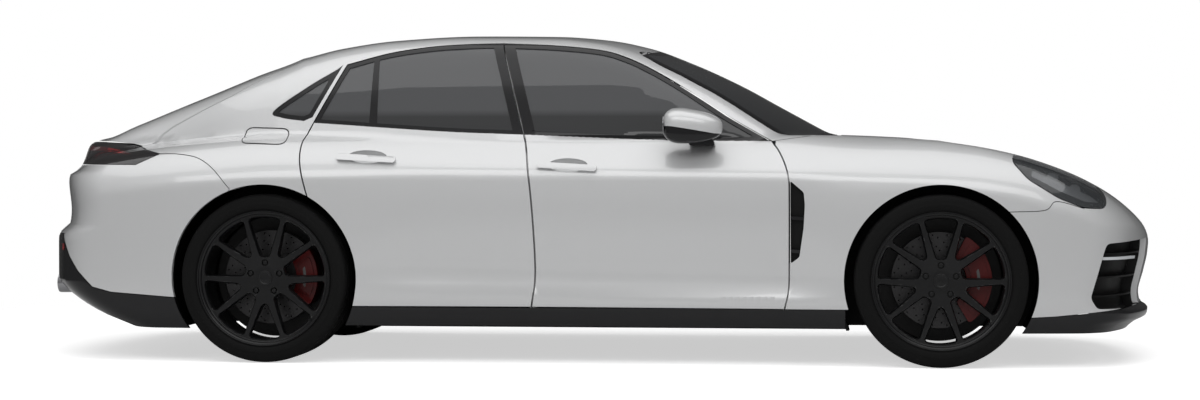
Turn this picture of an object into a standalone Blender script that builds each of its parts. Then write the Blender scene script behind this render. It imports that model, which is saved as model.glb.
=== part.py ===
"""Sports sedan: a four-door car body on wheels, made of its separate panels, glass, cabin and running gear.

Metres, +X forward, +Z up, origin on the floor under the middle of the car. The right side is -Y.
"""

import math

import bmesh
import bpy
import numpy as np
from mathutils import Matrix, Vector

# Driving dimensions of the whole car
overall_length = 5.05
body_width = 1.937
overall_height = 1.48
wheelbase = 2.95
front_overhang = 0.974
ground_clearance = 0.15

# Wheels, tyres and brakes
tyre_radius = 0.372
rim_radius = 0.298
front_tyre_width = 0.262
rear_tyre_width = 0.3
wheel_outset = 0.012
arch_clearance = 0.041
disc_radius = 0.19
disc_thickness = 0.034
spoke_depth = 0.045
spoke_width = 0.042
spoke_dish = 0.012
rim_inset = 0.012
face_inset = 0.02
front_disc_y = 0.045
rear_disc_y = 0.045
brake_gap = 0.005
wheel_sides = 22

# Sheet and glass
skin = 0.02
door_depth = 0.12
frame_depth = 0.09
glass_thickness = 0.006
shut_gap = 0.008
seat_gap = 0.0003
running_gap = 0.008
overrun = 0.05

# Floor and structure
floor_thickness = 0.04
bulkhead = 0.03
liner_thickness = 0.012
well_inner_y = 0.46
liner_outer_y = 0.82
liner_clearance = 0.035
rail_width = 0.03
pillar_width = 0.032
rocker_depth = 0.16
door_flange = 0.036
stop_radius = 0.012
hinge_radius = 0.0028
hinge_length = 0.09
hood_side_gap = 0.009
hood_front_gap = 0.014

# Cabin
seat_width = 0.5
seat_length = 0.52
seat_height = 0.2
backrest_height = 0.62
cushion_round = 0.03
console_width = 0.2
dash_depth = 0.34
dash_height = 0.4
dash_half_width = 0.6
steering_wheel_radius = 0.185
steering_wheel_grip = 0.016
column_length_in_cabin = 0.22
column_outside_dash = 0.13
column_rake = math.radians(24)

# Running gear
engine_length = 0.66
engine_width = 0.54
engine_height = 0.44
kingpin_inset = 0.095
knuckle_radius = 0.055
spindle_radius = 0.03
hub_radius = 0.085
caliper_length = 0.2
caliper_inner = 0.13
caliper_outer = 0.222
caliper_width = 0.135
arm_thickness = 0.03
arm_width = 0.07
exhaust_radius = 0.045
exhaust_length = 0.03
grille_depth = 0.05
louvre_thickness = 0.014
mirror_length = 0.26
mirror_height = 0.15
mirror_width = 0.15
mirror_reach = 0.125
mirror_front_x = 0.62
mirror_base_z = 0.965
fuel_flap_pocket = 0.035

half_length = overall_length / 2
half_width = body_width / 2
rear_overhang = overall_length - wheelbase - front_overhang
front_axle_x = half_length - front_overhang
rear_axle_x = front_axle_x - wheelbase
arch_radius = tyre_radius + arch_clearance
front_wheel_y = half_width - wheel_outset - front_tyre_width / 2
rear_wheel_y = half_width - wheel_outset - rear_tyre_width / 2

# Stations: 0 is the rear axle, 1 the front axle, -1 the tail and 2 the nose. Heights are shares of the overall height,
# widths are shares of the half width and setbacks are shares of the overhang behind them.
roof_line_shares = (
    (-1.00, 0.672), (-0.853, 0.679), (-0.702, 0.723), (-0.525, 0.777), (-0.356, 0.828), (-0.179, 0.882),
    (-0.010, 0.929), (0.067, 0.964), (0.159, 0.988), (0.288, 1.0), (0.417, 0.997), (0.495, 0.985),
    (0.559, 0.959), (0.627, 0.909), (0.701, 0.841), (0.766, 0.770), (0.834, 0.696), (0.915, 0.608), (1.0, 0.507),
    (1.5, 0.0), (2.0, -0.5),
)
roof_width_shares = (
    (-1.0, 0.52), (-0.853, 0.56), (-0.525, 0.62), (-0.179, 0.73), (0.0, 0.775), (0.2, 0.82), (0.45, 0.83),
    (0.70, 0.80), (0.834, 0.775), (1.0, 0.70), (2.0, 0.5),
)
deck_line_shares = (
    (-1.0, 0.62), (-0.853, 0.665), (-0.6, 0.69), (-0.35, 0.715), (-0.1, 0.725), (0.1, 0.725), (0.4, 0.70),
    (0.7, 0.69), (0.84, 0.686), (0.952, 0.677), (1.0, 0.668), (1.328, 0.629), (1.564, 0.584), (1.779, 0.520),
    (1.902, 0.466), (1.974, 0.425), (2.08, 0.34),
)
shoulder_line_shares = (
    (-1.0, 0.56), (-0.85, 0.60), (-0.6, 0.632), (-0.4, 0.652), (-0.2, 0.668), (0.0, 0.682), (0.1, 0.685),
    (0.4, 0.68), (0.7, 0.678), (0.84, 0.676), (0.942, 0.668), (1.0, 0.66), (1.184, 0.641), (1.358, 0.616),
    (1.533, 0.578), (1.711, 0.524), (1.841, 0.466), (1.944, 0.405), (2.08, 0.33),
)
plan_width_shares = (
    (-1.05, 0.86), (-0.80, 0.925), (-0.53, 0.972), (-0.27, 0.995), (0.0, 1.0), (0.10, 0.995), (0.27, 0.976),
    (0.48, 0.965), (0.68, 0.967), (0.85, 0.980), (1.0, 0.988), (1.2, 0.986), (1.4, 0.972), (1.6, 0.945),
    (1.8, 0.90), (2.05, 0.80),
)
nose_profile_shares = (
    (0.07, 0.12), (0.10, 0.095), (0.12, 0.06), (0.140, 0.008), (0.158, 0.004), (0.175, 0.035), (0.209, 0.042),
    (0.269, 0.024), (0.323, 0.006), (0.374, 0.0), (0.405, 0.004), (0.440, 0.03), (0.50, 0.11), (0.6, 0.30),
    (0.8, 0.9),
)
tail_profile_shares = (
    (0.07, 0.36), (0.10, 0.298), (0.129, 0.20), (0.173, 0.095), (0.225, 0.012), (0.239, 0.0), (0.302, 0.0),
    (0.362, 0.0), (0.385, 0.012), (0.41, 0.05), (0.45, 0.056), (0.539, 0.045), (0.56, 0.05), (0.578, 0.09),
    (0.60, 0.105), (0.664, 0.13), (0.70, 0.15), (0.8, 0.3),
)
# Insets of the side from its plan width, as shares of the half width, against height shares along the crease lines
door_inset_shares = (
    (0.08, 0.085), (0.15, 0.036), (0.20, 0.014), (0.235, 0.030), (0.27, 0.036), (0.314, 0.026), (0.40, 0.008),
    (0.486, 0.0), (0.54, 0.003), (0.571, 0.010), (0.608, 0.048), (0.642, 0.090), (0.676, 0.142), (0.75, 0.28),
    (0.90, 0.60),
)
haunch_inset_shares = (
    (0.08, 0.075), (0.15, 0.035), (0.22, 0.016), (0.27, 0.012), (0.40, 0.002), (0.486, 0.0), (0.54, 0.002),
    (0.585, 0.016), (0.62, 0.042), (0.65, 0.082), (0.676, 0.130), (0.71, 0.22), (0.76, 0.37), (0.90, 0.80),
)
fender_inset_shares = (
    (0.08, 0.065), (0.15, 0.026), (0.20, 0.012), (0.27, 0.008), (0.36, 0.003), (0.44, 0.0), (0.50, 0.004),
    (0.54, 0.013), (0.575, 0.036), (0.61, 0.078), (0.645, 0.145), (0.68, 0.26), (0.76, 0.5), (0.90, 0.9),
)
crease_slope_share = 0.027
peak_width_share = 0.74
hood_valley_share = 0.008
shoulder_fall_share = 1.9
nose_sweep_share = 0.308
tail_sweep_share = 0.249
sweep_power = 2.6
belt_share = 0.676
tumblehome = 0.42
tumblehome_bow_share = 0.30
roof_crown_share = 0.085
windshield_bow_share = 0.27
rail_round = 0.10
edge_round = 0.09
cowl_round = 0.02


def curve_table(rows, at):
    """Smooth values read from (place, value) rows at the places in at, with no overshoot between the rows."""
    places = np.array([row[0] for row in rows], float)
    values = np.array([row[1] for row in rows], float)
    slopes = np.diff(values) / np.diff(places)
    product = slopes[:-1] * slopes[1:]
    total = slopes[:-1] + slopes[1:]
    inner = np.where(product > 0, 2 * product / np.where(total == 0, 1, total), 0)
    tangents = np.concatenate([slopes[:1], inner, slopes[-1:]])
    at = np.clip(np.asarray(at, float), places[0], places[-1])
    index = np.clip(np.searchsorted(places, at, side="right") - 1, 0, len(places) - 2)
    span = places[index + 1] - places[index]
    t = (at - places[index]) / span
    rise = values[index + 1] - values[index]
    start = tangents[index] * span
    end = tangents[index + 1] * span
    return values[index] + t * start + t**2 * (3 * rise - 2 * start - end) + t**3 * (start + end - 2 * rise)


def smooth_max(a, b, size):
    """The larger of a and b, with the corner between them rounded over size."""
    blend = np.maximum(size - np.abs(a - b), 0) / size
    return np.maximum(a, b) + blend**2 * size / 4


def smooth_step(low, high, x):
    """0 below low and 1 above high, with an S-curve between."""
    t = np.clip((x - low) / (high - low), 0, 1)
    return t * t * (3 - 2 * t)


def station(x):
    """Station numbers of the places x along the car."""
    behind = (x - rear_axle_x) / rear_overhang
    between = (x - rear_axle_x) / wheelbase
    ahead = 1 + (x - front_axle_x) / front_overhang
    return np.where(x < rear_axle_x, behind, np.where(x > front_axle_x, ahead, between))


def place(number):
    """The place along the car of one station number."""
    if number < 0:
        return rear_axle_x + number * rear_overhang
    if number > 1:
        return front_axle_x + (number - 1) * front_overhang
    return rear_axle_x + number * wheelbase


def side_half_width(x, z):
    """Half width of the lower body's side at place x and height z."""
    s = station(x)
    level = z / overall_height + crease_slope_share * (s - 0.5) * (s > 0) * (s < 1)
    door = curve_table(door_inset_shares, level)
    fender = curve_table(fender_inset_shares, z / overall_height)
    haunch = curve_table(haunch_inset_shares, z / overall_height)
    ahead = smooth_step(0.76, 0.90, s)
    behind = smooth_step(0.27, 0.08, s)
    inset = door * (1 - ahead) * (1 - behind) + fender * ahead + haunch * behind
    return half_width * (curve_table(plan_width_shares, s) - inset)


def lower_top(x, y):
    """Height of the hood, fender tops and rear haunches over the plan."""
    s = station(x)
    middle = overall_height * curve_table(deck_line_shares, s)
    peak = overall_height * curve_table(shoulder_line_shares, s)
    peak_y = peak_width_share * half_width * curve_table(plan_width_shares, s)
    share = np.minimum(np.abs(y) / peak_y, 1)
    outer = np.maximum(np.abs(y) - peak_y, 0)
    valley = hood_valley_share * overall_height * np.sin(math.pi * share) ** 2 * smooth_step(2.0, 1.2, s)
    return middle + (peak - middle) * share**2 - valley - shoulder_fall_share * outer**2 / half_width


def nose_x(y, z):
    """Place of the front face over width and height."""
    sweep = nose_sweep_share * front_overhang * np.abs(y / half_width) ** sweep_power
    return half_length - sweep - front_overhang * curve_table(nose_profile_shares, z / overall_height)


def tail_x(y, z):
    """Place of the rear face over width and height."""
    sweep = tail_sweep_share * rear_overhang * np.abs(y / half_width) ** sweep_power
    return -half_length + sweep + rear_overhang * curve_table(tail_profile_shares, z / overall_height)


def cabin_half_width(x, z):
    """Half width of the glasshouse at place x and height z."""
    belt = half_width * curve_table(roof_width_shares, station(x))
    rise = np.maximum(z - belt_share * overall_height, 0)
    return belt - tumblehome * rise - tumblehome_bow_share * rise**2 / overall_height


def cabin_top(x, y):
    """Height of the windshield, roof and rear window over the plan."""
    reach = windshield_bow_share * y**2 / half_width
    front = smooth_step(0.35, 0.60, station(x))
    rear = smooth_step(0.25, 0.0, station(x))
    bent = x + reach * front - reach * rear
    return overall_height * (
        curve_table(roof_line_shares, station(bent)) - roof_crown_share * (y / half_width) ** 2
    )


def outside(x, y, z):
    """Below zero inside the body's outer surface and above zero outside it."""
    lower = smooth_max(np.abs(y) - side_half_width(x, z), z - lower_top(x, y), edge_round)
    lower = smooth_max(lower, x - nose_x(y, z), edge_round)
    lower = smooth_max(lower, tail_x(y, z) - x, edge_round)
    cabin = smooth_max(np.abs(y) - cabin_half_width(x, z), z - cabin_top(x, y), rail_round)
    cabin = smooth_max(cabin, tail_x(y, z) - x, cowl_round)
    return -smooth_max(-lower, -cabin, cowl_round)


def reach(start, direction, longest):
    """Points where rays from start along direction leave the body, found by halving."""
    near = np.zeros(start.shape[:-1])
    far = np.full(start.shape[:-1], longest)
    for _ in range(26):
        middle = (near + far) / 2
        point = start + direction * middle[..., None]
        beyond = outside(point[..., 0], point[..., 1], point[..., 2]) > 0
        far = np.where(beyond, middle, far)
        near = np.where(beyond, near, middle)
    return start + direction * ((near + far) / 2)[..., None]


# Columns and rows of the body's skin, and how its outlines are sampled
column_length = 0.27
rows_between_lines = (1, 1, 1, 2, 2, 2, 3)
section_row_shares = (0.0, 0.22, 0.44, 0.66, 0.81)
least_row_angle = math.radians(6)
belt_lift = 0.018
outline_steps = 1
belt_steps = 4
mitre_slack_share = 0.03
longest_spike = 2.5
longest_notch = 40.0
round_sides = 24
small_round_sides = 10

# Side outlines as (station, height share) points
centre_cut_shares = (
    (0.343, 0.959), (0.365, 0.814), (0.385, 0.677), (0.395, 0.589), (0.402, 0.473), (0.406, 0.338), (0.406, 0.238),
    (0.401, 0.168),
)
front_cut_shares = (
    (0.754, 0.658), (0.765, 0.630), (0.775, 0.587), (0.780, 0.545), (0.781, 0.502), (0.781, 0.301), (0.780, 0.223),
    (0.774, 0.166),
)
front_window_shares = (
    (0.754, 0.658), (0.684, 0.738), (0.621, 0.820), (0.571, 0.878), (0.532, 0.914), (0.494, 0.936), (0.425, 0.951),
    (0.343, 0.959),
)
rear_window_shares = ((0.343, 0.959), (0.288, 0.957), (0.230, 0.949), (0.169, 0.930), (0.104, 0.895))
rear_cut_shares = (
    (0.104, 0.895), (0.061, 0.718), (0.053, 0.678), (0.051, 0.646), (0.055, 0.588), (0.069, 0.486), (0.080, 0.43),
)
quarter_glass_shares = ((0.090, 0.882), (0.045, 0.826), (-0.012, 0.752), (0.010, 0.732), (0.045, 0.722))
belt_shares = ((0.754, 0.656), (0.588, 0.660), (0.378, 0.677), (0.258, 0.687), (0.061, 0.714))
fender_rear_top_shares = ((0.83, 0.68), (0.86, 0.72))
rear_bumper_cut_shares = ((-0.130, 0.517), (-0.200, 0.575), (-0.273, 0.609), (-0.36, 0.621), (-0.44, 0.622))
front_bumper_cut_shares = ((1.30, 0.452), (1.448, 0.457), (1.499, 0.482), (1.62, 0.462))
rear_valance_shares = (
    (-0.30, 0.190), (-0.62, 0.207), (-0.70, 0.222), (-0.764, 0.270), (-0.806, 0.314), (-0.85, 0.38), (-1.2, 0.38),
)
front_valance_shares = ((1.20, 0.140), (1.50, 0.150), (1.90, 0.176), (2.2, 0.19))
lamp_to_hood_shares = ((1.70, 0.50), (1.70, 0.60), (2.2, 0.60))
headlamp_shares = (
    (1.312, 0.599), (1.36, 0.66), (1.60, 0.66), (1.735, 0.50), (1.729, 0.472), (1.709, 0.461), (1.621, 0.463),
    (1.510, 0.491), (1.377, 0.546),
)
tail_lamp_shares = (
    (-0.44, 0.622), (-0.531, 0.588), (-0.741, 0.590), (-1.1, 0.590), (-1.1, 0.664), (-0.80, 0.664), (-0.62, 0.652),
)
sill_top_share = 0.168
sill_bottom_share = 0.112
bumper_base_share = 0.14
valance_base_share = 0.10
flange = 0.03
division_width = 0.02
hinge_height_share = 0.473
hood_hinge_station = 0.798
hood_hinge_share = 0.672
hatch_hinge_station = 0.046
hatch_hinge_share = 0.963
# Plan outlines: (station, width share)
windshield_edge_shares = ((0.854, 0.0), (0.84, 0.35), (0.815, 0.60), (0.797, 0.715), (0.70, 0.66), (0.555, 0.535), (0.570, 0.30), (0.576, 0.0))
hood_edge_shares = ((0.861, 0.0), (0.849, 0.35), (0.825, 0.60), (0.815, 0.70), (1.10, 0.735), (1.45, 0.72), (1.60, 0.66), (1.72, 0.52), (1.80, 0.3), (1.83, 0.0))
hatch_edge_shares = ((0.045, 0.0), (0.035, 0.30), (0.010, 0.535), (-0.20, 0.60), (-0.45, 0.61), (-0.70, 0.66), (-0.84, 0.70), (-0.95, 0.70), (-0.95, 0.0))
rear_glass_shares = ((0.012, 0.0), (0.0, 0.30), (-0.02, 0.47), (-0.20, 0.53), (-0.40, 0.53), (-0.455, 0.45), (-0.475, 0.25), (-0.48, 0.0))
roof_half_width_share = 0.56
# Front and rear details: shares of the half width and of the overall height
centre_intake_shares = ((-0.42, 0.175), (0.42, 0.175), (0.46, 0.215), (0.40, 0.262), (-0.40, 0.262), (-0.46, 0.215))
side_intake_shares = ((0.52, 0.185), (0.76, 0.185), (0.83, 0.34), (0.80, 0.365), (0.62, 0.345), (0.54, 0.30))
grille_height_shares = (0.165, 0.38)
louvre_shares = (0.176, 0.239, 0.302, 0.366)
louvre_bay_shares = ((-0.82, -0.50), (-0.46, 0.46), (0.50, 0.82))
louvre_depth_share = 0.7
exhaust_y_share = 0.60
exhaust_height_share = 0.225
exhaust_bore_share = 0.86
mirror_shares = (
    (0.0, 0.30), (0.10, 0.02), (0.30, 0.0), (0.72, 0.06), (0.96, 0.30), (1.0, 0.52), (0.90, 0.82), (0.62, 0.99),
    (0.30, 1.0), (0.04, 0.86),
)
mirror_foot_shares = ((0.50, -0.50), (0.88, -0.50), (0.84, 0.4), (0.45, 0.4))
fuel_flap_shares = ((-0.118, 0.655), (0.020, 0.650), (0.026, 0.662), (0.022, 0.698), (-0.105, 0.702), (-0.122, 0.690))
# Structure and cabin: stations along the car, and heights as shares of the overall height
floor_front_station = 1.62
floor_back_station = -0.555
firewall_station = 0.845
seat_wall_station = 0.0
radiator_top_share = 0.46
firewall_top_share = 0.60
rail_top_share = 0.52
seat_wall_top_share = 0.56
tail_wall_top_share = 0.56
front_stop_share = 0.40
rear_stop_share = 0.45
front_seat_station = 0.53
rear_backrest_share = 0.85
dash_low_share = 0.36
hub_height_share = 0.7
# Rim profile: shares of its width from the outer face and of the lip's radius
rim_profile_shares = (
    (0.0, 1.0), (0.05, 1.0), (0.08, 0.965), (0.40, 0.90), (0.95, 0.965), (0.97, 1.0), (1.0, 0.955), (0.40, 0.865),
    (0.12, 0.925), (0.0, 0.955),
)
# Tyre profile: shares of its width from the outer face and of its wall
tyre_profile_shares = (
    (0.04, 0.0), (0.0, 0.30), (0.01, 0.62), (0.06, 0.90), (0.16, 0.985), (0.5, 1.0), (0.84, 0.985), (0.94, 0.90),
    (0.99, 0.62), (1.0, 0.30), (0.96, 0.0),
)
spoke_pairs = 5
spoke_root_share = 0.45
spoke_tip_share = 0.95
spoke_taper_share = 0.62
# Seat outline: shares of the seat's length behind its front, of its height and of its backrest
seat_outline_shares = (
    (0.0, 0.0, 0.0), (-0.04, 0.8, 0.0), (0.08, 1.0, 0.0), (0.80, 0.85, 0.0), (1.02, 0.95, 0.60), (1.10, 1.0, 0.74),
    (1.14, 1.0, 1.0), (1.32, 1.0, 1.0), (1.30, 1.0, 0.60), (1.06, 0.0, 0.0),
)
# Dashboard outline: shares of its depth behind the firewall and of its height
dash_outline_shares = (
    (0.0, 0.0), (0.0, 0.95), (0.35, 1.0), (0.82, 0.93), (1.0, 0.68), (0.65, 0.0),
)

merge_distance = 1e-6
flat_angle = math.radians(0.05)

parts = bpy.data.collections.new("sports sedan")
cutters = bpy.data.collections.new("cutters")


def material(name, colour, roughness, metallic):
    """A Principled BSDF surface."""
    made = bpy.data.materials.new(name)
    made.use_nodes = True
    shader = made.node_tree.nodes["Principled BSDF"]
    shader.inputs["Base Color"].default_value = (*colour, 1)
    shader.inputs["Roughness"].default_value = roughness
    shader.inputs["Metallic"].default_value = metallic
    return made


looks = {
    "paint": ((0.80, 0.81, 0.82), 0.25, 0.1),
    "gloss black": ((0.012, 0.012, 0.013), 0.15, 0.0),
    "glass": ((0.03, 0.035, 0.04), 0.05, 0.0),
    "trim": ((0.03, 0.03, 0.032), 0.6, 0.0),
    "liner": ((0.015, 0.015, 0.015), 0.9, 0.0),
    "lamp": ((0.10, 0.10, 0.11), 0.1, 0.2),
    "tail lamp": ((0.16, 0.01, 0.012), 0.15, 0.0),
    "leather": ((0.035, 0.033, 0.032), 0.6, 0.0),
    "wheel": ((0.02, 0.02, 0.022), 0.4, 0.6),
    "tyre": ((0.02, 0.02, 0.02), 0.85, 0.0),
    "steel": ((0.35, 0.35, 0.36), 0.4, 0.9),
    "caliper": ((0.22, 0.01, 0.01), 0.35, 0.1),
    "engine": ((0.3, 0.3, 0.31), 0.5, 0.7),
}


def face_outward(frame):
    """Turns the faces of a closed bmesh outward."""
    bmesh.ops.recalc_face_normals(frame, faces=frame.faces[:])
    if frame.calc_volume(signed=True) < 0:
        bmesh.ops.reverse_faces(frame, faces=frame.faces[:])


def add(mesh_or_frame, name, collection, look=None):
    """An object in collection from a mesh or a finished bmesh."""
    mesh = mesh_or_frame
    if isinstance(mesh_or_frame, bmesh.types.BMesh):
        mesh = bpy.data.meshes.new(name)
        mesh_or_frame.to_mesh(mesh)
        mesh_or_frame.free()
    made = bpy.data.objects.new(name, mesh)
    collection.objects.link(made)
    if collection is cutters:
        made.hide_render = True
        made.display_type = "WIRE"
    else:
        mesh.materials.clear()
        mesh.materials.append(material(name, *looks[look]))
    return made


def settle(made):
    """Replaces an object's mesh with the one that its modifiers make."""
    bpy.context.view_layer.update()
    graph = bpy.context.evaluated_depsgraph_get()
    mesh = bpy.data.meshes.new_from_object(made.evaluated_get(graph))
    made.modifiers.clear()
    made.data = mesh
    return made


def tidied(made):
    """Settles a piece and keeps its largest shell, without the slivers that its cuts leave beside it."""
    settle(made)
    frame = bmesh.new()
    frame.from_mesh(made.data)
    left = set(frame.verts)
    shells = []
    while left:
        shell = set()
        waiting = [left.pop()]
        while waiting:
            vertex = waiting.pop()
            shell.add(vertex)
            near = {edge.other_vert(vertex) for edge in vertex.link_edges} & left
            left -= near
            waiting.extend(near)
        shells.append(shell)
    shells.sort(key=len)
    for shell in shells[:-1]:
        bmesh.ops.delete(frame, geom=list(shell), context="VERTS")
    plain = frame.copy()
    bmesh.ops.dissolve_limit(plain, angle_limit=flat_angle, verts=plain.verts[:], edges=plain.edges[:])
    bmesh.ops.triangulate(plain, faces=plain.faces[:])
    kept = plain if all(edge.is_manifold for edge in plain.edges) else frame
    face_outward(kept)
    kept.to_mesh(made.data)
    plain.free()
    frame.free()
    return made


def combine(target, others, operation):
    """Target cut by, kept to or joined with each of the others in turn."""
    for other in others:
        modifier = target.modifiers.new(other.name, "BOOLEAN")
        modifier.operation = operation
        modifier.solver = "MANIFOLD"
        modifier.object = other
        settle(target)
    return target


def mirrored(right, name):
    """The left twin of a finished right-hand piece."""
    tidied(right)
    mesh = right.data.copy()
    mesh.transform(right.matrix_world)
    mesh.transform(Matrix.Scale(-1, 4, Vector((0, 1, 0))))
    mesh.flip_normals()
    made = bpy.data.objects.new(name, mesh)
    parts.objects.link(made)
    return made


def grid_solid(name, outer, inner, collection=cutters, look=None):
    """A closed slab between two grids of points that match column for column and row for row."""
    columns, rows = outer.shape[:2]
    frame = bmesh.new()
    bmesh.ops.create_grid(frame, x_segments=columns - 1, y_segments=rows - 1, size=1)
    layers = [list(frame.verts)]
    grown = bmesh.ops.extrude_face_region(frame, geom=frame.faces[:])
    layers.append([item for item in grown["geom"] if isinstance(item, bmesh.types.BMVert)])
    for layer, points in zip(layers, (outer, inner)):
        for vertex in layer:
            column = round((vertex.co.x + 1) / 2 * (columns - 1))
            row = round((vertex.co.y + 1) / 2 * (rows - 1))
            vertex.co = points[column, row]
    for side, method in ((-1, "FIXED"), (1, "ALTERNATE")):
        half = [face for face in frame.faces if side * face.calc_center_median().y > 0 and len(face.verts) > 3]
        bmesh.ops.triangulate(frame, faces=half, quad_method=method)
    face_outward(frame)
    return add(frame, name, collection, look)


def prism(name, outline, plane, low, high, collection=cutters, look=None):
    """A straight-sided solid on a flat outline in the side, plan or front view, between two distances."""
    curve = bpy.data.curves.new(name, "CURVE")
    curve.dimensions = "2D"
    curve.fill_mode = "BOTH"
    curve.extrude = (high - low) / 2
    spline = curve.splines.new("POLY")
    spline.points.add(len(outline) - 1)
    for point, (u, v) in zip(spline.points, outline):
        point.co = (u, v, 0, 1)
    spline.use_cyclic_u = True
    helper = bpy.data.objects.new(name, curve)
    bpy.context.scene.collection.objects.link(helper)
    bpy.context.view_layer.update()
    graph = bpy.context.evaluated_depsgraph_get()
    mesh = bpy.data.meshes.new_from_object(helper.evaluated_get(graph))
    bpy.data.objects.remove(helper)
    middle = (low + high) / 2
    turn = {
        "plan": Matrix.Identity(4),
        "side": Matrix(((1, 0, 0, 0), (0, 0, 1, 0), (0, 1, 0, 0), (0, 0, 0, 1))),
        "front": Matrix(((0, 0, 1, 0), (1, 0, 0, 0), (0, 1, 0, 0), (0, 0, 0, 1))),
    }[plane]
    mesh.transform(turn @ Matrix.Translation((0, 0, middle)))
    frame = bmesh.new()
    frame.from_mesh(mesh)
    bmesh.ops.remove_doubles(frame, verts=frame.verts[:], dist=merge_distance)
    face_outward(frame)
    return add(frame, name, collection, look)


def box(name, low, high, collection=cutters, look=None):
    """A box between two corners."""
    frame = bmesh.new()
    size = Vector(high) - Vector(low)
    middle = (Vector(high) + Vector(low)) / 2
    matrix = Matrix.Translation(middle) @ Matrix.Diagonal((*size, 1))
    bmesh.ops.create_cube(frame, size=1, matrix=matrix)
    return add(frame, name, collection, look)


def cylinder(name, start, end, radius, end_radius=None, sides=round_sides, collection=cutters, look=None):
    """A cylinder or cone between two points."""
    run = Vector(end) - Vector(start)
    matrix = Matrix.Translation((Vector(start) + Vector(end)) / 2) @ run.to_track_quat("Z", "Y").to_matrix().to_4x4()
    frame = bmesh.new()
    bmesh.ops.create_cone(
        frame, cap_ends=True, segments=sides, radius1=radius,
        radius2=radius if end_radius is None else end_radius, depth=run.length, matrix=matrix,
    )
    return add(frame, name, collection, look)


def turned(name, profile, sides, collection=cutters, look=None):
    """A solid turned about Y from (distance from the right, radius) points, listed from the inside out and back."""
    frame = bmesh.new()
    ring = [frame.verts.new((radius, 0, along)) for along, radius in profile]
    for first, second in zip(ring, ring[1:] + ring[:1]):
        frame.edges.new((first, second))
    made = add(frame, name, collection, look)
    screw = made.modifiers.new("turn", "SCREW")
    screw.axis = "Z"
    screw.steps = sides
    screw.render_steps = sides
    screw.use_merge_vertices = True
    screw.merge_threshold = merge_distance
    screw.use_normal_calculate = True
    settle(made)
    made.data.transform(Matrix.Rotation(math.pi / 2, 4, "X"))
    frame = bmesh.new()
    frame.from_mesh(made.data)
    face_outward(frame)
    frame.to_mesh(made.data)
    frame.free()
    return made


def curved(points, steps=outline_steps):
    """A smooth line through hand-placed points, by Catmull-Rom."""
    points = [np.array(point, float) for point in points]
    first = 2 * points[0] - points[1]
    last = 2 * points[-1] - points[-2]
    padded = [first, *points, last]
    line = []
    for a, b, c, d in zip(padded, padded[1:], padded[2:], padded[3:]):
        for step in range(steps):
            t = step / steps
            line.append(0.5 * (2 * b + (c - a) * t + (2 * a - 5 * b + 4 * c - d) * t**2 + (3 * b - a - 3 * c + d) * t**3))
    return [tuple(point) for point in [*line, points[-1]]]


def side_line(shares, steps=outline_steps):
    """A smooth side-view line from (station, height share) points."""
    return curved([(place(s), share * overall_height) for s, share in shares], steps)


def plan_line(shares, steps=outline_steps):
    """A smooth plan-view line on the right side from (station, width share) points."""
    return curved([(place(s), -share * half_width) for s, share in shares], steps)


def shifted(line, x=0.0, z=0.0):
    """A line moved in its own plane."""
    return [(u + x, v + z) for u, v in line]


def widened(outline, distance):
    """An outline grown outward by a distance, or shrunk where it is negative, without the loops that sharp turns give."""
    points = np.array(outline)
    run = np.roll(points, -1, axis=0) - points
    ahead = run / np.linalg.norm(run, axis=1)[:, None]
    back = np.roll(ahead, 1, axis=0)
    area = np.sum(points[:, 0] * np.roll(points[:, 1], -1) - np.roll(points[:, 0], -1) * points[:, 1])
    turn = 1 if area > 0 else -1
    normal = turn * np.stack([ahead[:, 1] + back[:, 1], -ahead[:, 0] - back[:, 0]], 1)
    longest = longest_spike if distance > 0 else longest_notch
    width = np.linalg.norm(normal, axis=1)
    normal *= (np.minimum(2 / width, longest) / width)[:, None]
    moved = []
    for point in points + distance * normal:
        along = np.clip(np.sum((point - points) * run, axis=1) / np.sum(run**2, axis=1), 0, 1)
        gap = np.min(np.linalg.norm(point - points - run * along[:, None], axis=1))
        if gap >= abs(distance) * (1 - mitre_slack_share):
            moved.append(tuple(point))
    return moved


def section_angles(x):
    """Angles, in a section at x, of the rows that follow the body's lines from the sill to the centreline."""
    top = max(float(lower_top(x, 0.0)), float(cabin_top(x, 0.0)))
    centre = top / 2
    s = float(station(x))
    cabin = 1 - float(smooth_step(0.80, 0.92, s))
    shoulder = overall_height * float(curve_table(shoulder_line_shares, s)) + cabin * belt_lift
    sill = sill_bottom_share * overall_height
    angles = []
    for share in section_row_shares:
        height = sill + (shoulder - sill) * share
        y = float(side_half_width(x, height))
        angles.append(math.atan2(height - centre, y))
    peak_y = peak_width_share * half_width * float(curve_table(plan_width_shares, s))
    belt_y = cabin * float(cabin_half_width(x, belt_share * overall_height)) + (1 - cabin) * peak_y
    angles.append(math.atan2(shoulder - centre, belt_y))
    rail_y = roof_half_width_share * half_width
    rail_z = max(float(lower_top(x, rail_y)), float(cabin_top(x, rail_y)))
    angles.append(max(math.atan2(rail_z - centre, rail_y), angles[-1] + least_row_angle))
    angles.append(math.pi / 2)
    return centre, angles


def skin_points(low, high, start=0.0, end=7.0):
    """Points of the right half's skin between two places, with rows from line number start to line number end."""
    columns = max(2, math.ceil((high - low) / column_length)) + 1
    xs = np.linspace(low, high, columns)
    rows = []
    for number, count in enumerate(rows_between_lines):
        rows.extend(number + step / count for step in range(count))
    rows = [row for row in [*rows, 7.0] if start <= row <= end]
    points = np.zeros((columns, len(rows), 3))
    centres = np.zeros((columns, len(rows), 3))
    for column, x in enumerate(xs):
        centre, angles = section_angles(x)
        turn = np.interp(rows, range(8), angles)
        origin = np.tile((x, 0.0, centre), (len(rows), 1))
        direction = np.stack([0 * turn, -np.cos(turn), np.sin(turn)], 1)
        points[column] = reach(origin, direction, body_width)
        centres[column] = origin
    return points, centres


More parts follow.
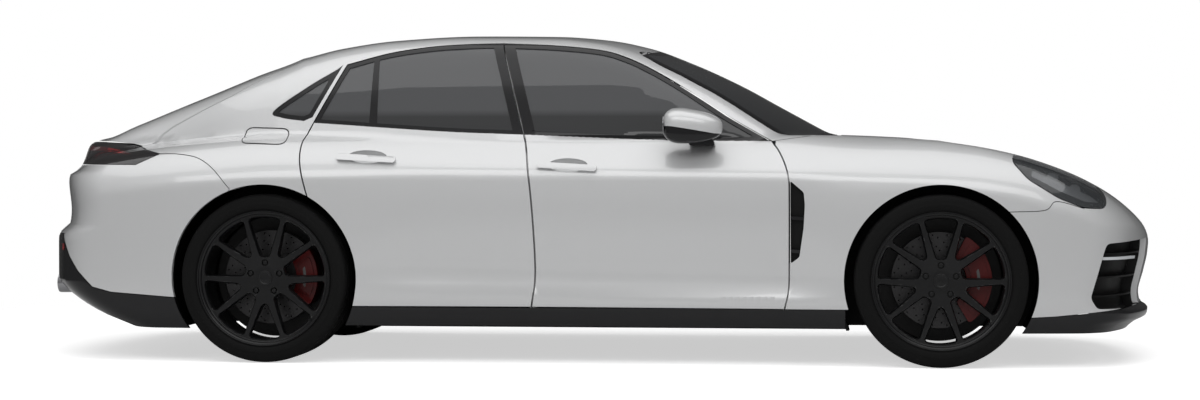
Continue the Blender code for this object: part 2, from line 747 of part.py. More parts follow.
def skin_solid(name, low, high, depth, start=0.0, end=7.0, inset=0.0, collection=cutters, look=None):
    """A slab of the skin from inset to depth under the surface: the right half, or both where end is 7."""
    points, centres = skin_points(low, high, start, end)
    inward = centres - points
    inward /= np.linalg.norm(inward, axis=2)[..., None]
    outer = points + inward * inset
    inner = points + inward * depth
    if end == 7.0:
        flip = np.array((1, -1, 1))
        outer = np.concatenate([outer, outer[:, -2::-1] * flip], axis=1)
        inner = np.concatenate([inner, inner[:, -2::-1] * flip], axis=1)
    return grid_solid(name, outer, inner, collection, look)


def end_solid(name, forward, heights, half_angle, depth, inset=0.0, columns=10, collection=cutters, look=None):
    """A slab of the nose's or tail's skin, from inset to depth, on rays out of the axle's middle."""
    turns = half_angle * np.linspace(-1, 1, columns + 1)
    origin_x = front_axle_x if forward else rear_axle_x
    outer = np.zeros((len(turns), len(heights), 3))
    inner = np.zeros((len(turns), len(heights), 3))
    for row, height in enumerate(heights):
        start = np.tile((origin_x, 0.0, height), (len(turns), 1))
        sign = 1 if forward else -1
        direction = np.stack([sign * np.cos(turns), sign * np.sin(turns), 0 * turns], 1)
        points = reach(start, direction, overall_length / 2)
        outer[:, row] = points - direction * inset
        inner[:, row] = points - direction * depth
    return grid_solid(name, outer, inner, collection, look)


# Values of the panels and what they carry
seam = 0.0006
roof_depth = 0.03
lid_depth = 0.03
lamp_depth = 0.05
bumper_depth = 0.025
cabin_core = 0.4
bumper_half_angle = math.radians(100)
bumper_rows = 6

for old in list(bpy.data.objects):
    bpy.data.objects.remove(old)
bpy.context.scene.collection.children.link(parts)
bpy.context.scene.collection.children.link(cutters)

side_low = -half_width - overrun
side_high = -cabin_core
far_forward = half_length + overrun
far_back = -half_length - overrun
sky = overall_height + overrun
centre_cut = side_line(centre_cut_shares)
front_cut = side_line(front_cut_shares)
front_window = side_line(front_window_shares)
rear_window = side_line(rear_window_shares)
rear_cut = side_line(rear_cut_shares)
belt = side_line(belt_shares)
sill_top = sill_top_share * overall_height
sill_bottom = sill_bottom_share * overall_height
arch_low_x = rear_axle_x + math.sqrt(arch_radius**2 - (tyre_radius - sill_top) ** 2)


def belt_height(x, lift=0.0):
    """Height of the belt line at a place."""
    ordered = sorted(belt)
    return float(np.interp(x, [point[0] for point in ordered], [point[1] for point in ordered])) + lift


def belt_between(first, last, lift=0.0):
    """Points of the belt line between two places, lifted by a distance."""
    return [(x, belt_height(x, lift)) for x in np.linspace(first, last, belt_steps)]


def under_belt(line):
    """The points of a line that lie under the belt."""
    return [point for point in line if point[1] < belt_height(point[0]) - shut_gap]


def over_belt(line):
    """The points of a line that lie over the belt."""
    return [point for point in line if point[1] > belt_height(point[0]) + shut_gap]


def both_sides(line):
    """A closed plan outline from its right half."""
    return [*line, *[(x, -y) for x, y in reversed(line) if y]]


# Side outlines of the doors below the belt, of their glass, and of the whole openings
lift = shut_gap - seat_gap
front_door_outline = [
    *under_belt(front_cut), *reversed(under_belt(centre_cut)),
    *belt_between(centre_cut[2 * outline_steps][0], front_cut[0][0], lift),
]
rear_door_outline = [
    *under_belt(centre_cut), (arch_low_x, centre_cut[-1][1]), (rear_axle_x, centre_cut[-1][1]),
    (rear_axle_x, rear_cut[-1][1]), *reversed(under_belt(rear_cut)),
    *belt_between(rear_cut[outline_steps][0], centre_cut[2 * outline_steps][0], lift),
]
front_glass_outline = [
    *over_belt(front_window), *over_belt(centre_cut)[1:], *belt_between(centre_cut[2 * outline_steps][0], front_cut[0][0]),
]
rear_glass_outline = [
    *over_belt(rear_window), *over_belt(rear_cut)[1:], *belt_between(rear_cut[outline_steps][0], centre_cut[2 * outline_steps][0]),
]
front_opening = [*under_belt(front_cut), *reversed(centre_cut), *reversed(front_window[:-1])]
rear_opening = [
    *centre_cut, (arch_low_x, centre_cut[-1][1]), (rear_axle_x, centre_cut[-1][1]), (rear_axle_x, rear_cut[-1][1]),
    *reversed(rear_cut), *reversed(rear_window[1:-1]),
]
quarter_outline = [*side_line(quarter_glass_shares), *reversed(shifted(over_belt(rear_cut), -division_width))]
fender_region = [
    *reversed(front_cut), *side_line(fender_rear_top_shares), (far_forward, sky), (far_forward, 0),
    (front_cut[-1][0], 0),
]
rear_bumper_cut = side_line(rear_bumper_cut_shares)
tail_lamp_outline = side_line(tail_lamp_shares, 1)
hatch_under_region = [tail_lamp_outline[0], *reversed(tail_lamp_outline[4:]), (far_back, 0), (tail_lamp_outline[0][0], 0)]
rear_bumper_region = [*rear_bumper_cut, *tail_lamp_outline[1:4], *reversed(side_line(rear_valance_shares, 1))]
rear_valance_region = [*side_line(rear_valance_shares, 1), (far_back, 0), (place(-0.3), 0)]
front_bumper_cut = side_line(front_bumper_cut_shares)
front_bumper_region = [
    (place(front_valance_shares[0][0]), front_bumper_cut[0][1]), *front_bumper_cut,
    *side_line(lamp_to_hood_shares, 1), *reversed(side_line(front_valance_shares, 1)),
]
front_valance_region = [*side_line(front_valance_shares, 1), (far_forward, 0), (place(1.2), 0)]
headlamp_outline = side_line(headlamp_shares, 1)
windshield_outline = both_sides(plan_line(windshield_edge_shares))
hood_outline = both_sides(plan_line(hood_edge_shares))
hatch_outline = both_sides(plan_line(hatch_edge_shares, 1))
rear_window_outline = both_sides(plan_line(rear_glass_shares))
cowl_outline = both_sides([*plan_line(hood_edge_shares[:4]), *reversed(plan_line(windshield_edge_shares[:4]))])
roof_outline = both_sides([*plan_line(windshield_edge_shares[-3:])[::-1], *plan_line(hatch_edge_shares[:3])[::-1]])


def side_prism(name, outline, grow=0.0):
    """A cutter across the right side on a side outline."""
    return prism(name, widened(outline, grow), "side", side_low, side_high)


def wide_prism(name, outline, grow=0.0):
    """A cutter across the whole car on a side outline."""
    return prism(name, widened(outline, grow), "side", side_low, -side_low)


def plan_prism(name, outline, grow=0.0):
    """A cutter through the top of the body on a plan outline."""
    return prism(name, widened(outline, grow), "plan", tyre_radius, sky)


front_arch = cylinder(
    "front arch", (front_axle_x, side_low, tyre_radius), (front_axle_x, -well_inner_y, tyre_radius), arch_radius
)
rear_arch = cylinder(
    "rear arch", (rear_axle_x, side_low, tyre_radius), (rear_axle_x, -well_inner_y, tyre_radius), arch_radius
)
far_rear_arch = mirrored(rear_arch, "far rear arch")
far_front_arch = mirrored(front_arch, "far front arch")
liner_radius = arch_radius + liner_clearance
housing_clearance = cylinder(
    "housing clearance", (rear_axle_x, -liner_outer_y - shut_gap, tyre_radius), (rear_axle_x, 0, tyre_radius),
    liner_radius + liner_thickness + shut_gap,
)
for copy in (far_rear_arch, far_front_arch):
    parts.objects.unlink(copy)
    cutters.objects.link(copy)
    copy.hide_render = True
    copy.display_type = "WIRE"


def make_door(name, outline, low, high):
    """A door below the belt: its outer skin, and its deep inner frame set in from the edge."""
    door = skin_solid(name, low, high, skin, 0.0, 5.34, collection=parts, look="paint")
    combine(door, [side_prism(name + " edge", outline, -shut_gap / 2)], "INTERSECT")
    frame = skin_solid(name + " frame", low, high, door_depth, 0.0, 5.34, inset=skin / 2)
    combine(frame, [side_prism(name + " frame edge", outline, -door_flange)], "INTERSECT")
    return combine(door, [frame], "UNION")


door_front = make_door("door_front_right", front_door_outline, centre_cut[0][0], place(0.79))
door_rear = make_door("door_rear_right", rear_door_outline, rear_axle_x, place(0.45))
combine(door_rear, [rear_arch, housing_clearance], "DIFFERENCE")
mirrored(door_front, "door_front_left")
mirrored(door_rear, "door_rear_left")


def make_side_glass(name, outline, low, high):
    """A side window on the glasshouse surface."""
    glass = skin_solid(name, low, high, glass_thickness, 4.0, 6.5, collection=parts, look="glass")
    combine(glass, [side_prism(name + " edge", outline, -shut_gap / 2)], "INTERSECT")
    return glass


glass_front = make_side_glass("door_glass_front_right", front_glass_outline, place(0.33), place(0.80))
glass_rear = make_side_glass("door_glass_rear_right", rear_glass_outline, place(0.02), place(0.40))
quarter_glass = make_side_glass("quarter_glass_right", quarter_outline, place(-0.06), place(0.12))
mirrored(glass_front, "door_glass_front_left")
mirrored(glass_rear, "door_glass_rear_left")
mirrored(quarter_glass, "quarter_glass_left")


def seat_cutter(name, cutter_outline, low, high, depth, start, grow):
    """The recess that a panel or a glass sits in."""
    slab = skin_solid(name, low, high, depth + seat_gap, start, 7.0, inset=-overrun)
    return combine(slab, [plan_prism(name + " edge", cutter_outline, grow)], "INTERSECT")


roof_seat = seat_cutter("roof seat", roof_outline, place(0.0), place(0.62), roof_depth, 5.0, seam)
windshield_seat = seat_cutter(
    "windshield seat", windshield_outline, place(0.50), place(0.88), glass_thickness, 5.0, shut_gap / 2
)
hatch_seat = seat_cutter("hatch seat", hatch_outline, place(-0.97), place(0.08), lid_depth + flange, 4.0, shut_gap)
quarter_seat = skin_solid(
    "quarter glass seat", place(-0.06), place(0.12), glass_thickness + seat_gap, 4.0, 6.5, inset=-overrun
)
combine(quarter_seat, [side_prism("quarter glass seat edge", quarter_outline, seam)], "INTERSECT")

# Body sides: pillars, roof rail, rocker and rear quarter
body_side = skin_solid("body_side_right", place(-0.78), place(0.88), frame_depth, 0.0, 6.6, collection=parts, look="paint")
skirt_cutter = skin_solid("skirt seat", place(-0.02), place(1.02), skin + seat_gap, 0.0, 2.0, inset=-overrun)
combine(skirt_cutter, [side_prism("skirt zone", [
    (rear_axle_x, 0), (front_axle_x, 0), (front_axle_x, sill_top - seat_gap), (rear_axle_x, sill_top - seat_gap),
])], "INTERSECT")
combine(body_side, [
    side_prism("front opening", front_opening, shut_gap / 2),
    side_prism("rear opening", rear_opening, shut_gap / 2),
    side_prism("fender zone", fender_region, seam / 2),
    side_prism("rear bumper zone", rear_bumper_region, seam / 2),
    side_prism("tail lamp zone", tail_lamp_outline, seam / 2),
    side_prism("quarter glass hole", quarter_outline, -flange / 2),
    side_prism("sill underside", [
        (rear_axle_x, 0), (front_axle_x, 0), (front_axle_x, sill_bottom + skin), (rear_axle_x, sill_bottom + skin),
    ]),
    side_prism("rear valance zone", rear_valance_region, seam / 2),
    plan_prism("windshield hole", windshield_outline, -flange),
    plan_prism("roof hole", roof_outline, -flange),
    plan_prism("hatch hole", hatch_outline, -flange),
    plan_prism("hood zone", hood_outline, hood_side_gap),
    quarter_seat, rear_arch, roof_seat, windshield_seat, hatch_seat, skirt_cutter, housing_clearance,
], "DIFFERENCE")


def make_pillar(name, line, low, high, head):
    """A pillar under the body's skin, along the cut that the doors close on, with its head inside the roof rail."""
    pillar = skin_solid(name, low, high, door_depth, 0.0, 6.6, inset=roof_depth + running_gap)
    foot = [(line[-1][0] - pillar_width / 2, sill_bottom), (line[-1][0] + pillar_width / 2, sill_bottom)]
    outline = [*shifted(line, -pillar_width / 2), *foot, *reversed(shifted(line, pillar_width / 2)), *head]
    return combine(pillar, [side_prism(name + " edge", outline)], "INTERSECT")


def surface_y(x, z):
    """Half width of the finished body at a place and a height."""
    ray = reach(np.array((x, 0.0, z)), np.array((0.0, -1.0, 0.0)), body_width)
    return -float(ray[1])


def make_hinge(name, point, along):
    """A hinge barrel on its axis, with the web that carries it on the pillar inboard."""
    along = Vector(along).normalized()
    half = along * hinge_length / 2
    barrel = cylinder(name, Vector(point) - half, Vector(point) + half, hinge_radius, sides=6)
    web_width = hinge_radius * 2 * math.cos(math.radians(45))
    reach_in = door_depth / 2
    frame = bmesh.new()
    lean = Matrix.Shear("XY", 4, (along.x / along.z, 0.0))
    matrix = Matrix.Translation(Vector(point) + Vector((0, reach_in / 2, 0))) @ lean
    matrix = matrix @ Matrix.Diagonal((web_width, reach_in, hinge_length * math.cos(math.radians(30)), 1))
    bmesh.ops.create_cube(frame, size=1, matrix=matrix)
    return [barrel, add(frame, name + " web", cutters)]


hinge_shift = shut_gap / 2 - hinge_radius - seat_gap
front_hinge_x = max(x for x, z in front_cut) - hinge_shift
front_hinge_z = hinge_height_share * overall_height
front_hinge = (front_hinge_x, shut_gap / 2 - surface_y(front_hinge_x, front_hinge_z), front_hinge_z)
hinge_top = Vector((centre_cut[3][0], 0, centre_cut[3][1]))
hinge_foot = Vector((centre_cut[4][0], 0, centre_cut[4][1]))
rear_hinge_axis = (hinge_top - hinge_foot).normalized()
rear_hinge_x = (hinge_top.x + hinge_foot.x) / 2 - hinge_shift
rear_hinge_z = (hinge_top.z + hinge_foot.z) / 2
rear_hinge = (rear_hinge_x, shut_gap / 2 - surface_y(rear_hinge_x, rear_hinge_z), rear_hinge_z)
centre_head = shifted([centre_cut[0]], pillar_width / 2, pillar_width) + shifted([centre_cut[0]], -pillar_width / 2, pillar_width)
pillar = make_pillar("centre pillar", centre_cut, place(0.30), place(0.45), centre_head)
front_head = shifted([front_cut[0]], 3 * pillar_width, pillar_width) + shifted([front_cut[0]], 0.0, 2 * pillar_width)
front_pillar = make_pillar("front pillar", front_cut, place(0.70), place(0.87), front_head)
rocker_inner_y = half_width - frame_depth - rocker_depth
rocker_outer_y = half_width - frame_depth - 3 * skin / 2
rocker = box(
    "rocker", (rear_axle_x + liner_radius + liner_thickness + seam, -rocker_outer_y, sill_bottom + skin),
    (front_hinge_x + pillar_width, -rocker_inner_y, sill_top - flange / 3),
)
combine(body_side, [
    pillar, front_pillar, rocker, *make_hinge("front hinge", front_hinge, (0, 0, 1)),
    *make_hinge("rear hinge", rear_hinge, rear_hinge_axis),
], "UNION")
mirrored(body_side, "body_side_left")

# Fuel flap in its pocket, on the right side only
flap_outline = side_line(fuel_flap_shares, 1)
fuel_flap = skin_solid("fuel_flap", place(-0.16), place(0.05), skin / 2, 3.0, 6.0, collection=parts, look="paint")
combine(fuel_flap, [side_prism("flap edge", flap_outline)], "INTERSECT")
flap_pocket = skin_solid("flap pocket", place(-0.16), place(0.06), fuel_flap_pocket, 3.0, 6.0, inset=-overrun)
combine(flap_pocket, [side_prism("flap pocket edge", flap_outline, shut_gap)], "INTERSECT")
flap_stop_x = sum(x for x, z in flap_outline) / len(flap_outline)
flap_stop_z = sum(z for x, z in flap_outline) / len(flap_outline)
flap_stop = skin_solid("flap stop", place(-0.16), place(0.05), frame_depth / 2, 3.0, 6.0, inset=skin / 2 + seat_gap)
combine(flap_stop, [box(
    "flap stop edge", (flap_stop_x - stop_radius, side_low, flap_stop_z - stop_radius),
    (flap_stop_x + stop_radius, side_high, flap_stop_z + stop_radius),
)], "INTERSECT")
combine(body_side, [flap_pocket], "DIFFERENCE")
combine(body_side, [flap_stop], "UNION")
tidied(body_side)

skirt = skin_solid("skirt_right", place(-0.02), place(1.02), skin, 0.0, 2.0, collection=parts, look="gloss black")
combine(skirt, [side_prism("skirt edge", [
    (arch_low_x + seam, 0), (place(0.862), 0), (place(0.862), sill_top - 2 * seat_gap), (arch_low_x + seam, sill_top - 2 * seat_gap),
])], "INTERSECT")
mirrored(skirt, "skirt_left")

# Roof and fixed glass
roof = skin_solid("roof_panel", place(0.0), place(0.62), roof_depth, 5.0, 7.0, collection=parts, look="paint")
combine(roof, [plan_prism("roof edge", roof_outline)], "INTERSECT")
windshield = skin_solid("windshield", place(0.50), place(0.88), glass_thickness, 5.0, 7.0, collection=parts, look="glass")
combine(windshield, [plan_prism("windshield edge", windshield_outline, -shut_gap / 2)], "INTERSECT")

# Hood, fenders and hatch
hood = skin_solid("hood", place(0.80), place(1.88), lid_depth, 4.5, 7.0, collection=parts, look="paint")
combine(hood, [plan_prism("hood edge", hood_outline, -shut_gap / 2)], "INTERSECT")
fender = skin_solid("fender_right", place(0.76), place(1.78), skin, 0.0, 7.0, collection=parts, look="paint")
combine(fender, [side_prism("fender edge", fender_region, -seam / 2)], "INTERSECT")
combine(fender, [
    side_prism("door opening", front_opening, shut_gap / 2),
    plan_prism("hood opening", hood_outline, hood_side_gap - shut_gap / 2),
    side_prism("front bumper zone", front_bumper_region, seam / 2),
    side_prism("headlamp zone", headlamp_outline, seam / 2),
    side_prism("front valance zone", front_valance_region, seam / 2),
    plan_prism("cowl zone", cowl_outline, seam),
    side_prism("front skirt zone", [
        (front_cut[-1][0] - shut_gap, 0), (front_axle_x, 0), (front_axle_x, sill_top - seat_gap), (front_cut[-1][0] - shut_gap, sill_top - seat_gap),
    ]),
    front_arch,
], "DIFFERENCE")
mirrored(fender, "fender_left")
headlamp = skin_solid("headlamp_right", place(1.26), place(1.80), lamp_depth, 2.0, 6.5, collection=parts, look="lamp")
combine(headlamp, [side_prism("headlamp edge", headlamp_outline, -seam / 2)], "INTERSECT")
combine(headlamp, [plan_prism("lamp hood opening", hood_outline, hood_front_gap - shut_gap / 2)], "DIFFERENCE")
mirrored(headlamp, "headlamp_left")

hatch = skin_solid("hatch", place(-0.862), place(0.08), lid_depth, 4.0, 7.0, collection=parts, look="paint")
combine(hatch, [plan_prism("hatch edge", hatch_outline, -shut_gap / 2)], "INTERSECT")
rear_glass_seat = skin_solid("rear glass seat", place(-0.52), place(0.03), glass_thickness + seat_gap, 4.0, 7.0, inset=-overrun)
combine(rear_glass_seat, [plan_prism("rear glass seat edge", rear_window_outline, seam)], "INTERSECT")
combine(hatch, [
    rear_glass_seat,
    plan_prism("rear glass hole", rear_window_outline, -flange),
    wide_prism("hatch lamp zone", hatch_under_region, shut_gap),
], "DIFFERENCE")
rear_glass = skin_solid("rear_window", place(-0.52), place(0.03), glass_thickness, 4.0, 7.0, collection=parts, look="glass")
combine(rear_glass, [plan_prism("rear glass edge", rear_window_outline)], "INTERSECT")

# Bumpers and lamps that wrap round the ends
def bumper_heights(top_share):
    """Heights of a bumper's rows."""
    return list(np.linspace(bumper_base_share - 0.02, top_share, bumper_rows) * overall_height)


front_bumper = end_solid("front_bumper", True, bumper_heights(0.60), bumper_half_angle, bumper_depth, collection=parts, look="paint")
combine(front_bumper, [wide_prism("front bumper edge", front_bumper_region, -seam / 2)], "INTERSECT")
combine(front_bumper, [
    plan_prism("bumper hood opening", hood_outline, hood_front_gap - shut_gap / 2),
    wide_prism("bumper headlamp zone", headlamp_outline, seam / 2),
    front_arch, far_front_arch,
], "DIFFERENCE")
rear_bumper = end_solid("rear_bumper", False, bumper_heights(0.66), bumper_half_angle, bumper_depth, collection=parts, look="paint")
combine(rear_bumper, [wide_prism("rear bumper edge", rear_bumper_region, -seam / 2)], "INTERSECT")
combine(rear_bumper, [rear_arch, far_rear_arch], "DIFFERENCE")
tail_heights = list(np.linspace(0.57, 0.68, 5) * overall_height)
tail_lamps = end_solid("tail_lamps", False, tail_heights, math.radians(75), lamp_depth, collection=parts, look="tail lamp")
combine(tail_lamps, [wide_prism("tail lamp edge", tail_lamp_outline, -seam / 2)], "INTERSECT")


def valance(name, forward, region, top_share, half_angle):
    """The dark lower skin under a bumper."""
    heights = list(np.linspace(valance_base_share, top_share, 5) * overall_height)
    made = end_solid(name, forward, heights, half_angle, bumper_depth, columns=10, collection=parts, look="gloss black")
    arches = [front_arch, far_front_arch] if forward else [rear_arch, far_rear_arch]
    combine(made, [wide_prism(name + " edge", region, -seam / 2)], "INTERSECT")
    return combine(made, arches, "DIFFERENCE")


splitter = valance("front_splitter", True, front_valance_region, 0.20, math.radians(70))
diffuser = valance("rear_diffuser", False, rear_valance_region, 0.40, math.radians(85))


def front_outline(shares):
    """An outline seen from the front, from (half width share, height share) points."""
    return [(y * half_width, z * overall_height) for y, z in shares]


# Intakes in the front bumper, and the louvred grille behind them
intakes = [
    prism("centre intake", front_outline(centre_intake_shares), "front", front_axle_x, far_forward),
    prism("right intake", front_outline([(-y, z) for y, z in side_intake_shares]), "front", front_axle_x, far_forward),
    prism("left intake", front_outline(side_intake_shares), "front", front_axle_x, far_forward),
]
combine(front_bumper, intakes, "DIFFERENCE")
grille_heights = list(np.linspace(*grille_height_shares, 4) * overall_height)
grille_angle = math.radians(62)
grille = end_solid(
    "front_grille", True, grille_heights, grille_angle, bumper_depth + grille_depth, inset=skin,
    columns=8, collection=parts, look="gloss black",
)
combine(grille, [end_solid(
    "bumper clearance", True, bumper_heights(0.60), bumper_half_angle, bumper_depth + seat_gap, inset=-overrun
)], "DIFFERENCE")
carved = []
for low_share, high_share in zip(louvre_shares, louvre_shares[1:]):
    low_z = low_share * overall_height + louvre_thickness / 2
    high_z = high_share * overall_height - louvre_thickness / 2
    for y_low, y_high in louvre_bay_shares:
        carved.append(box(
            "grille bay", (front_axle_x, y_low * half_width, low_z), (far_forward, y_high * half_width, high_z)
        ))
grille_back = end_solid(
    "grille back", True, grille_heights, grille_angle, overall_length / 8, inset=bumper_depth + grille_depth * louvre_depth_share,
    columns=8,
)
for bay in carved:
    combine(bay, [grille_back], "DIFFERENCE")
combine(grille, carved, "DIFFERENCE")

# Exhaust tips stand out of the rear valance
tips = []
for side in (-1, 1):
    tip_y = side * exhaust_y_share * half_width
    tip_z = exhaust_height_share * overall_height
    tip_x = float(tail_x(tip_y, tip_z))
    tips.append(cylinder(
        "exhaust tip", (tip_x + lamp_depth, tip_y, tip_z), (tip_x - exhaust_length, tip_y, tip_z), exhaust_radius, sides=14
    ))
bores = []
for side in (-1, 1):
    tip_y = side * exhaust_y_share * half_width
    tip_z = exhaust_height_share * overall_height
    tip_x = float(tail_x(tip_y, tip_z))
    bores.append(cylinder(
        "exhaust bore", (tip_x + lamp_depth / 2, tip_y, tip_z), (tip_x - lamp_depth - exhaust_length, tip_y, tip_z),
        exhaust_radius * exhaust_bore_share, sides=14,
    ))
combine(diffuser, tips, "UNION")
combine(diffuser, bores, "DIFFERENCE")
for made in (hood, hatch, front_bumper, rear_bumper, tail_lamps, splitter, diffuser, grille):
    tidied(made)

# Floor with its bulkheads, inner fenders and wheel housings
floor_low = ground_clearance
floor_high = floor_low + floor_thickness
floor_half_width = half_width - frame_depth - rocker_depth - seat_gap
wall_half_width = floor_half_width - bulkhead
well_y = well_inner_y - bulkhead
floor_front_x = place(floor_front_station)
floor_back_x = place(floor_back_station)
firewall_x = place(firewall_station)
seat_wall_x = place(seat_wall_station)
floor_pan = box(
    "floor_pan", (floor_back_x, -floor_half_width, floor_low), (floor_front_x, floor_half_width, floor_high),
    parts, "liner",
)
walls = []
for name, wall_x, top_share in (
    ("radiator wall", floor_front_x, radiator_top_share),
    ("firewall", firewall_x, firewall_top_share),
    ("seat wall", seat_wall_x, seat_wall_top_share),
    ("tail wall", floor_back_x + bulkhead, tail_wall_top_share),
):
    walls.append(box(
        name, (wall_x - bulkhead, -wall_half_width, floor_low + floor_thickness / 2),
        (wall_x, wall_half_width, top_share * overall_height),
    ))
for side in (-1, 1):
    for name, low_x, high_x, top_share in (
        ("inner fender", firewall_x - bulkhead / 2, floor_front_x - bulkhead / 2, rail_top_share),
        ("rear rail", floor_back_x + bulkhead / 2, seat_wall_x - bulkhead / 2, seat_wall_top_share),
    ):
        near = side * (well_y - rail_width)
        far = side * well_y
        walls.append(box(
            name, (low_x, min(near, far), floor_low + floor_thickness / 3), (high_x, max(near, far), top_share * overall_height)
        ))
    for axle_x in (front_axle_x, rear_axle_x):
        housing = cylinder(
            "wheel housing", (axle_x, side * (well_y - rail_width / 3), tyre_radius), (axle_x, side * liner_outer_y, tyre_radius),
            liner_radius + liner_thickness,
        )
        below = box(
            "under housing", (axle_x - wheelbase / 2, -half_width, -wheelbase), (axle_x + wheelbase / 2, half_width, floor_low)
        )
        combine(housing, [below], "DIFFERENCE")
        walls.append(housing)
combine(floor_pan, walls, "UNION")
wells = []
for axle_x in (front_axle_x, rear_axle_x):
    for side in (-1, 1):
        wells.append(cylinder(
            "wheel well", (axle_x, side * well_inner_y, tyre_radius), (axle_x, side * (half_width + overrun), tyre_radius),
            liner_radius,
        ))
arm_low = floor_high + seat_gap
arm_high = arm_low + arm_thickness
for axle_x in (front_axle_x, rear_axle_x):
    wells.append(box(
        "arm slot", (axle_x - arm_width / 2 - running_gap, -well_inner_y - overrun, floor_high),
        (axle_x + arm_width / 2 + running_gap, well_inner_y + overrun, arm_high + running_gap),
    ))
combine(floor_pan, wells, "DIFFERENCE")

# Rubber stops that the hood and the hatch rest on
hood_under = skin_solid("hood underside", place(0.80), place(1.88), lid_depth + seat_gap, 4.5, 7.0, inset=-overrun)
hatch_under = skin_solid("hatch underside", place(-0.862), place(0.08), lid_depth + seat_gap, 4.0, 7.0, inset=-overrun)
stops = []
for name, stop_x, base, share, under in (
    ("hood front stop", floor_front_x - bulkhead / 2, radiator_top_share, front_stop_share, hood_under),
    ("hood rear stop", firewall_x - bulkhead / 2, firewall_top_share, rear_stop_share, hood_under),
    ("hatch stop", floor_back_x + bulkhead / 2, tail_wall_top_share, rear_stop_share, hatch_under),
):
    for side in (-1, 1):
        stop_y = side * share * half_width
        stop_base = base * overall_height - bulkhead
        stop_top = float(reach(np.array((stop_x, stop_y, stop_base)), np.array((0.0, 0.0, 1.0)), overall_height)[2])
        stop = cylinder(name, (stop_x, stop_y, stop_base), (stop_x, stop_y, stop_top + bulkhead), stop_radius, sides=8)
        stops.append(combine(stop, [under], "DIFFERENCE"))
combine(floor_pan, stops, "UNION")
tidied(floor_pan)


def soften(made, width, segments=1):
    """Rounded edges on a finished box or prism."""
    bevel = made.modifiers.new("rounded", "BEVEL")
    bevel.width = width
    bevel.segments = segments
    bevel.limit_method = "ANGLE"
    return made


def seat_outline(front_x, height):
    """Side outline of a seat: cushion, backrest and headrest in one line."""
    floor = floor_high + seat_gap
    return [
        (front_x - u * seat_length, floor + v * seat_height + w * height) for u, v, w in seat_outline_shares
    ]


# Cabin
seat_y = floor_half_width / 2
front_seat_x = place(front_seat_station)
rear_seat_x = seat_wall_x + seat_gap + seat_length * max(u for u, v, w in seat_outline_shares)
rear_bench_half = well_y - rail_width / 3 - running_gap
for side, name in ((-1, "front_seat_right"), (1, "front_seat_left")):
    seat = prism(
        name, seat_outline(front_seat_x, backrest_height), "side", side * seat_y - seat_width / 2,
        side * seat_y + seat_width / 2, parts, "leather",
    )
    soften(seat, cushion_round)
rear_seat = prism(
    "rear_seat", seat_outline(rear_seat_x, backrest_height * rear_backrest_share), "side",
    -rear_bench_half, rear_bench_half, parts, "leather",
)
soften(rear_seat, cushion_round)
dash_front = firewall_x - bulkhead - seat_gap
dash_low = dash_low_share * overall_height
dashboard = prism(
    "dashboard", [(dash_front - u * dash_depth, dash_low + v * dash_height) for u, v in dash_outline_shares], "side",
    -dash_half_width, dash_half_width, parts, "trim",
)
console = box(
    "centre console", (rear_seat_x + 4 * running_gap, -console_width / 2, floor_high + seat_gap),
    (dash_front - dash_depth / 2, console_width / 2, dash_low + console_width / 4),
)
combine(dashboard, [console], "UNION")

# Steering wheel on its column
column_axis = Vector((math.cos(column_rake), 0, -math.sin(column_rake)))
hub_centre = Vector((dash_front - dash_depth - column_outside_dash, seat_y, dash_low + dash_height * hub_height_share))
bpy.ops.mesh.primitive_torus_add(
    major_radius=steering_wheel_radius, minor_radius=steering_wheel_grip, major_segments=16, minor_segments=5
)
grip = bpy.context.object
steering_wheel = add(grip.data.copy(), "steering_wheel", parts, "leather")
bpy.data.objects.remove(grip)
turn = column_axis.to_track_quat("Z", "Y").to_matrix().to_4x4()
steering_wheel.data.transform(Matrix.Translation(hub_centre) @ turn)
side_spoke = Vector((0, steering_wheel_radius, 0))
low_spoke = column_axis.cross(Vector((0, -1, 0))) * steering_wheel_radius
if low_spoke.z > 0:
    low_spoke.negate()
boss = column_axis * 2 * steering_wheel_grip
combine(steering_wheel, [
    cylinder("column", hub_centre, hub_centre + column_axis * column_length_in_cabin, steering_wheel_grip, sides=8),
    cylinder("wheel boss", hub_centre - boss, hub_centre + boss, steering_wheel_radius / 3, sides=12),
    cylinder("side spokes", hub_centre - side_spoke, hub_centre + side_spoke, steering_wheel_grip / 2, sides=6),
    cylinder("low spoke", hub_centre, hub_centre + low_spoke, steering_wheel_grip / 2, sides=6),
], "UNION")
tidied(steering_wheel)
column_seat = cylinder(
    "column seat", hub_centre - boss, hub_centre + column_axis * (column_length_in_cabin + seat_gap),
    steering_wheel_grip + running_gap, sides=10,
)
combine(dashboard, [column_seat], "DIFFERENCE")
tidied(dashboard)
soften(dashboard, cushion_round / 2)

# Engine
engine = box(
    "engine_block", (front_axle_x - engine_length / 2, -engine_width / 2, arm_high + seat_gap),
    (front_axle_x + engine_length / 2, engine_width / 2, arm_high + engine_height), parts, "engine",
)
soften(engine, cushion_round)


# Wheels and tyres. Their flats, and not their corners, lie at the tyre's radius, so that they stand on the floor
facet_growth = 1 / math.cos(math.pi / wheel_sides)


def barrel_profile(width):
    """Rim profile: (place across the wheel, radius), out along the tyre's side and back along the inside."""
    return [((u - 0.5) * width, v * rim_radius * facet_growth) for u, v in rim_profile_shares]


def tyre_profile(width):
    """Tyre profile: (place across the wheel, radius), out along the tread and back along the beads."""
    wall = tyre_radius - rim_radius
    bead = rim_radius + seat_gap
    return [((u - 0.5) * width, facet_growth * (bead + v * (wall - seat_gap))) for u, v in tyre_profile_shares]


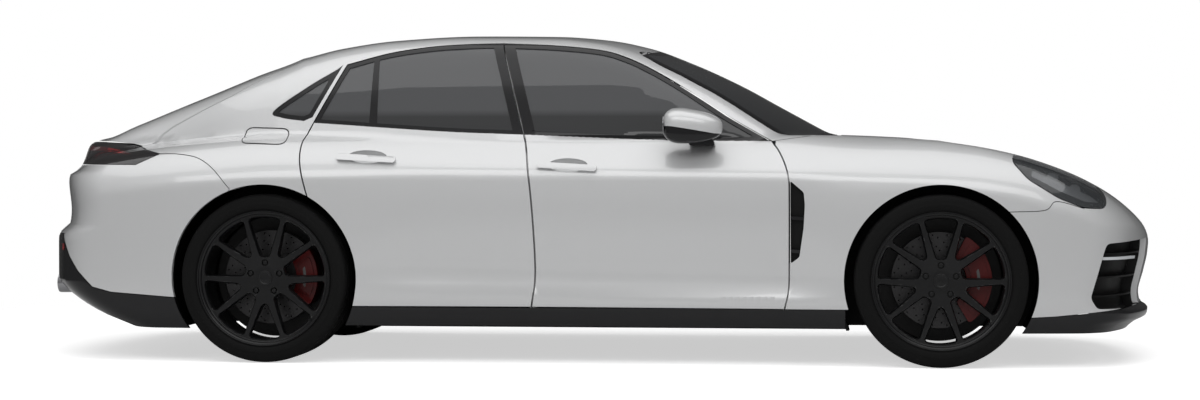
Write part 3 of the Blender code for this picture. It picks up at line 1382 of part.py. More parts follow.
def make_wheel(name, width, inner_y):
    """A rim with five double spokes, a hub and a brake disc, on the right side's axes about its own centre."""
    rim_width = width - rim_inset
    wheel = turned(name, barrel_profile(rim_width), wheel_sides, parts, "wheel")
    face_y = -rim_width / 2 + face_inset
    hub_back = inner_y
    joined = [
        cylinder(name + " hub", (0, face_y, 0), (0, hub_back, 0), hub_radius, sides=14),
        cylinder(name + " disc", (0, hub_back - disc_thickness, 0), (0, hub_back, 0), disc_radius, sides=wheel_sides),
    ]
    for number in range(spoke_pairs):
        root_angle = math.radians(-90) + number * math.tau / spoke_pairs
        for lean in (-1, 1):
            tip_angle = root_angle + lean * math.tau / spoke_pairs / 4
            root = Vector((math.cos(root_angle), 0, math.sin(root_angle))) * hub_radius * spoke_root_share
            tip = Vector((math.cos(tip_angle), 0, math.sin(tip_angle))) * rim_radius * spoke_tip_share
            joined.append(make_spoke(name + " spoke", root, tip, face_y))
    combine(wheel, joined, "UNION")
    return tidied(wheel)


def make_spoke(name, root, tip, face_y):
    """A spoke that narrows toward the rim and dishes inward at the hub."""
    run = tip - root
    across = Vector((-run.z, 0, run.x)).normalized()
    frame = bmesh.new()
    bmesh.ops.create_cube(frame, size=1)
    for vertex in frame.verts:
        outer = vertex.co.x > 0
        half = spoke_width * (spoke_taper_share if outer else 1) / 2
        front = face_y + (0 if outer else spoke_dish)
        depth = spoke_depth * (spoke_taper_share if outer else 1)
        base = tip if outer else root
        middle = base + across * half * (1 if vertex.co.z > 0 else -1)
        vertex.co = middle + Vector((0, front if vertex.co.y < 0 else front + depth, 0))
    face_outward(frame)
    return add(frame, name, cutters)


def moved(made, place_at):
    """A finished piece moved to a place, where its origin then lies."""
    made.location = place_at
    return made


def rehung(made, axis_point):
    """A finished piece with its origin moved onto its joint's axis."""
    settle(made)
    made.data.transform(made.matrix_world)
    made.data.transform(Matrix.Translation(-Vector(axis_point)))
    made.location = axis_point
    return made


disc_inner_y = {True: front_disc_y, False: rear_disc_y}
for forward, axle_x, wheel_y, width in (
    (True, front_axle_x, front_wheel_y, front_tyre_width), (False, rear_axle_x, rear_wheel_y, rear_tyre_width)
):
    end_name = "front" if forward else "rear"
    wheel = make_wheel(f"wheel_{end_name}_right", width, disc_inner_y[forward])
    tyre = turned(f"tyre_{end_name}_right", tyre_profile(width), wheel_sides, parts, "tyre")
    for right_piece, kind in ((wheel, "wheel"), (tyre, "tyre")):
        left_piece = mirrored(right_piece, f"{kind}_{end_name}_left")
        moved(right_piece, (axle_x, -wheel_y, tyre_radius))
        moved(left_piece, (axle_x, wheel_y, tyre_radius))


# Knuckles, calipers and subframes
def make_caliper(name, centre, disc_y):
    """A brake caliper that straddles the disc's front edge, on a bracket from the carrier."""
    caliper = box(
        name, (centre.x + caliper_inner, disc_y - disc_thickness - caliper_width / 2, centre.z - caliper_length / 2),
        (centre.x + caliper_outer, disc_y + caliper_width / 2, centre.z + caliper_length / 2),
    )
    slot = cylinder(
        name + " slot", (centre.x, disc_y - disc_thickness - brake_gap, centre.z), (centre.x, disc_y + brake_gap, centre.z),
        disc_radius + brake_gap, sides=wheel_sides,
    )
    combine(caliper, [slot], "DIFFERENCE")
    bracket = box(
        name + " bracket", (centre.x, disc_y + brake_gap, centre.z - knuckle_radius / 2),
        (centre.x + caliper_inner + knuckle_radius / 2, disc_y + brake_gap + arm_thickness, centre.z + knuckle_radius / 2),
    )
    return [caliper, bracket]


def make_carrier(name, axle_x, wheel_y, disc_y, look):
    """A wheel carrier on the right side, with its spindle, bracket and caliper, and its boss for the arm below."""
    centre = Vector((axle_x, -wheel_y, tyre_radius))
    face_y = centre.y + disc_y
    inner_y = -(wheel_y - kingpin_inset) + knuckle_radius / 2
    carrier = cylinder(
        name, (axle_x, face_y + brake_gap, tyre_radius), (axle_x, inner_y, tyre_radius), knuckle_radius, sides=14,
        collection=parts, look=look,
    )
    joined = [
        cylinder(
            name + " spindle", (axle_x, face_y + seat_gap, tyre_radius), (axle_x, inner_y, tyre_radius), spindle_radius, sides=10
        ),
        cylinder(
            name + " boss", (axle_x, -(wheel_y - kingpin_inset), arm_high + seat_gap), (axle_x, -(wheel_y - kingpin_inset), tyre_radius),
            spindle_radius, sides=10,
        ),
        *make_caliper(name + " caliper", centre, face_y),
    ]
    return combine(carrier, joined, "UNION")


knuckle = make_carrier("knuckle_right", front_axle_x, front_wheel_y, front_disc_y, "caliper")
mirrored(knuckle, "knuckle_left")
rear_carrier = make_carrier("rear_carrier_right", rear_axle_x, rear_wheel_y, rear_disc_y, "caliper")
mirrored(rear_carrier, "rear_carrier_left")


def make_subframe(name, axle_x, wheel_y):
    """A cross member on the floor with an arm to each wheel carrier."""
    subframe = box(
        name, (axle_x - arm_width, -rail_inner_y, arm_low), (axle_x + arm_width, rail_inner_y, arm_high), parts, "steel"
    )
    arms = box(
        name + " arms", (axle_x - arm_width / 2, -(wheel_y - kingpin_inset) - spindle_radius, arm_low),
        (axle_x + arm_width / 2, wheel_y - kingpin_inset + spindle_radius, arm_high),
    )
    return combine(subframe, [arms], "UNION")


rail_inner_y = well_y - rail_width - running_gap
make_subframe("front_subframe", front_axle_x, front_wheel_y)
make_subframe("rear_subframe", rear_axle_x, rear_wheel_y)

# Mirrors on the front doors
mirror_y = -surface_y(mirror_front_x, mirror_base_z) - mirror_reach
mirror_outline = [
    (mirror_front_x - mirror_length * (1 - u), mirror_base_z + v * mirror_height) for u, v in mirror_shares
]
mirror = prism(
    "mirror_right", mirror_outline, "side", mirror_y - mirror_width / 2, mirror_y + mirror_width / 2, parts, "gloss black"
)
soften(mirror, cushion_round)
settle(mirror)
foot = prism(
    "mirror foot", [(mirror_front_x - mirror_length * (1 - u), mirror_base_z + v * mirror_height) for u, v in mirror_foot_shares],
    "side", mirror_y, mirror_y + mirror_width / 2 + mirror_reach,
)
door_clear = skin_solid(
    "mirror seat", centre_cut[0][0], place(0.79), door_depth * 2, 0.0, 5.34, inset=-seat_gap
)
combine(mirror, [foot], "UNION")
glass_clear = skin_solid("mirror glass clearance", place(0.33), place(0.80), door_depth * 2, 4.0, 6.5, inset=-shut_gap)
combine(glass_clear, [side_prism("mirror glass zone", front_glass_outline, 0)], "INTERSECT")
combine(mirror, [door_clear, glass_clear], "DIFFERENCE")
mirrored(mirror, "mirror_left")

# Moving pieces get their origins on their joints' axes
hood_hinge = (place(hood_hinge_station), 0.0, hood_hinge_share * overall_height)
hatch_hinge = (place(hatch_hinge_station), 0.0, hatch_hinge_share * overall_height)
flap_front = max(x for x, z in flap_outline)
flap_hinge_z = sum(z for x, z in flap_outline if x > flap_stop_x) / sum(1 for x, z in flap_outline if x > flap_stop_x)
flap_hinge = (flap_front + shut_gap / 2, -surface_y(flap_front, flap_hinge_z), flap_hinge_z)
knuckle_y = front_wheel_y - kingpin_inset
for names, axis_point in (
    (("door_front_right", "door_glass_front_right", "mirror_right"), front_hinge),
    (("door_rear_right", "door_glass_rear_right"), rear_hinge),
    (("knuckle_right",), (front_axle_x, -knuckle_y, tyre_radius)),
):
    for name in names:
        rehung(parts.objects[name], axis_point)
        rehung(parts.objects[name.replace("_right", "_left")], (axis_point[0], -axis_point[1], axis_point[2]))
rehung(hood, hood_hinge)
rehung(hatch, hatch_hinge)
rehung(rear_glass, hatch_hinge)
rehung(fuel_flap, flap_hinge)
rehung(steering_wheel, hub_centre)
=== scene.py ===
"""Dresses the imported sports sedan: panels, glass, lamps, wheels, brakes, trim, cabin and their finishes."""

import logging
import math
from dataclasses import dataclass
from enum import Enum
from typing import Callable, Iterable, Sequence

import bmesh
import bpy
import numpy as np
from mathutils import Matrix, Vector


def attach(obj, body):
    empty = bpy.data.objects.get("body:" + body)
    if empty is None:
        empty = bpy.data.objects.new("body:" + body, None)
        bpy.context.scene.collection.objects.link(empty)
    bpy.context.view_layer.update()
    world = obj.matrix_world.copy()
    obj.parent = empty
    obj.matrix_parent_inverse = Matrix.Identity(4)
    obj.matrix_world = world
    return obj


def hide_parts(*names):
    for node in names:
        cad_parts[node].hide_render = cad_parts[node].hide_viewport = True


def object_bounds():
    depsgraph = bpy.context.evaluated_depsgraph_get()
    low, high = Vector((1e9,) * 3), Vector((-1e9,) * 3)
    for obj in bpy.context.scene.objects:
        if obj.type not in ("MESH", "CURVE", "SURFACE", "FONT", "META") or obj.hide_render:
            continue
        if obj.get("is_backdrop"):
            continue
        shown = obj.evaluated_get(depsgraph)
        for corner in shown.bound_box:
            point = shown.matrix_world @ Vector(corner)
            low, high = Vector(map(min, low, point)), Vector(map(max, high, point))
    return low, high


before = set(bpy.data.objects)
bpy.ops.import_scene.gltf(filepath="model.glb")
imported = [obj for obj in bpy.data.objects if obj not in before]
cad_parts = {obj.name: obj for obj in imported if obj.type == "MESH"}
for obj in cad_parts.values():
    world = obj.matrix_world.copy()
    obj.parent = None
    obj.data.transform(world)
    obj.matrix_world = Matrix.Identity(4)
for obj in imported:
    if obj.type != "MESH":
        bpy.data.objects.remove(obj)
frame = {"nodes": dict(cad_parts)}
log = logging.getLogger("sedan")
logging.basicConfig(level=logging.INFO, format="%(message)s")

Outline = list[tuple[float, float]]
Shares = Sequence[tuple[float, ...]]
Place = tuple[float, float, float]

# Driving dimensions of the whole car
overall_length = 5.05
body_width = 1.937
overall_height = 1.48
wheelbase = 2.95
front_overhang = 0.974

# Wheels, tyres and brakes
tyre_radius = 0.372
front_tyre_width = 0.262
rear_tyre_width = 0.3
wheel_outset = 0.012
arch_clearance = 0.041
rim_inset = 0.012
face_inset = 0.02

# Sheet and glass
skin = 0.02
door_depth = 0.12
frame_depth = 0.09
glass_thickness = 0.006
shut_gap = 0.008
seat_gap = 0.0003
overrun = 0.05

# Floor and structure
liner_thickness = 0.012
well_inner_y = 0.46
liner_outer_y = 0.82
liner_clearance = 0.035
pillar_width = 0.032
rocker_depth = 0.16
door_flange = 0.036
hood_side_gap = 0.009

# Fuel flap
fuel_flap_pocket = 0.035

half_length = overall_length / 2
half_width = body_width / 2
rear_overhang = overall_length - wheelbase - front_overhang
front_axle_x = half_length - front_overhang
rear_axle_x = front_axle_x - wheelbase
arch_radius = tyre_radius + arch_clearance
front_wheel_y = half_width - wheel_outset - front_tyre_width / 2
rear_wheel_y = half_width - wheel_outset - rear_tyre_width / 2

roof_line_shares = (
    (-1.00, 0.672), (-0.853, 0.679), (-0.702, 0.723), (-0.525, 0.777), (-0.356, 0.828), (-0.179, 0.882),
    (-0.010, 0.929), (0.067, 0.964), (0.159, 0.988), (0.288, 1.0), (0.417, 0.997), (0.495, 0.985),
    (0.559, 0.959), (0.627, 0.909), (0.701, 0.841), (0.766, 0.770), (0.834, 0.696), (0.915, 0.608),
    (1.0, 0.507), (1.5, 0.0), (2.0, -0.5),
)
roof_width_shares = (
    (-1.0, 0.52), (-0.853, 0.56), (-0.525, 0.62), (-0.179, 0.73), (0.0, 0.775), (0.2, 0.82), (0.45, 0.83),
    (0.70, 0.80), (0.834, 0.775), (1.0, 0.70), (2.0, 0.5),
)
deck_line_shares = (
    (-1.0, 0.62), (-0.853, 0.665), (-0.6, 0.69), (-0.35, 0.715), (-0.1, 0.725), (0.1, 0.725), (0.4, 0.70),
    (0.7, 0.69), (0.84, 0.686), (0.952, 0.677), (1.0, 0.668), (1.328, 0.629), (1.564, 0.584), (1.779, 0.520),
    (1.902, 0.466), (1.974, 0.425), (2.08, 0.34),
)
shoulder_line_shares = (
    (-1.0, 0.56), (-0.85, 0.60), (-0.6, 0.632), (-0.4, 0.652), (-0.2, 0.668), (0.0, 0.682), (0.1, 0.685),
    (0.4, 0.68), (0.7, 0.678), (0.84, 0.676), (0.942, 0.668), (1.0, 0.66), (1.184, 0.641), (1.358, 0.616),
    (1.533, 0.578), (1.711, 0.524), (1.841, 0.466), (1.944, 0.405), (2.08, 0.33),
)
plan_width_shares = (
    (-1.05, 0.86), (-0.80, 0.925), (-0.53, 0.972), (-0.27, 0.995), (0.0, 1.0), (0.10, 0.995), (0.27, 0.976),
    (0.48, 0.965), (0.68, 0.967), (0.85, 0.980), (1.0, 0.988), (1.2, 0.986), (1.4, 0.972), (1.6, 0.945),
    (1.8, 0.90), (2.05, 0.80),
)
nose_profile_shares = (
    (0.07, 0.12), (0.10, 0.095), (0.12, 0.06), (0.140, 0.008), (0.158, 0.004), (0.175, 0.035), (0.209, 0.042),
    (0.269, 0.024), (0.323, 0.006), (0.374, 0.0), (0.405, 0.004), (0.440, 0.03), (0.50, 0.11), (0.6, 0.30),
    (0.8, 0.9),
)
tail_profile_shares = (
    (0.07, 0.36), (0.10, 0.298), (0.129, 0.20), (0.173, 0.095), (0.225, 0.012), (0.239, 0.0), (0.302, 0.0),
    (0.362, 0.0), (0.385, 0.012), (0.41, 0.05), (0.45, 0.056), (0.539, 0.045), (0.56, 0.05), (0.578, 0.09),
    (0.60, 0.105), (0.664, 0.13), (0.70, 0.15), (0.8, 0.3),
)

# Insets of the side from its plan width, as shares of the half width, against height shares along the creases
door_inset_shares = (
    (0.08, 0.085), (0.15, 0.036), (0.20, 0.014), (0.235, 0.030), (0.27, 0.036), (0.314, 0.026), (0.40, 0.008),
    (0.486, 0.0), (0.54, 0.003), (0.571, 0.010), (0.608, 0.048), (0.642, 0.090), (0.676, 0.142), (0.75, 0.28),
    (0.90, 0.60),
)
haunch_inset_shares = (
    (0.08, 0.075), (0.15, 0.035), (0.22, 0.016), (0.27, 0.012), (0.40, 0.002), (0.486, 0.0), (0.54, 0.002),
    (0.585, 0.016), (0.62, 0.042), (0.65, 0.082), (0.676, 0.130), (0.71, 0.22), (0.76, 0.37), (0.90, 0.80),
)
fender_inset_shares = (
    (0.08, 0.065), (0.15, 0.026), (0.20, 0.012), (0.27, 0.008), (0.36, 0.003), (0.44, 0.0), (0.50, 0.004),
    (0.54, 0.013), (0.575, 0.036), (0.61, 0.078), (0.645, 0.145), (0.68, 0.26), (0.76, 0.5), (0.90, 0.9),
)
crease_slope_share = 0.027
peak_width_share = 0.74
hood_valley_share = 0.008
shoulder_fall_share = 1.9
nose_sweep_share = 0.308
tail_sweep_share = 0.249
sweep_power = 2.6
belt_share = 0.676
tumblehome = 0.42
tumblehome_bow_share = 0.30
roof_crown_share = 0.085
windshield_bow_share = 0.27
rail_round = 0.10
edge_round = 0.09
cowl_round = 0.02

# Side outlines as (station, height share) points
centre_cut_shares = (
    (0.343, 0.959), (0.365, 0.814), (0.385, 0.677), (0.395, 0.589), (0.402, 0.473), (0.406, 0.338),
    (0.406, 0.238), (0.401, 0.168),
)
front_cut_shares = (
    (0.754, 0.658), (0.765, 0.630), (0.775, 0.587), (0.780, 0.545), (0.781, 0.502), (0.781, 0.301),
    (0.780, 0.223), (0.774, 0.166),
)
front_window_shares = (
    (0.754, 0.658), (0.684, 0.738), (0.621, 0.820), (0.571, 0.878), (0.532, 0.914), (0.494, 0.936),
    (0.425, 0.951), (0.343, 0.959),
)
rear_window_shares = ((0.343, 0.959), (0.288, 0.957), (0.230, 0.949), (0.169, 0.930), (0.104, 0.895))
rear_cut_shares = (
    (0.104, 0.895), (0.061, 0.718), (0.053, 0.678), (0.051, 0.646), (0.055, 0.588), (0.069, 0.486),
    (0.080, 0.43),
)
quarter_glass_shares = ((0.090, 0.882), (0.045, 0.826), (-0.012, 0.752), (0.010, 0.732), (0.045, 0.722))
belt_shares = ((0.754, 0.656), (0.588, 0.660), (0.378, 0.677), (0.258, 0.687), (0.061, 0.714))
fender_rear_top_shares = ((0.83, 0.68), (0.86, 0.72))
rear_bumper_cut_shares = ((-0.130, 0.517), (-0.200, 0.575), (-0.273, 0.609), (-0.36, 0.621), (-0.44, 0.622))
front_bumper_cut_shares = ((1.30, 0.452), (1.448, 0.457), (1.499, 0.482), (1.62, 0.462))
rear_valance_shares = (
    (-0.30, 0.190), (-0.62, 0.207), (-0.70, 0.222), (-0.764, 0.270), (-0.806, 0.314), (-0.85, 0.38),
    (-1.2, 0.38),
)
front_valance_shares = ((1.20, 0.140), (1.50, 0.150), (1.90, 0.176), (2.2, 0.19))
lamp_to_hood_shares = ((1.70, 0.50), (1.70, 0.60), (2.2, 0.60))
headlamp_shares = (
    (1.312, 0.599), (1.36, 0.66), (1.60, 0.66), (1.735, 0.50), (1.729, 0.472), (1.709, 0.461), (1.621, 0.463),
    (1.510, 0.491), (1.377, 0.546),
)
tail_lamp_shares = (
    (-0.44, 0.622), (-0.531, 0.588), (-0.741, 0.590), (-1.1, 0.590), (-1.1, 0.664), (-0.80, 0.664),
    (-0.62, 0.652),
)
sill_top_share = 0.168
sill_bottom_share = 0.112
flange = 0.03
division_width = 0.02
# Plan outlines: (station, width share)
windshield_edge_shares = (
    (0.854, 0.0), (0.84, 0.35), (0.815, 0.60), (0.797, 0.715), (0.70, 0.66), (0.555, 0.535), (0.570, 0.30),
    (0.576, 0.0),
)
hood_edge_shares = (
    (0.861, 0.0), (0.849, 0.35), (0.825, 0.60), (0.815, 0.70), (1.10, 0.735), (1.45, 0.72), (1.60, 0.66),
    (1.72, 0.52), (1.80, 0.3), (1.83, 0.0),
)
hatch_edge_shares = (
    (0.045, 0.0), (0.035, 0.30), (0.010, 0.535), (-0.20, 0.60), (-0.45, 0.61), (-0.70, 0.66), (-0.84, 0.70),
    (-0.95, 0.70), (-0.95, 0.0),
)
rear_glass_shares = (
    (0.012, 0.0), (0.0, 0.30), (-0.02, 0.47), (-0.20, 0.53), (-0.40, 0.53), (-0.455, 0.45), (-0.475, 0.25),
    (-0.48, 0.0),
)
roof_half_width_share = 0.56
# Front and rear details: shares of the half width and of the overall height
centre_intake_shares = (
    (-0.42, 0.175), (0.42, 0.175), (0.46, 0.215), (0.40, 0.262), (-0.40, 0.262), (-0.46, 0.215),
)
fuel_flap_shares = (
    (-0.118, 0.655), (0.020, 0.650), (0.026, 0.662), (0.022, 0.698), (-0.105, 0.702), (-0.122, 0.690),
)


def curve_table(rows: Shares, at: np.ndarray | float) -> np.ndarray:
    """Smooth values read from (place, value) rows at the places in at, with no overshoot between the rows.

    Args:
        rows: (place, value) pairs in rising order.
        at: the places to read at.

    Returns:
        The values.
    """
    places = np.array([row[0] for row in rows], float)
    values = np.array([row[1] for row in rows], float)
    slopes = np.diff(values) / np.diff(places)
    product = slopes[:-1] * slopes[1:]
    total = slopes[:-1] + slopes[1:]
    inner = np.where(product > 0, 2 * product / np.where(total == 0, 1, total), 0)
    tangents = np.concatenate([slopes[:1], inner, slopes[-1:]])
    at = np.clip(np.asarray(at, float), places[0], places[-1])
    index = np.clip(np.searchsorted(places, at, side="right") - 1, 0, len(places) - 2)
    span = places[index + 1] - places[index]
    t = (at - places[index]) / span
    rise = values[index + 1] - values[index]
    start = tangents[index] * span
    end = tangents[index + 1] * span
    return values[index] + t * start + t**2 * (3 * rise - 2 * start - end) + t**3 * (start + end - 2 * rise)


def smooth_max(a: np.ndarray, b: np.ndarray, size: float) -> np.ndarray:
    """The larger of a and b, with the corner between them rounded over size."""
    blend = np.maximum(size - np.abs(a - b), 0) / size
    return np.maximum(a, b) + blend**2 * size / 4


def smooth_step(low: float, high: float, x: np.ndarray | float) -> np.ndarray:
    """0 below low and 1 above high, with an S-curve between."""
    t = np.clip((x - low) / (high - low), 0, 1)
    return t * t * (3 - 2 * t)


def station(x: np.ndarray | float) -> np.ndarray:
    """Station numbers of the places x along the car.

    Args:
        x: places along the car.

    Returns:
        The station numbers.
    """
    behind = (x - rear_axle_x) / rear_overhang
    between = (x - rear_axle_x) / wheelbase
    ahead = 1 + (x - front_axle_x) / front_overhang
    return np.where(x < rear_axle_x, behind, np.where(x > front_axle_x, ahead, between))


def place(number: float) -> float:
    """The place along the car of one station number.

    Args:
        number: the station number.

    Returns:
        The place.
    """
    if number < 0:
        return rear_axle_x + number * rear_overhang
    if number > 1:
        return front_axle_x + (number - 1) * front_overhang
    return rear_axle_x + number * wheelbase


def side_half_width(x: np.ndarray, z: np.ndarray) -> np.ndarray:
    """Half width of the lower body's side at place x and height z.

    Args:
        x: places along the car.
        z: heights.

    Returns:
        The half widths.
    """
    s = station(x)
    level = z / overall_height + crease_slope_share * (s - 0.5) * (s > 0) * (s < 1)
    door = curve_table(door_inset_shares, level)
    fender = curve_table(fender_inset_shares, z / overall_height)
    haunch = curve_table(haunch_inset_shares, z / overall_height)
    ahead = smooth_step(0.76, 0.90, s)
    behind = smooth_step(0.27, 0.08, s)
    inset = door * (1 - ahead) * (1 - behind) + fender * ahead + haunch * behind
    return half_width * (curve_table(plan_width_shares, s) - inset)


def lower_top(x: np.ndarray, y: np.ndarray) -> np.ndarray:
    """Height of the hood, fender tops and rear haunches over the plan.

    Args:
        x: places along the car.
        y: places across the car.

    Returns:
        The heights.
    """
    s = station(x)
    middle = overall_height * curve_table(deck_line_shares, s)
    peak = overall_height * curve_table(shoulder_line_shares, s)
    peak_y = peak_width_share * half_width * curve_table(plan_width_shares, s)
    share = np.minimum(np.abs(y) / peak_y, 1)
    outer = np.maximum(np.abs(y) - peak_y, 0)
    valley = hood_valley_share * overall_height * np.sin(math.pi * share) ** 2 * smooth_step(2.0, 1.2, s)
    return middle + (peak - middle) * share**2 - valley - shoulder_fall_share * outer**2 / half_width


def nose_x(y: np.ndarray, z: np.ndarray) -> np.ndarray:
    """Place of the front face over width and height."""
    sweep = nose_sweep_share * front_overhang * np.abs(y / half_width) ** sweep_power
    return half_length - sweep - front_overhang * curve_table(nose_profile_shares, z / overall_height)


def tail_x(y: np.ndarray, z: np.ndarray) -> np.ndarray:
    """Place of the rear face over width and height."""
    sweep = tail_sweep_share * rear_overhang * np.abs(y / half_width) ** sweep_power
    return -half_length + sweep + rear_overhang * curve_table(tail_profile_shares, z / overall_height)


def cabin_half_width(x: np.ndarray, z: np.ndarray) -> np.ndarray:
    """Half width of the glasshouse at place x and height z.

    Args:
        x: places along the car.
        z: heights.

    Returns:
        The half widths.
    """
    belt = half_width * curve_table(roof_width_shares, station(x))
    rise = np.maximum(z - belt_share * overall_height, 0)
    return belt - tumblehome * rise - tumblehome_bow_share * rise**2 / overall_height


def cabin_top(x: np.ndarray, y: np.ndarray) -> np.ndarray:
    """Height of the windshield, roof and rear window over the plan.

    Args:
        x: places along the car.
        y: places across the car.

    Returns:
        The heights.
    """
    bow = windshield_bow_share * y**2 / half_width
    front = smooth_step(0.35, 0.60, station(x))
    rear = smooth_step(0.25, 0.0, station(x))
    bent = x + bow * front - bow * rear
    return overall_height * (
        curve_table(roof_line_shares, station(bent)) - roof_crown_share * (y / half_width) ** 2
    )


def outside(x: np.ndarray, y: np.ndarray, z: np.ndarray) -> np.ndarray:
    """Below zero inside the body's outer surface and above zero outside it.

    Args:
        x: places along the car.
        y: places across the car.
        z: heights.

    Returns:
        The distances, roughly.
    """
    lower = smooth_max(np.abs(y) - side_half_width(x, z), z - lower_top(x, y), edge_round)
    lower = smooth_max(lower, x - nose_x(y, z), edge_round)
    lower = smooth_max(lower, tail_x(y, z) - x, edge_round)
    cabin = smooth_max(np.abs(y) - cabin_half_width(x, z), z - cabin_top(x, y), rail_round)
    cabin = smooth_max(cabin, tail_x(y, z) - x, cowl_round)
    return -smooth_max(-lower, -cabin, cowl_round)


def reach(start: np.ndarray, direction: np.ndarray, longest: float) -> np.ndarray:
    """Points where rays from start along direction leave the body, found by halving.

    Args:
        start: where the rays start.
        direction: the rays' directions.
        longest: how far a ray goes at most.

    Returns:
        The points.
    """
    near = np.zeros(start.shape[:-1])
    far = np.full(start.shape[:-1], longest)
    for _ in range(26):
        middle = (near + far) / 2
        point = start + direction * middle[..., None]
        beyond = outside(point[..., 0], point[..., 1], point[..., 2]) > 0
        far = np.where(beyond, middle, far)
        near = np.where(beyond, near, middle)
    return start + direction * ((near + far) / 2)[..., None]


# Rows of the slabs' grids, and how outlines are smoothed and widened
rows_between_lines = (1, 1, 1, 2, 2, 2, 3)
middle_row = 7.0
section_row_shares = (0.0, 0.22, 0.44, 0.66, 0.81)
least_row_angle = math.radians(6)
belt_lift = 0.018
outline_steps = 8
belt_steps = 24
longest_spike = 2.5
longest_notch = 40.0

# First and last row of each kind of slab, from the sill's row 0 to row 7 along the middle of the roof
side_rows = (0.0, 6.6)
door_rows = (0.0, 5.34)
skirt_rows = (0.0, 2.0)
vent_rows = (0.5, 4.2)
lamp_rows = (2.0, 6.5)
handle_rows = (2.5, 5.0)
flap_rows = (3.0, 6.0)
glass_rows = (4.0, 6.5)
hatch_rows = (4.0, 7.0)
hood_rows = (4.5, 7.0)
roof_rows = (5.0, 7.0)

# Thicknesses of the panels
sheet = 0.02
seam = 0.0006
roof_depth = 0.03
lid_depth = 0.03
lamp_depth = 0.05
bumper_depth = 0.025
cabin_core = 0.4

# Exhaust tips
tip_y = 0.60 * half_width
tip_z = 0.333


def curved(points: Outline, steps: int = outline_steps) -> Outline:
    """A smooth line through given points, by Catmull-Rom.

    Args:
        points: the given points.
        steps: the steps that make it up.

    Returns:
        The line.
    """
    points = [np.array(point, float) for point in points]
    padded = [2 * points[0] - points[1], *points, 2 * points[-1] - points[-2]]
    line = []
    for a, b, c, d in zip(padded, padded[1:], padded[2:], padded[3:]):
        for step in range(steps):
            t = step / steps
            line.append(
                0.5
                * (2 * b + (c - a) * t + (2 * a - 5 * b + 4 * c - d) * t**2 + (3 * b - a - 3 * c + d) * t**3)
            )
    return [tuple(point) for point in [*line, points[-1]]]


def side_line(shares: Shares, steps: int = outline_steps) -> Outline:
    """A smooth side-view line from (station, height share) points."""
    return curved([(place(s), share * overall_height) for s, share in shares], steps)


def plan_line(shares: Shares, steps: int = outline_steps) -> Outline:
    """A smooth plan-view line on the right side from (station, width share) points."""
    return curved([(place(s), -share * half_width) for s, share in shares], steps)


def levels(low: float, high: float, count: int) -> list[float]:
    """Evenly spaced heights between two height shares."""
    return list(np.linspace(low, high, count) * overall_height)


def shifted(line: Outline, x: float = 0.0, z: float = 0.0) -> Outline:
    """A line moved in its own plane."""
    return [(u + x, v + z) for u, v in line]


def widened(outline: Outline, distance: float) -> Outline:
    """An outline grown outward by a distance, or shrunk, without the loops that sharp turns give.

    Args:
        outline: the outline.
        distance: how far it grows, or shrinks where it is negative.

    Returns:
        The new outline.
    """
    if not distance:
        return outline
    points = np.array(outline)
    run = np.roll(points, -1, axis=0) - points
    ahead = run / np.linalg.norm(run, axis=1)[:, None]
    back = np.roll(ahead, 1, axis=0)
    area = np.sum(points[:, 0] * np.roll(points[:, 1], -1) - np.roll(points[:, 0], -1) * points[:, 1])
    turn = 1 if area > 0 else -1
    normal = turn * np.stack([ahead[:, 1] + back[:, 1], -ahead[:, 0] - back[:, 0]], 1)
    longest = longest_spike if distance > 0 else longest_notch
    width = np.linalg.norm(normal, axis=1)
    normal *= (np.minimum(2 / width, longest) / width)[:, None]
    moved = []
    for point in points + distance * normal:
        along = np.clip(np.sum((point - points) * run, axis=1) / np.sum(run**2, axis=1), 0, 1)
        gap = np.min(np.linalg.norm(point - points - run * along[:, None], axis=1))
        if gap >= abs(distance) * 0.97:
            moved.append(tuple(point))
    return moved


def section_angles(x: float) -> tuple[float, list[float]]:
    """Angles, in a section at x, of the rows that follow the body's lines from the sill to the centreline.

    Args:
        x: the section's place.

    Returns:
        The section's centre height and the angles.
    """
    top = max(float(lower_top(x, 0.0)), float(cabin_top(x, 0.0)))
    centre = top / 2
    s = float(station(x))
    cabin = 1 - float(smooth_step(0.80, 0.92, s))
    shoulder = overall_height * float(curve_table(shoulder_line_shares, s)) + cabin * belt_lift
    sill = sill_bottom_share * overall_height
    angles = []
    for share in section_row_shares:
        height = sill + (shoulder - sill) * share
        angles.append(math.atan2(height - centre, float(side_half_width(x, height))))
    peak_y = peak_width_share * half_width * float(curve_table(plan_width_shares, s))
    belt_y = cabin * float(cabin_half_width(x, belt_share * overall_height)) + (1 - cabin) * peak_y
    angles.append(math.atan2(shoulder - centre, belt_y))
    rail_y = roof_half_width_share * half_width
    rail_z = max(float(lower_top(x, rail_y)), float(cabin_top(x, rail_y)))
    angles.append(max(math.atan2(rail_z - centre, rail_y), angles[-1] + least_row_angle))
    angles.append(math.pi / 2)
    return centre, angles


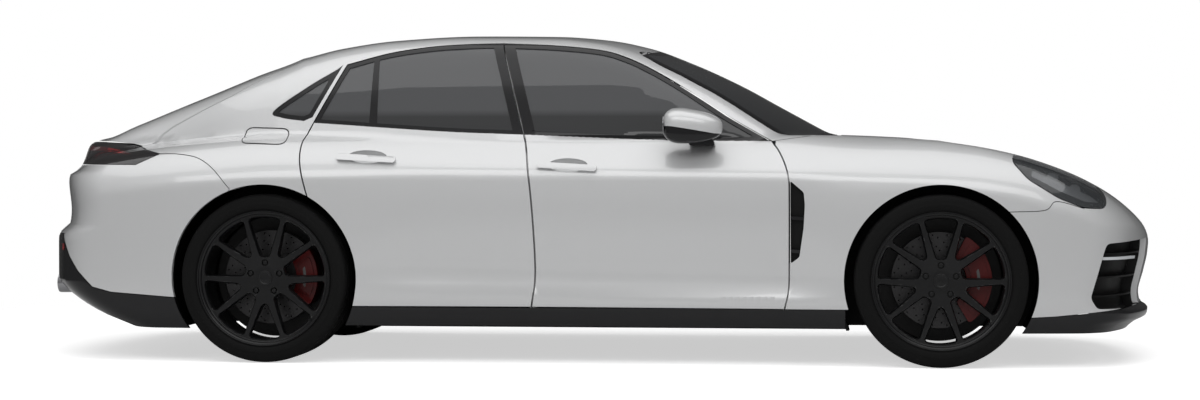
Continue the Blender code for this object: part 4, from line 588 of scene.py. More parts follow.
class Lines:
    """Small closed outlines."""

    @staticmethod
    def oval(
        centre: tuple[float, float], half_span: float, half_height: float, steps: int = 48
    ) -> Outline:
        """An ellipse."""
        turns = np.linspace(0, math.tau, steps, endpoint=False)
        return [
            (centre[0] + half_span * math.cos(t), centre[1] + half_height * math.sin(t)) for t in turns
        ]

    @staticmethod
    def slot(start: tuple[float, float], end: tuple[float, float], radius: float) -> Outline:
        """A bar with round ends.

        Args:
            start: where it starts.
            end: where it ends.
            radius: its radius.

        Returns:
            The outline.
        """
        lean = math.atan2(end[1] - start[1], end[0] - start[0])
        outline = []
        for centre, base in ((end, -math.pi / 2), (start, math.pi / 2)):
            for turn in np.linspace(0, math.pi, 13):
                angle = lean + base + turn
                outline.append((centre[0] + radius * math.cos(angle), centre[1] + radius * math.sin(angle)))
        return outline

    @staticmethod
    def softened(
        points: Outline, corners: Iterable[int], radius: float, share: float = 0.45, steps: int = 6
    ) -> Outline:
        """A polygon with some of its corners rounded.

        Args:
            points: the polygon.
            corners: the numbers of the corners to round.
            radius: how far from its corner a rounding starts.
            share: the largest part of an edge that a rounding may take.
            steps: the pieces of a rounding.

        Returns:
            The outline.
        """
        made = []
        for number, point in enumerate(points):
            if number not in corners:
                made.append(point)
                continue
            here = np.array(point)
            arms = []
            for other in (points[number - 1], points[(number + 1) % len(points)]):
                run = np.array(other) - here
                length = np.linalg.norm(run)
                arms.append(here + run / length * min(radius, length * share))
            for step in range(steps + 1):
                t = step / steps
                made.append(tuple((1 - t) ** 2 * arms[0] + 2 * t * (1 - t) * here + t**2 * arms[1]))
        return made

    @staticmethod
    def rounded(points: Outline, radius: float) -> Outline:
        """A polygon with every corner rounded."""
        return Lines.softened(points, range(len(points)), radius)

    @staticmethod
    def box(left: float, low: float, right: float, high: float) -> Outline:
        """A rectangle between two corners."""
        return [(left, low), (right, low), (right, high), (left, high)]

    @staticmethod
    def front(shares: Shares) -> Outline:
        """An outline seen from the front, from (half width share, height share) points."""
        return [(y * half_width, z * overall_height) for y, z in shares]


# Half angles that the nose's and tail's slabs span, seen from above
bumper_angle = math.radians(100)
intake_angle = math.radians(64)
tail_angle = math.radians(75)
lamp_angle = math.radians(73)

# Places and lines that several pieces share
far_forward = half_length + overrun
far_back = -half_length - overrun
sky = overall_height + overrun
liner_radius = arch_radius + liner_clearance
sill_top = sill_top_share * overall_height
sill_bottom = sill_bottom_share * overall_height
arch_low_x = rear_axle_x + math.sqrt(arch_radius**2 - (tyre_radius - sill_top) ** 2)
centre_cut = side_line(centre_cut_shares)
front_cut = side_line(front_cut_shares)
front_window = side_line(front_window_shares)
rear_window = side_line(rear_window_shares)
rear_cut = side_line(rear_cut_shares)
belt = side_line(belt_shares)


def belt_height(x: float, lift: float = 0.0) -> float:
    """Height of the belt line at a place."""
    ordered = sorted(belt)
    return float(np.interp(x, [point[0] for point in ordered], [point[1] for point in ordered])) + lift


def belt_between(first: float, last: float, lift: float = 0.0) -> Outline:
    """Points of the belt line between two places, lifted by a distance."""
    return [(x, belt_height(x, lift)) for x in np.linspace(first, last, belt_steps)]


def under_belt(line: Outline) -> Outline:
    """The points of a line that lie under the belt."""
    return [point for point in line if point[1] < belt_height(point[0]) - shut_gap]


def over_belt(line: Outline) -> Outline:
    """The points of a line that lie over the belt."""
    return [point for point in line if point[1] > belt_height(point[0]) + shut_gap]


def both_sides(line: Outline) -> Outline:
    """A closed plan outline from its right half."""
    return [*line, *[(x, -y) for x, y in reversed(line) if y]]


# Side outlines of the doors below the belt, of their glass, and of the whole openings
lift = shut_gap - seat_gap
front_door_outline = [
    *under_belt(front_cut), *reversed(under_belt(centre_cut)),
    *belt_between(centre_cut[2 * outline_steps][0], front_cut[0][0], lift),
]
rear_door_outline = [
    *under_belt(centre_cut), (arch_low_x, centre_cut[-1][1]), (rear_axle_x, centre_cut[-1][1]),
    (rear_axle_x, rear_cut[-1][1]), *reversed(under_belt(rear_cut)),
    *belt_between(rear_cut[outline_steps][0], centre_cut[2 * outline_steps][0], lift),
]
front_glass_outline = [
    *over_belt(front_window), *over_belt(centre_cut)[1:],
    *belt_between(centre_cut[2 * outline_steps][0], front_cut[0][0]),
]
rear_glass_outline = [
    *over_belt(rear_window), *over_belt(rear_cut)[1:],
    *belt_between(rear_cut[outline_steps][0], centre_cut[2 * outline_steps][0]),
]
front_opening = [*under_belt(front_cut), *reversed(centre_cut), *reversed(front_window[:-1])]
rear_opening = [
    *centre_cut, (arch_low_x, centre_cut[-1][1]), (rear_axle_x, centre_cut[-1][1]),
    (rear_axle_x, rear_cut[-1][1]),
    *reversed(rear_cut), *reversed(rear_window[1:-1]),
]
quarter_outline = [*side_line(quarter_glass_shares), *reversed(shifted(over_belt(rear_cut), -division_width))]
fender_region = [
    *reversed(front_cut), *side_line(fender_rear_top_shares), (far_forward, sky), (far_forward, 0),
    (front_cut[-1][0], 0),
]
rear_bumper_cut = side_line(rear_bumper_cut_shares)
tail_lamp_outline = side_line(tail_lamp_shares, 1)
hatch_under_region = [
    tail_lamp_outline[0], *reversed(tail_lamp_outline[4:]), (far_back, 0), (tail_lamp_outline[0][0], 0)
]
rear_bumper_region = [*rear_bumper_cut, *tail_lamp_outline[1:4], *reversed(side_line(rear_valance_shares, 1))]
rear_valance_region = [*side_line(rear_valance_shares, 1), (far_back, 0), (place(-0.3), 0)]
front_bumper_cut = side_line(front_bumper_cut_shares)
front_bumper_region = [
    (place(front_valance_shares[0][0]), front_bumper_cut[0][1]), *front_bumper_cut,
    *side_line(lamp_to_hood_shares, 1), *reversed(side_line(front_valance_shares, 1)),
]
front_valance_region = [*side_line(front_valance_shares, 1), (far_forward, 0), (place(1.2), 0)]
headlamp_outline = Lines.rounded(side_line(headlamp_shares, 1), 0.024)
windshield_outline = both_sides(plan_line(windshield_edge_shares))
hood_outline = both_sides(plan_line(hood_edge_shares))
hatch_outline = both_sides(plan_line(hatch_edge_shares, 1))
rear_window_outline = both_sides(plan_line(rear_glass_shares))
cowl_outline = both_sides(
    [*plan_line(hood_edge_shares[:4]), *reversed(plan_line(windshield_edge_shares[:4]))]
)
roof_outline = both_sides(
    [*plan_line(windshield_edge_shares[-3:])[::-1], *plan_line(hatch_edge_shares[:3])[::-1]]
)
flap_outline = Lines.rounded(side_line(fuel_flap_shares, 1), 0.030)
rear_pane_outline = [(x, y * 0.80) for x, y in rear_window_outline]


class Shop:
    """Makes, cuts and finishes meshes."""

    @staticmethod
    def put(mesh: bpy.types.Mesh, name: str) -> bpy.types.Object:
        """Links a mesh as a new object at the origin.

        Args:
            mesh: the mesh.
            name: its name.

        Returns:
            The piece.
        """
        made = bpy.data.objects.new(name, mesh)
        bpy.context.scene.collection.objects.link(made)
        return made

    @staticmethod
    def solid(name: str, points: Iterable, faces: list[tuple[int, ...]], most: int = 0) -> bpy.types.Object:
        """A closed mesh with its faces turned outward.

        Args:
            name: the object's name.
            points: the corners.
            faces: the corner numbers of each face.
            most: the corners that a face keeps; larger faces are split. None is split where it is 0.

        Returns:
            The object.
        """
        mesh = bpy.data.meshes.new(name)
        mesh.from_pydata([tuple(point) for point in points], [], faces)
        piece = Shop.put(mesh, name)
        if most:
            work = bmesh.new()
            work.from_mesh(mesh)
            bmesh.ops.triangulate(work, faces=[face for face in work.faces if len(face.verts) > most])
            work.to_mesh(mesh)
            work.free()
        Shop.outward(piece)
        return piece

    @staticmethod
    def only(piece: bpy.types.Object) -> None:
        """Leaves one object selected and active.

        Args:
            piece: the piece.
        """
        bpy.ops.object.select_all(action="DESELECT")
        piece.select_set(True)
        bpy.context.view_layer.objects.active = piece

    @staticmethod
    def settle(piece: bpy.types.Object) -> bpy.types.Object:
        """Replaces a piece's mesh with the one that its modifiers make.

        Args:
            piece: the piece.

        Returns:
            The piece.
        """
        bpy.context.view_layer.update()
        graph = bpy.context.evaluated_depsgraph_get()
        mesh = bpy.data.meshes.new_from_object(piece.evaluated_get(graph))
        piece.modifiers.clear()
        piece.data = mesh
        return piece

    @staticmethod
    def combine(
        piece: bpy.types.Object, others: Iterable[bpy.types.Object], operation: str
    ) -> bpy.types.Object:
        """Cuts a piece by others, keeps what they share, or joins them, and drops the others.

        Args:
            piece: the mesh to change.
            others: the meshes to use, each once.
            operation: DIFFERENCE, INTERSECT or UNION.

        Returns:
            The changed piece.
        """
        for other in others:
            modifier = piece.modifiers.new("cut", "BOOLEAN")
            modifier.operation = operation
            modifier.solver = "MANIFOLD"
            modifier.object = other
            Shop.settle(piece)
        return piece

    @staticmethod
    def drop(*pieces: bpy.types.Object) -> None:
        """Removes helper objects."""
        for piece in pieces:
            bpy.data.objects.remove(piece)

    @staticmethod
    def largest(piece: bpy.types.Object) -> bpy.types.Object:
        """Keeps the largest shell of a piece.

        Args:
            piece: the piece, which is changed.

        Returns:
            The piece.
        """
        work = bmesh.new()
        work.from_mesh(piece.data)
        left = set(work.verts)
        shells = []
        while left:
            shell = set()
            waiting = [left.pop()]
            while waiting:
                vertex = waiting.pop()
                shell.add(vertex)
                near = {edge.other_vert(vertex) for edge in vertex.link_edges} & left
                left -= near
                waiting.extend(near)
            shells.append(shell)
        shells.sort(key=len)
        for shell in shells[:-1]:
            bmesh.ops.delete(work, geom=list(shell), context="VERTS")
        work.to_mesh(piece.data)
        work.free()
        return piece

    @staticmethod
    def grid(name: str, outer: np.ndarray, inner: np.ndarray) -> bpy.types.Object:
        """A closed slab between two matching grids of points.

        Args:
            name: its name.
            outer: the outer points.
            inner: the inner points.

        Returns:
            The piece.
        """
        columns, rows = outer.shape[:2]
        count = columns * rows
        points = np.concatenate([outer.reshape(-1, 3), inner.reshape(-1, 3)])
        index = np.arange(count).reshape(columns, rows)
        quads = np.stack([index[:-1, :-1], index[1:, :-1], index[1:, 1:], index[:-1, 1:]], -1).reshape(-1, 4)
        faces = [*map(tuple, quads), *map(tuple, quads[:, ::-1] + count)]
        rim = [*index[:, 0], *index[-1, 1:], *index[-2::-1, -1], *index[0, -2:0:-1]]
        for first, second in zip(rim, rim[1:] + rim[:1]):
            faces.append((first, first + count, second + count, second))
        return Shop.solid(name, points, [tuple(int(i) for i in face) for face in faces])

    @staticmethod
    def outward(piece: bpy.types.Object) -> None:
        """Turns the faces of a closed mesh outward.

        Args:
            piece: the piece.
        """
        work = bmesh.new()
        work.from_mesh(piece.data)
        bmesh.ops.recalc_face_normals(work, faces=work.faces[:])
        if work.calc_volume(signed=True) < 0:
            bmesh.ops.reverse_faces(work, faces=work.faces[:])
        work.to_mesh(piece.data)
        work.free()

    @staticmethod
    def prism(name: str, outline: Outline, plane: str, low: float, high: float) -> bpy.types.Object:
        """A straight-sided solid on an outline in the side, plan or front view, between two distances.

        Args:
            name: its name.
            outline: the outline.
            plane: side, plan or front.
            low: the lower bound.
            high: the upper bound.

        Returns:
            The piece.
        """
        points = np.array(outline, float)
        order = {"plan": (0, 1, 2), "side": (0, 2, 1), "front": (2, 0, 1)}[plane]
        layers = []
        for level in (low, high):
            flat = np.column_stack([points, np.full(len(points), level)])
            layers.append(flat[:, order])
        count = len(points)
        faces = [tuple(range(count)), tuple(range(2 * count - 1, count - 1, -1))]
        for first in range(count):
            second = (first + 1) % count
            faces.append((second, first, first + count, second + count))
        return Shop.solid(name, np.concatenate(layers), faces, 4)

    @staticmethod
    def cylinder(
        start: Sequence[float], end: Sequence[float], radius: float, sides: int = 96
    ) -> bpy.types.Object:
        """A cylinder between two points.

        Args:
            start: where it starts.
            end: where it ends.
            radius: its radius.
            sides: how many flat sides it has.

        Returns:
            The piece.
        """
        run = Vector(end) - Vector(start)
        bpy.ops.object.select_all(action="DESELECT")
        bpy.ops.mesh.primitive_cylinder_add(vertices=sides, radius=radius, depth=run.length)
        piece = bpy.context.object
        turn = run.to_track_quat("Z", "Y").to_matrix().to_4x4()
        piece.data.transform(Matrix.Translation((Vector(start) + Vector(end)) / 2) @ turn)
        return piece

    @staticmethod
    def ball(centre: Sequence[float], radii: Sequence[float]) -> bpy.types.Object:
        """An ellipsoid cutter.

        Args:
            centre: its middle.
            radii: its three radii.

        Returns:
            The piece.
        """
        bpy.ops.object.select_all(action="DESELECT")
        bpy.ops.mesh.primitive_uv_sphere_add(segments=128, ring_count=64, radius=1.0)
        piece = bpy.context.object
        piece.data.transform(Matrix.Translation(centre) @ Matrix.Diagonal((*radii, 1.0)))
        return piece

    @staticmethod
    def block(
        name: str, cuts: int, powers: Place, root: float, move: Callable[[float, float, float], Place]
    ) -> bpy.types.Object:
        """A rounded block: a divided cube drawn in to a rounded form, each point of which is then moved.

        Args:
            name: the object's name.
            cuts: the cuts along each edge of the cube.
            powers: how square the form is along each axis.
            root: how square it is as a whole.
            move: gives a point's last place from its place in the form.

        Returns:
            The object.
        """
        mesh = bpy.data.meshes.new(name)
        work = bmesh.new()
        bmesh.ops.create_cube(work, size=2)
        bmesh.ops.subdivide_edges(work, edges=work.edges[:], cuts=cuts, use_grid_fill=True)
        for vertex in work.verts:
            size = sum(abs(at) ** power for at, power in zip(vertex.co, powers)) ** (-1 / root)
            vertex.co = move(*(at * size for at in vertex.co))
        work.to_mesh(mesh)
        work.free()
        piece = Shop.put(mesh, name)
        Shop.outward(piece)
        return piece

    @staticmethod
    def mirrored(piece: bpy.types.Object, name: str) -> bpy.types.Object:
        """The left twin of a finished right-hand piece, with its finishes.

        Args:
            piece: the piece.
            name: the twin's name.

        Returns:
            The piece.
        """
        mesh = piece.data.copy()
        mesh.transform(Matrix.Scale(-1, 4, Vector((0, 1, 0))))
        mesh.flip_normals()
        return Shop.put(mesh, name)

    @staticmethod
    def smooth(piece: bpy.types.Object, angle: float = 32.0) -> bpy.types.Object:
        """Smooth shading with sharp edges kept.

        Args:
            piece: the piece.
            angle: the angle in degrees over which an edge is sharp.

        Returns:
            The piece.
        """
        Shop.only(piece)
        bpy.ops.object.shade_smooth_by_angle(angle=math.radians(angle))
        return piece

    @staticmethod
    def bevel(
        piece: bpy.types.Object, width: float, segments: int = 3, angle: float = 30.0
    ) -> bpy.types.Object:
        """Rounded edges, applied.

        Args:
            piece: the piece.
            width: its width.
            segments: the steps of the rounding.
            angle: the angle in degrees over which an edge is sharp.

        Returns:
            The piece.
        """
        modifier = piece.modifiers.new("rounded", "BEVEL")
        modifier.width = width
        modifier.segments = segments
        modifier.limit_method = "ANGLE"
        modifier.angle_limit = math.radians(angle)
        return Shop.settle(piece)

    @staticmethod
    def join(name: str, pieces: Sequence[bpy.types.Object]) -> bpy.types.Object:
        """Several meshes made one object.

        Args:
            name: its name.
            pieces: the pieces.

        Returns:
            The piece.
        """
        Shop.only(pieces[0])
        for piece in pieces:
            piece.select_set(True)
        if len(pieces) > 1:
            bpy.ops.object.join()
        pieces[0].name = name
        return pieces[0]

    @staticmethod
    def spun(name: str, profile: Sequence[tuple[float, float]], steps: int) -> bpy.types.Object:
        """A ring turned about the Y axis from (place along Y, radius) points.

        Args:
            name: its name.
            profile: the section's points.
            steps: the steps round the axis.

        Returns:
            The piece.
        """
        count = len(profile)
        turns = np.linspace(0, math.tau, steps, endpoint=False)
        points = [
            (radius * math.cos(turn), along, radius * math.sin(turn))
            for turn in turns for along, radius in profile
        ]
        faces = []
        for step in range(steps):
            here = step * count
            there = ((step + 1) % steps) * count
            for first in range(count):
                second = (first + 1) % count
                faces.append((here + first, here + second, there + second, there + first))
        return Shop.solid(name, points, faces)


class Skin:
    """Fine slabs and patches of the body's surface, cut on the same outlines as the solid's panels."""

    def __init__(self) -> None:
        """Sets the outlines and the shared cutters' sizes."""
        self.column = 0.03
        self.finer = 4
        self.gap = 0.0052
        self.seam = 0.0016
        self.low = -half_width - overrun
        self.high = -cabin_core
        self.forward = half_length + overrun
        self.back = -half_length - overrun

    def points(self, low: float, high: float, start: float, end: float) -> tuple[np.ndarray, np.ndarray]:
        """Surface points and their sections' centres between two places, on rows start to end.

        Args:
            low: the lower bound.
            high: the upper bound.
            start: the first row.
            end: the last row.

        Returns:
            The points and the centres.
        """
        columns = max(2, math.ceil((high - low) / self.column)) + 1
        xs = np.linspace(low, high, columns)
        rows = []
        for number, count in enumerate(rows_between_lines):
            rows.extend(number + step / (count * self.finer) for step in range(count * self.finer))
        rows = [start, *[row for row in [*rows, middle_row] if start + 0.01 < row < end - 0.01], end]
        points = np.zeros((columns, len(rows), 3))
        centres = np.zeros((columns, len(rows), 3))
        for column, x in enumerate(xs):
            centre, angles = section_angles(x)
            turn = np.interp(rows, range(8), angles)
            centres[column] = np.tile((x, 0.0, centre), (len(rows), 1))
            direction = np.stack([0 * turn, -np.cos(turn), np.sin(turn)], 1)
            points[column] = direction
        return reach(centres, points, body_width), centres

    def slab(
        self, name: str, low: float, high: float, depth: float, start: float = 0.0, end: float = middle_row,
        inset: float = 0.0, side: Outline | None = None, plan: Outline | None = None, grow: float = 0.0,
    ) -> bpy.types.Object:
        """A slab of the skin from inset to depth under the surface, kept inside an outline if one is given.

        Args:
            name: its name.
            low: the lower bound.
            high: the upper bound.
            depth: how deep it reaches under the surface.
            start: the first row.
            end: the last row.
            inset: how deep under the surface it starts.
            side: the side outline that it is kept inside.
            plan: the plan outline that it is kept inside.
            grow: how far that outline grows.

        Returns:
            The piece.
        """
        points, centres = self.points(low, high, start, end)
        inward = centres - points
        inward /= np.linalg.norm(inward, axis=2)[..., None]
        outer = points + inward * inset
        inner = points + inward * depth
        if end == middle_row:
            flip = np.array((1, -1, 1))
            outer = np.concatenate([outer, outer[:, -2::-1] * flip], axis=1)
            inner = np.concatenate([inner, inner[:, -2::-1] * flip], axis=1)
        return self.inside(Shop.grid(name, outer, inner), self.side(side, grow) if side else None, plan, grow)

    def end_slab(
        self, name: str, forward: bool, heights: Sequence[float], half_angle: float, depth: float,
        inset: float = 0.0, columns: int = 90, side: Outline | None = None, grow: float = 0.0,
    ) -> bpy.types.Object:
        """A slab of the nose's or tail's skin on rays out of the axle's middle.

        Args:
            name: its name.
            forward: the nose rather than the tail.
            heights: the heights of its rows.
            half_angle: half the angle that it spans, seen from above.
            depth: how deep it reaches under the surface.
            inset: how deep under the surface it starts.
            columns: the steps across.
            side: the side outline that it is kept inside.
            grow: how far that outline grows.

        Returns:
            The piece.
        """
        turns = half_angle * np.linspace(-1, 1, columns + 1)
        origin_x = front_axle_x if forward else rear_axle_x
        sign = 1 if forward else -1
        direction = np.stack([sign * np.cos(turns), sign * np.sin(turns), 0 * turns], 1)
        outer = np.zeros((len(turns), len(heights), 3))
        inner = np.zeros((len(turns), len(heights), 3))
        for row, height in enumerate(heights):
            start = np.tile((origin_x, 0.0, height), (len(turns), 1))
            points = reach(start, direction, half_length)
            outer[:, row] = points - direction * inset
            inner[:, row] = points - direction * depth
        return self.inside(Shop.grid(name, outer, inner), self.side(side, grow, True) if side else None)

    def inside(
        self, piece: bpy.types.Object, cutter: bpy.types.Object | None, plan: Outline | None = None,
        grow: float = 0.0
    ) -> bpy.types.Object:
        """What a slab shares with a cutter and with a plan outline, where they are given.

        Args:
            piece: the slab.
            cutter: the cutter, which is dropped.
            plan: the plan outline.
            grow: how far the plan outline grows.

        Returns:
            The piece.
        """
        if cutter:
            self.keep(piece, cutter)
        if plan:
            self.keep(piece, self.plan(plan, grow))
        return piece

    def side(self, outline: Outline, grow: float = 0.0, both: bool = False) -> bpy.types.Object:
        """A cutter across the right side, or both, on a side outline."""
        return Shop.prism(
            "side cutter", widened(outline, grow), "side", self.low, -self.low if both else self.high
        )

    def plan(self, outline: Outline, grow: float = 0.0) -> bpy.types.Object:
        """A cutter through the top of the body on a plan outline."""
        return Shop.prism(
            "plan cutter", widened(outline, grow), "plan", tyre_radius, overall_height + overrun
        )

    def keep(self, piece: bpy.types.Object, *cutters: bpy.types.Object) -> bpy.types.Object:
        """What a piece shares with each cutter.

        Args:
            piece: the piece.
            cutters: the cutters, which are dropped.

        Returns:
            The piece.
        """
        Shop.combine(piece, cutters, "INTERSECT")
        Shop.drop(*cutters)
        return piece

    def cut(self, piece: bpy.types.Object, *cutters: bpy.types.Object) -> bpy.types.Object:
        """A piece less each cutter.

        Args:
            piece: the piece.
            cutters: the cutters, which are dropped.

        Returns:
            The piece.
        """
        Shop.combine(piece, cutters, "DIFFERENCE")
        Shop.drop(*cutters)
        return piece

    @staticmethod
    def shade(piece: bpy.types.Object, near: float = 1.0) -> bpy.types.Object:
        """Shades the faces that lie along the body's surface, within a distance of it, with its own slope.

        Args:
            piece: the piece.
            near: how close to the surface a point has to be.

        Returns:
            The piece.
        """
        Shop.smooth(piece)
        mesh = piece.data
        count = len(mesh.loops)
        where = np.zeros(len(mesh.vertices) * 3)
        mesh.vertices.foreach_get("co", where)
        where = where.reshape(-1, 3)
        step = 0.0015
        slope = np.zeros_like(where)
        for axis in range(3):
            shift = np.zeros(3)
            shift[axis] = step
            ahead = where + shift
            behind = where - shift
            slope[:, axis] = outside(ahead[:, 0], ahead[:, 1], ahead[:, 2]) - outside(
                behind[:, 0], behind[:, 1], behind[:, 2]
            )
        slope /= np.maximum(np.linalg.norm(slope, axis=1), 1e-9)[:, None]
        corners = np.zeros(count * 3)
        mesh.corner_normals.foreach_get("vector", corners)
        corners = corners.reshape(-1, 3)
        index = np.zeros(count, dtype=np.int64)
        mesh.loops.foreach_get("vertex_index", index)
        owner = np.zeros(len(mesh.polygons), dtype=np.int64)
        mesh.polygons.foreach_get("loop_total", owner)
        faces = np.zeros(len(mesh.polygons) * 3)
        mesh.polygons.foreach_get("normal", faces)
        faces = np.repeat(faces.reshape(-1, 3), owner, axis=0)
        agree = np.sum(faces * slope[index], axis=1)
        agree[np.abs(outside(where[:, 0], where[:, 1], where[:, 2]))[index] > near] = 0.0
        normals = np.where((agree > 0.93)[:, None], slope[index], corners)
        normals = np.where((agree < -0.93)[:, None], -slope[index], normals)
        mesh.normals_split_custom_set([tuple(normal) for normal in normals])
        return piece


class Value:
    """A shader socket that takes part in sums."""

    def __init__(self, tree: "Tree", socket: bpy.types.NodeSocket) -> None:
        """Wraps a socket of a tree."""
        self.tree = tree
        self.socket = socket

    def _sum(self, operation: str, other: "Value | float") -> "Value":
        """A math node of this value and another."""
        return self.tree.node("ShaderNodeMath", {0: self, 1: other}, operation=operation)

    def __add__(self, other: "Value | float") -> "Value":
        """This value and another, added."""
        return self._sum("ADD", other)

    def __mul__(self, other: "Value | float") -> "Value":
        """This value times another."""
        return self._sum("MULTIPLY", other)

    __radd__ = __add__
    __rmul__ = __mul__


class Tree:
    """The nodes of one finish or of the world."""

    def __init__(self, owner: bpy.types.Material | bpy.types.World) -> None:
        """Empties the node tree of a new material or world.

        Args:
            owner: the material or world.
        """
        owner.use_nodes = True
        self.owner = owner
        self.nodes = owner.node_tree.nodes
        self.links = owner.node_tree.links
        self.nodes.clear()

    def node(self, kind: str, inputs: dict | None = None, out: int | str = 0, **settings: object) -> Value:
        """Makes a node and wires or sets its inputs.

        Args:
            kind: the node's type.
            inputs: values or constants by input name or number.
            out: the output to hand back.
            settings: the node's own settings.

        Returns:
            The chosen output.
        """
        made = self.nodes.new(kind)
        for name, setting in settings.items():
            setattr(made, name, setting)
        for name, given in (inputs or {}).items():
            if isinstance(given, Value):
                self.links.new(given.socket, made.inputs[name])
            else:
                made.inputs[name].default_value = given
        return Value(self, made.outputs[out])

    def mixed(
        self, factor: Value, low: Sequence[float], high: Sequence[float], stop: float = 1.0
    ) -> Value:
        """A colour between two, by a factor.

        Args:
            factor: the factor.
            low: the colour at 0.
            high: the colour at the stop.
            stop: the factor that gives the second colour.

        Returns:
            The colour.
        """
        ramp = self.nodes.new("ShaderNodeValToRGB")
        first, second = ramp.color_ramp.elements
        first.color, second.color, second.position = (*low, 1), (*high, 1), stop
        self.links.new(factor.socket, ramp.inputs[0])
        return Value(self, ramp.outputs[0])

    def close(self, shader: Value) -> bpy.types.Material | bpy.types.World:
        """Wires the shader to the output.

        Args:
            shader: the shader.

        Returns:
            The material or world.
        """
        kind = "World" if isinstance(self.owner, bpy.types.World) else "Material"
        out = self.nodes.new("ShaderNodeOutput" + kind)
        self.links.new(shader.socket, out.inputs["Surface"])
        return self.owner


class Grain(Enum):
    """What breaks up a finish."""

    PEEL = "peel"
    CAST = "cast"
    HIDE = "hide"
    RINGS = "rings"


@dataclass(frozen=True)
class Finish:
    """A finish by its colour, its sheen and what breaks it up."""

    name: str
    colour: tuple[float, float, float]
    roughness: float
    grain: Grain = Grain.PEEL
    metallic: float = 0.0
    coat: float = 0.0
    alpha: float = 1.0
    glow: float = 0.0
    spread: float = 0.06
    bump: float = 0.02
    shine: float = 0.5

    def pattern(self, tree: Tree) -> tuple[Value, Value]:
        """The slow and the fine variation of this finish.

        Args:
            tree: the finish's nodes.

        Returns:
            The slow and the fine variation.
        """
        where = tree.node("ShaderNodeTexCoord", out="Object")
        slow = tree.node("ShaderNodeTexNoise", {"Vector": where, "Scale": 4.0, "Detail": 4.0})
        if self.grain is Grain.HIDE:
            fine = tree.node("ShaderNodeTexVoronoi", {"Vector": where, "Scale": 320.0})
        elif self.grain is Grain.CAST:
            fine = tree.node("ShaderNodeTexNoise", {"Vector": where, "Scale": 420.0, "Detail": 3.0})
        elif self.grain is Grain.RINGS:
            radius = tree.node("ShaderNodeAttribute", out="Fac", attribute_name="radius")
            fine = tree.node("ShaderNodeMath", {0: radius * 2400.0}, operation="SINE")
        else:
            fine = tree.node("ShaderNodeTexNoise", {"Vector": where, "Scale": 900.0, "Detail": 2.0})
        return slow, fine

    def make(self) -> bpy.types.Material:
        """Builds the material.

        Returns:
            The material.
        """
        tree = Tree(bpy.data.materials.new(self.name))
        slow, fine = self.pattern(tree)
        low = [channel * (1 - self.spread) for channel in self.colour]
        high = [min(channel * (1 + self.spread), 1.0) for channel in self.colour]
        inputs = {
            "Base Color": tree.mixed(slow, low, high),
            "Roughness": slow * (self.roughness * 0.25) + self.roughness * 0.875,
            "Metallic": self.metallic,
            "Coat Weight": self.coat,
            "Coat Roughness": 0.03,
            "Specular IOR Level": self.shine,
            "Normal": tree.node("ShaderNodeBump", {"Height": fine, "Strength": self.bump, "Distance": 0.001}),
        }
        if self.alpha < 1:
            inputs["Alpha"] = slow * 0.04 + (self.alpha - 0.02)
        if self.glow:
            inputs["Emission Color"] = (*self.colour, 1)
            inputs["Emission Strength"] = self.glow
        return tree.close(tree.node("ShaderNodeBsdfPrincipled", inputs))


@dataclass(frozen=True)
class Paint(Finish):
    """Clear-coated body paint with fine metal flake."""

    def pattern(self, tree: Tree) -> tuple[Value, Value]:
        """Flakes for the colour, and orange peel for the clear coat.

        Args:
            tree: the finish's nodes.

        Returns:
            The slow and the fine variation.
        """
        where = tree.node("ShaderNodeTexCoord", out="Object")
        flake = tree.node("ShaderNodeTexVoronoi", {"Vector": where, "Scale": 1800.0}, out="Color")
        grey = tree.node("ShaderNodeSeparateColor", {"Color": flake})
        peel = tree.node("ShaderNodeTexNoise", {"Vector": where, "Scale": 240.0, "Detail": 1.0})
        return grey, peel


@dataclass(frozen=True)
class GlassWithPaintedReflection(Finish):
    """Tinted glass with a painted reflection: its colour darkens toward its lower edge, standing for a dark
    horizon reflected in it.
    """

    # Heights over which the painted reflection fades from dark into the glass's own colour
    low: float = 0.93
    high: float = 1.30

    def make(self) -> bpy.types.Material:
        """Builds the material.

        Returns:
            The material.
        """
        tree = Tree(bpy.data.materials.new(self.name))
        where = tree.node("ShaderNodeTexCoord", out="Object")
        height = tree.node("ShaderNodeSeparateXYZ", {"Vector": where}, out="Z")
        rise = tree.node("ShaderNodeMapRange", {"Value": height, "From Min": self.low, "From Max": self.high})
        haze = tree.node("ShaderNodeTexNoise", {"Vector": where, "Scale": 3.0})
        # Painted reflection: the colour is darkened toward the lower edge for a reflected dark horizon, and
        # the glass is made more opaque there with it
        deep = [channel * 0.35 for channel in self.colour]
        return tree.close(tree.node("ShaderNodeBsdfPrincipled", {
            "Base Color": tree.mixed(rise, deep, self.colour),
            "Roughness": haze * 0.02 + self.roughness,
            "Alpha": tree.node("ShaderNodeMapRange", {
                "Value": rise, "To Min": min(self.alpha + 0.12, 1.0), "To Max": self.alpha,
            }),
            "Coat Weight": 0.35,
            "Coat Roughness": 0.01,
            "Specular IOR Level": 0.4,
        }))


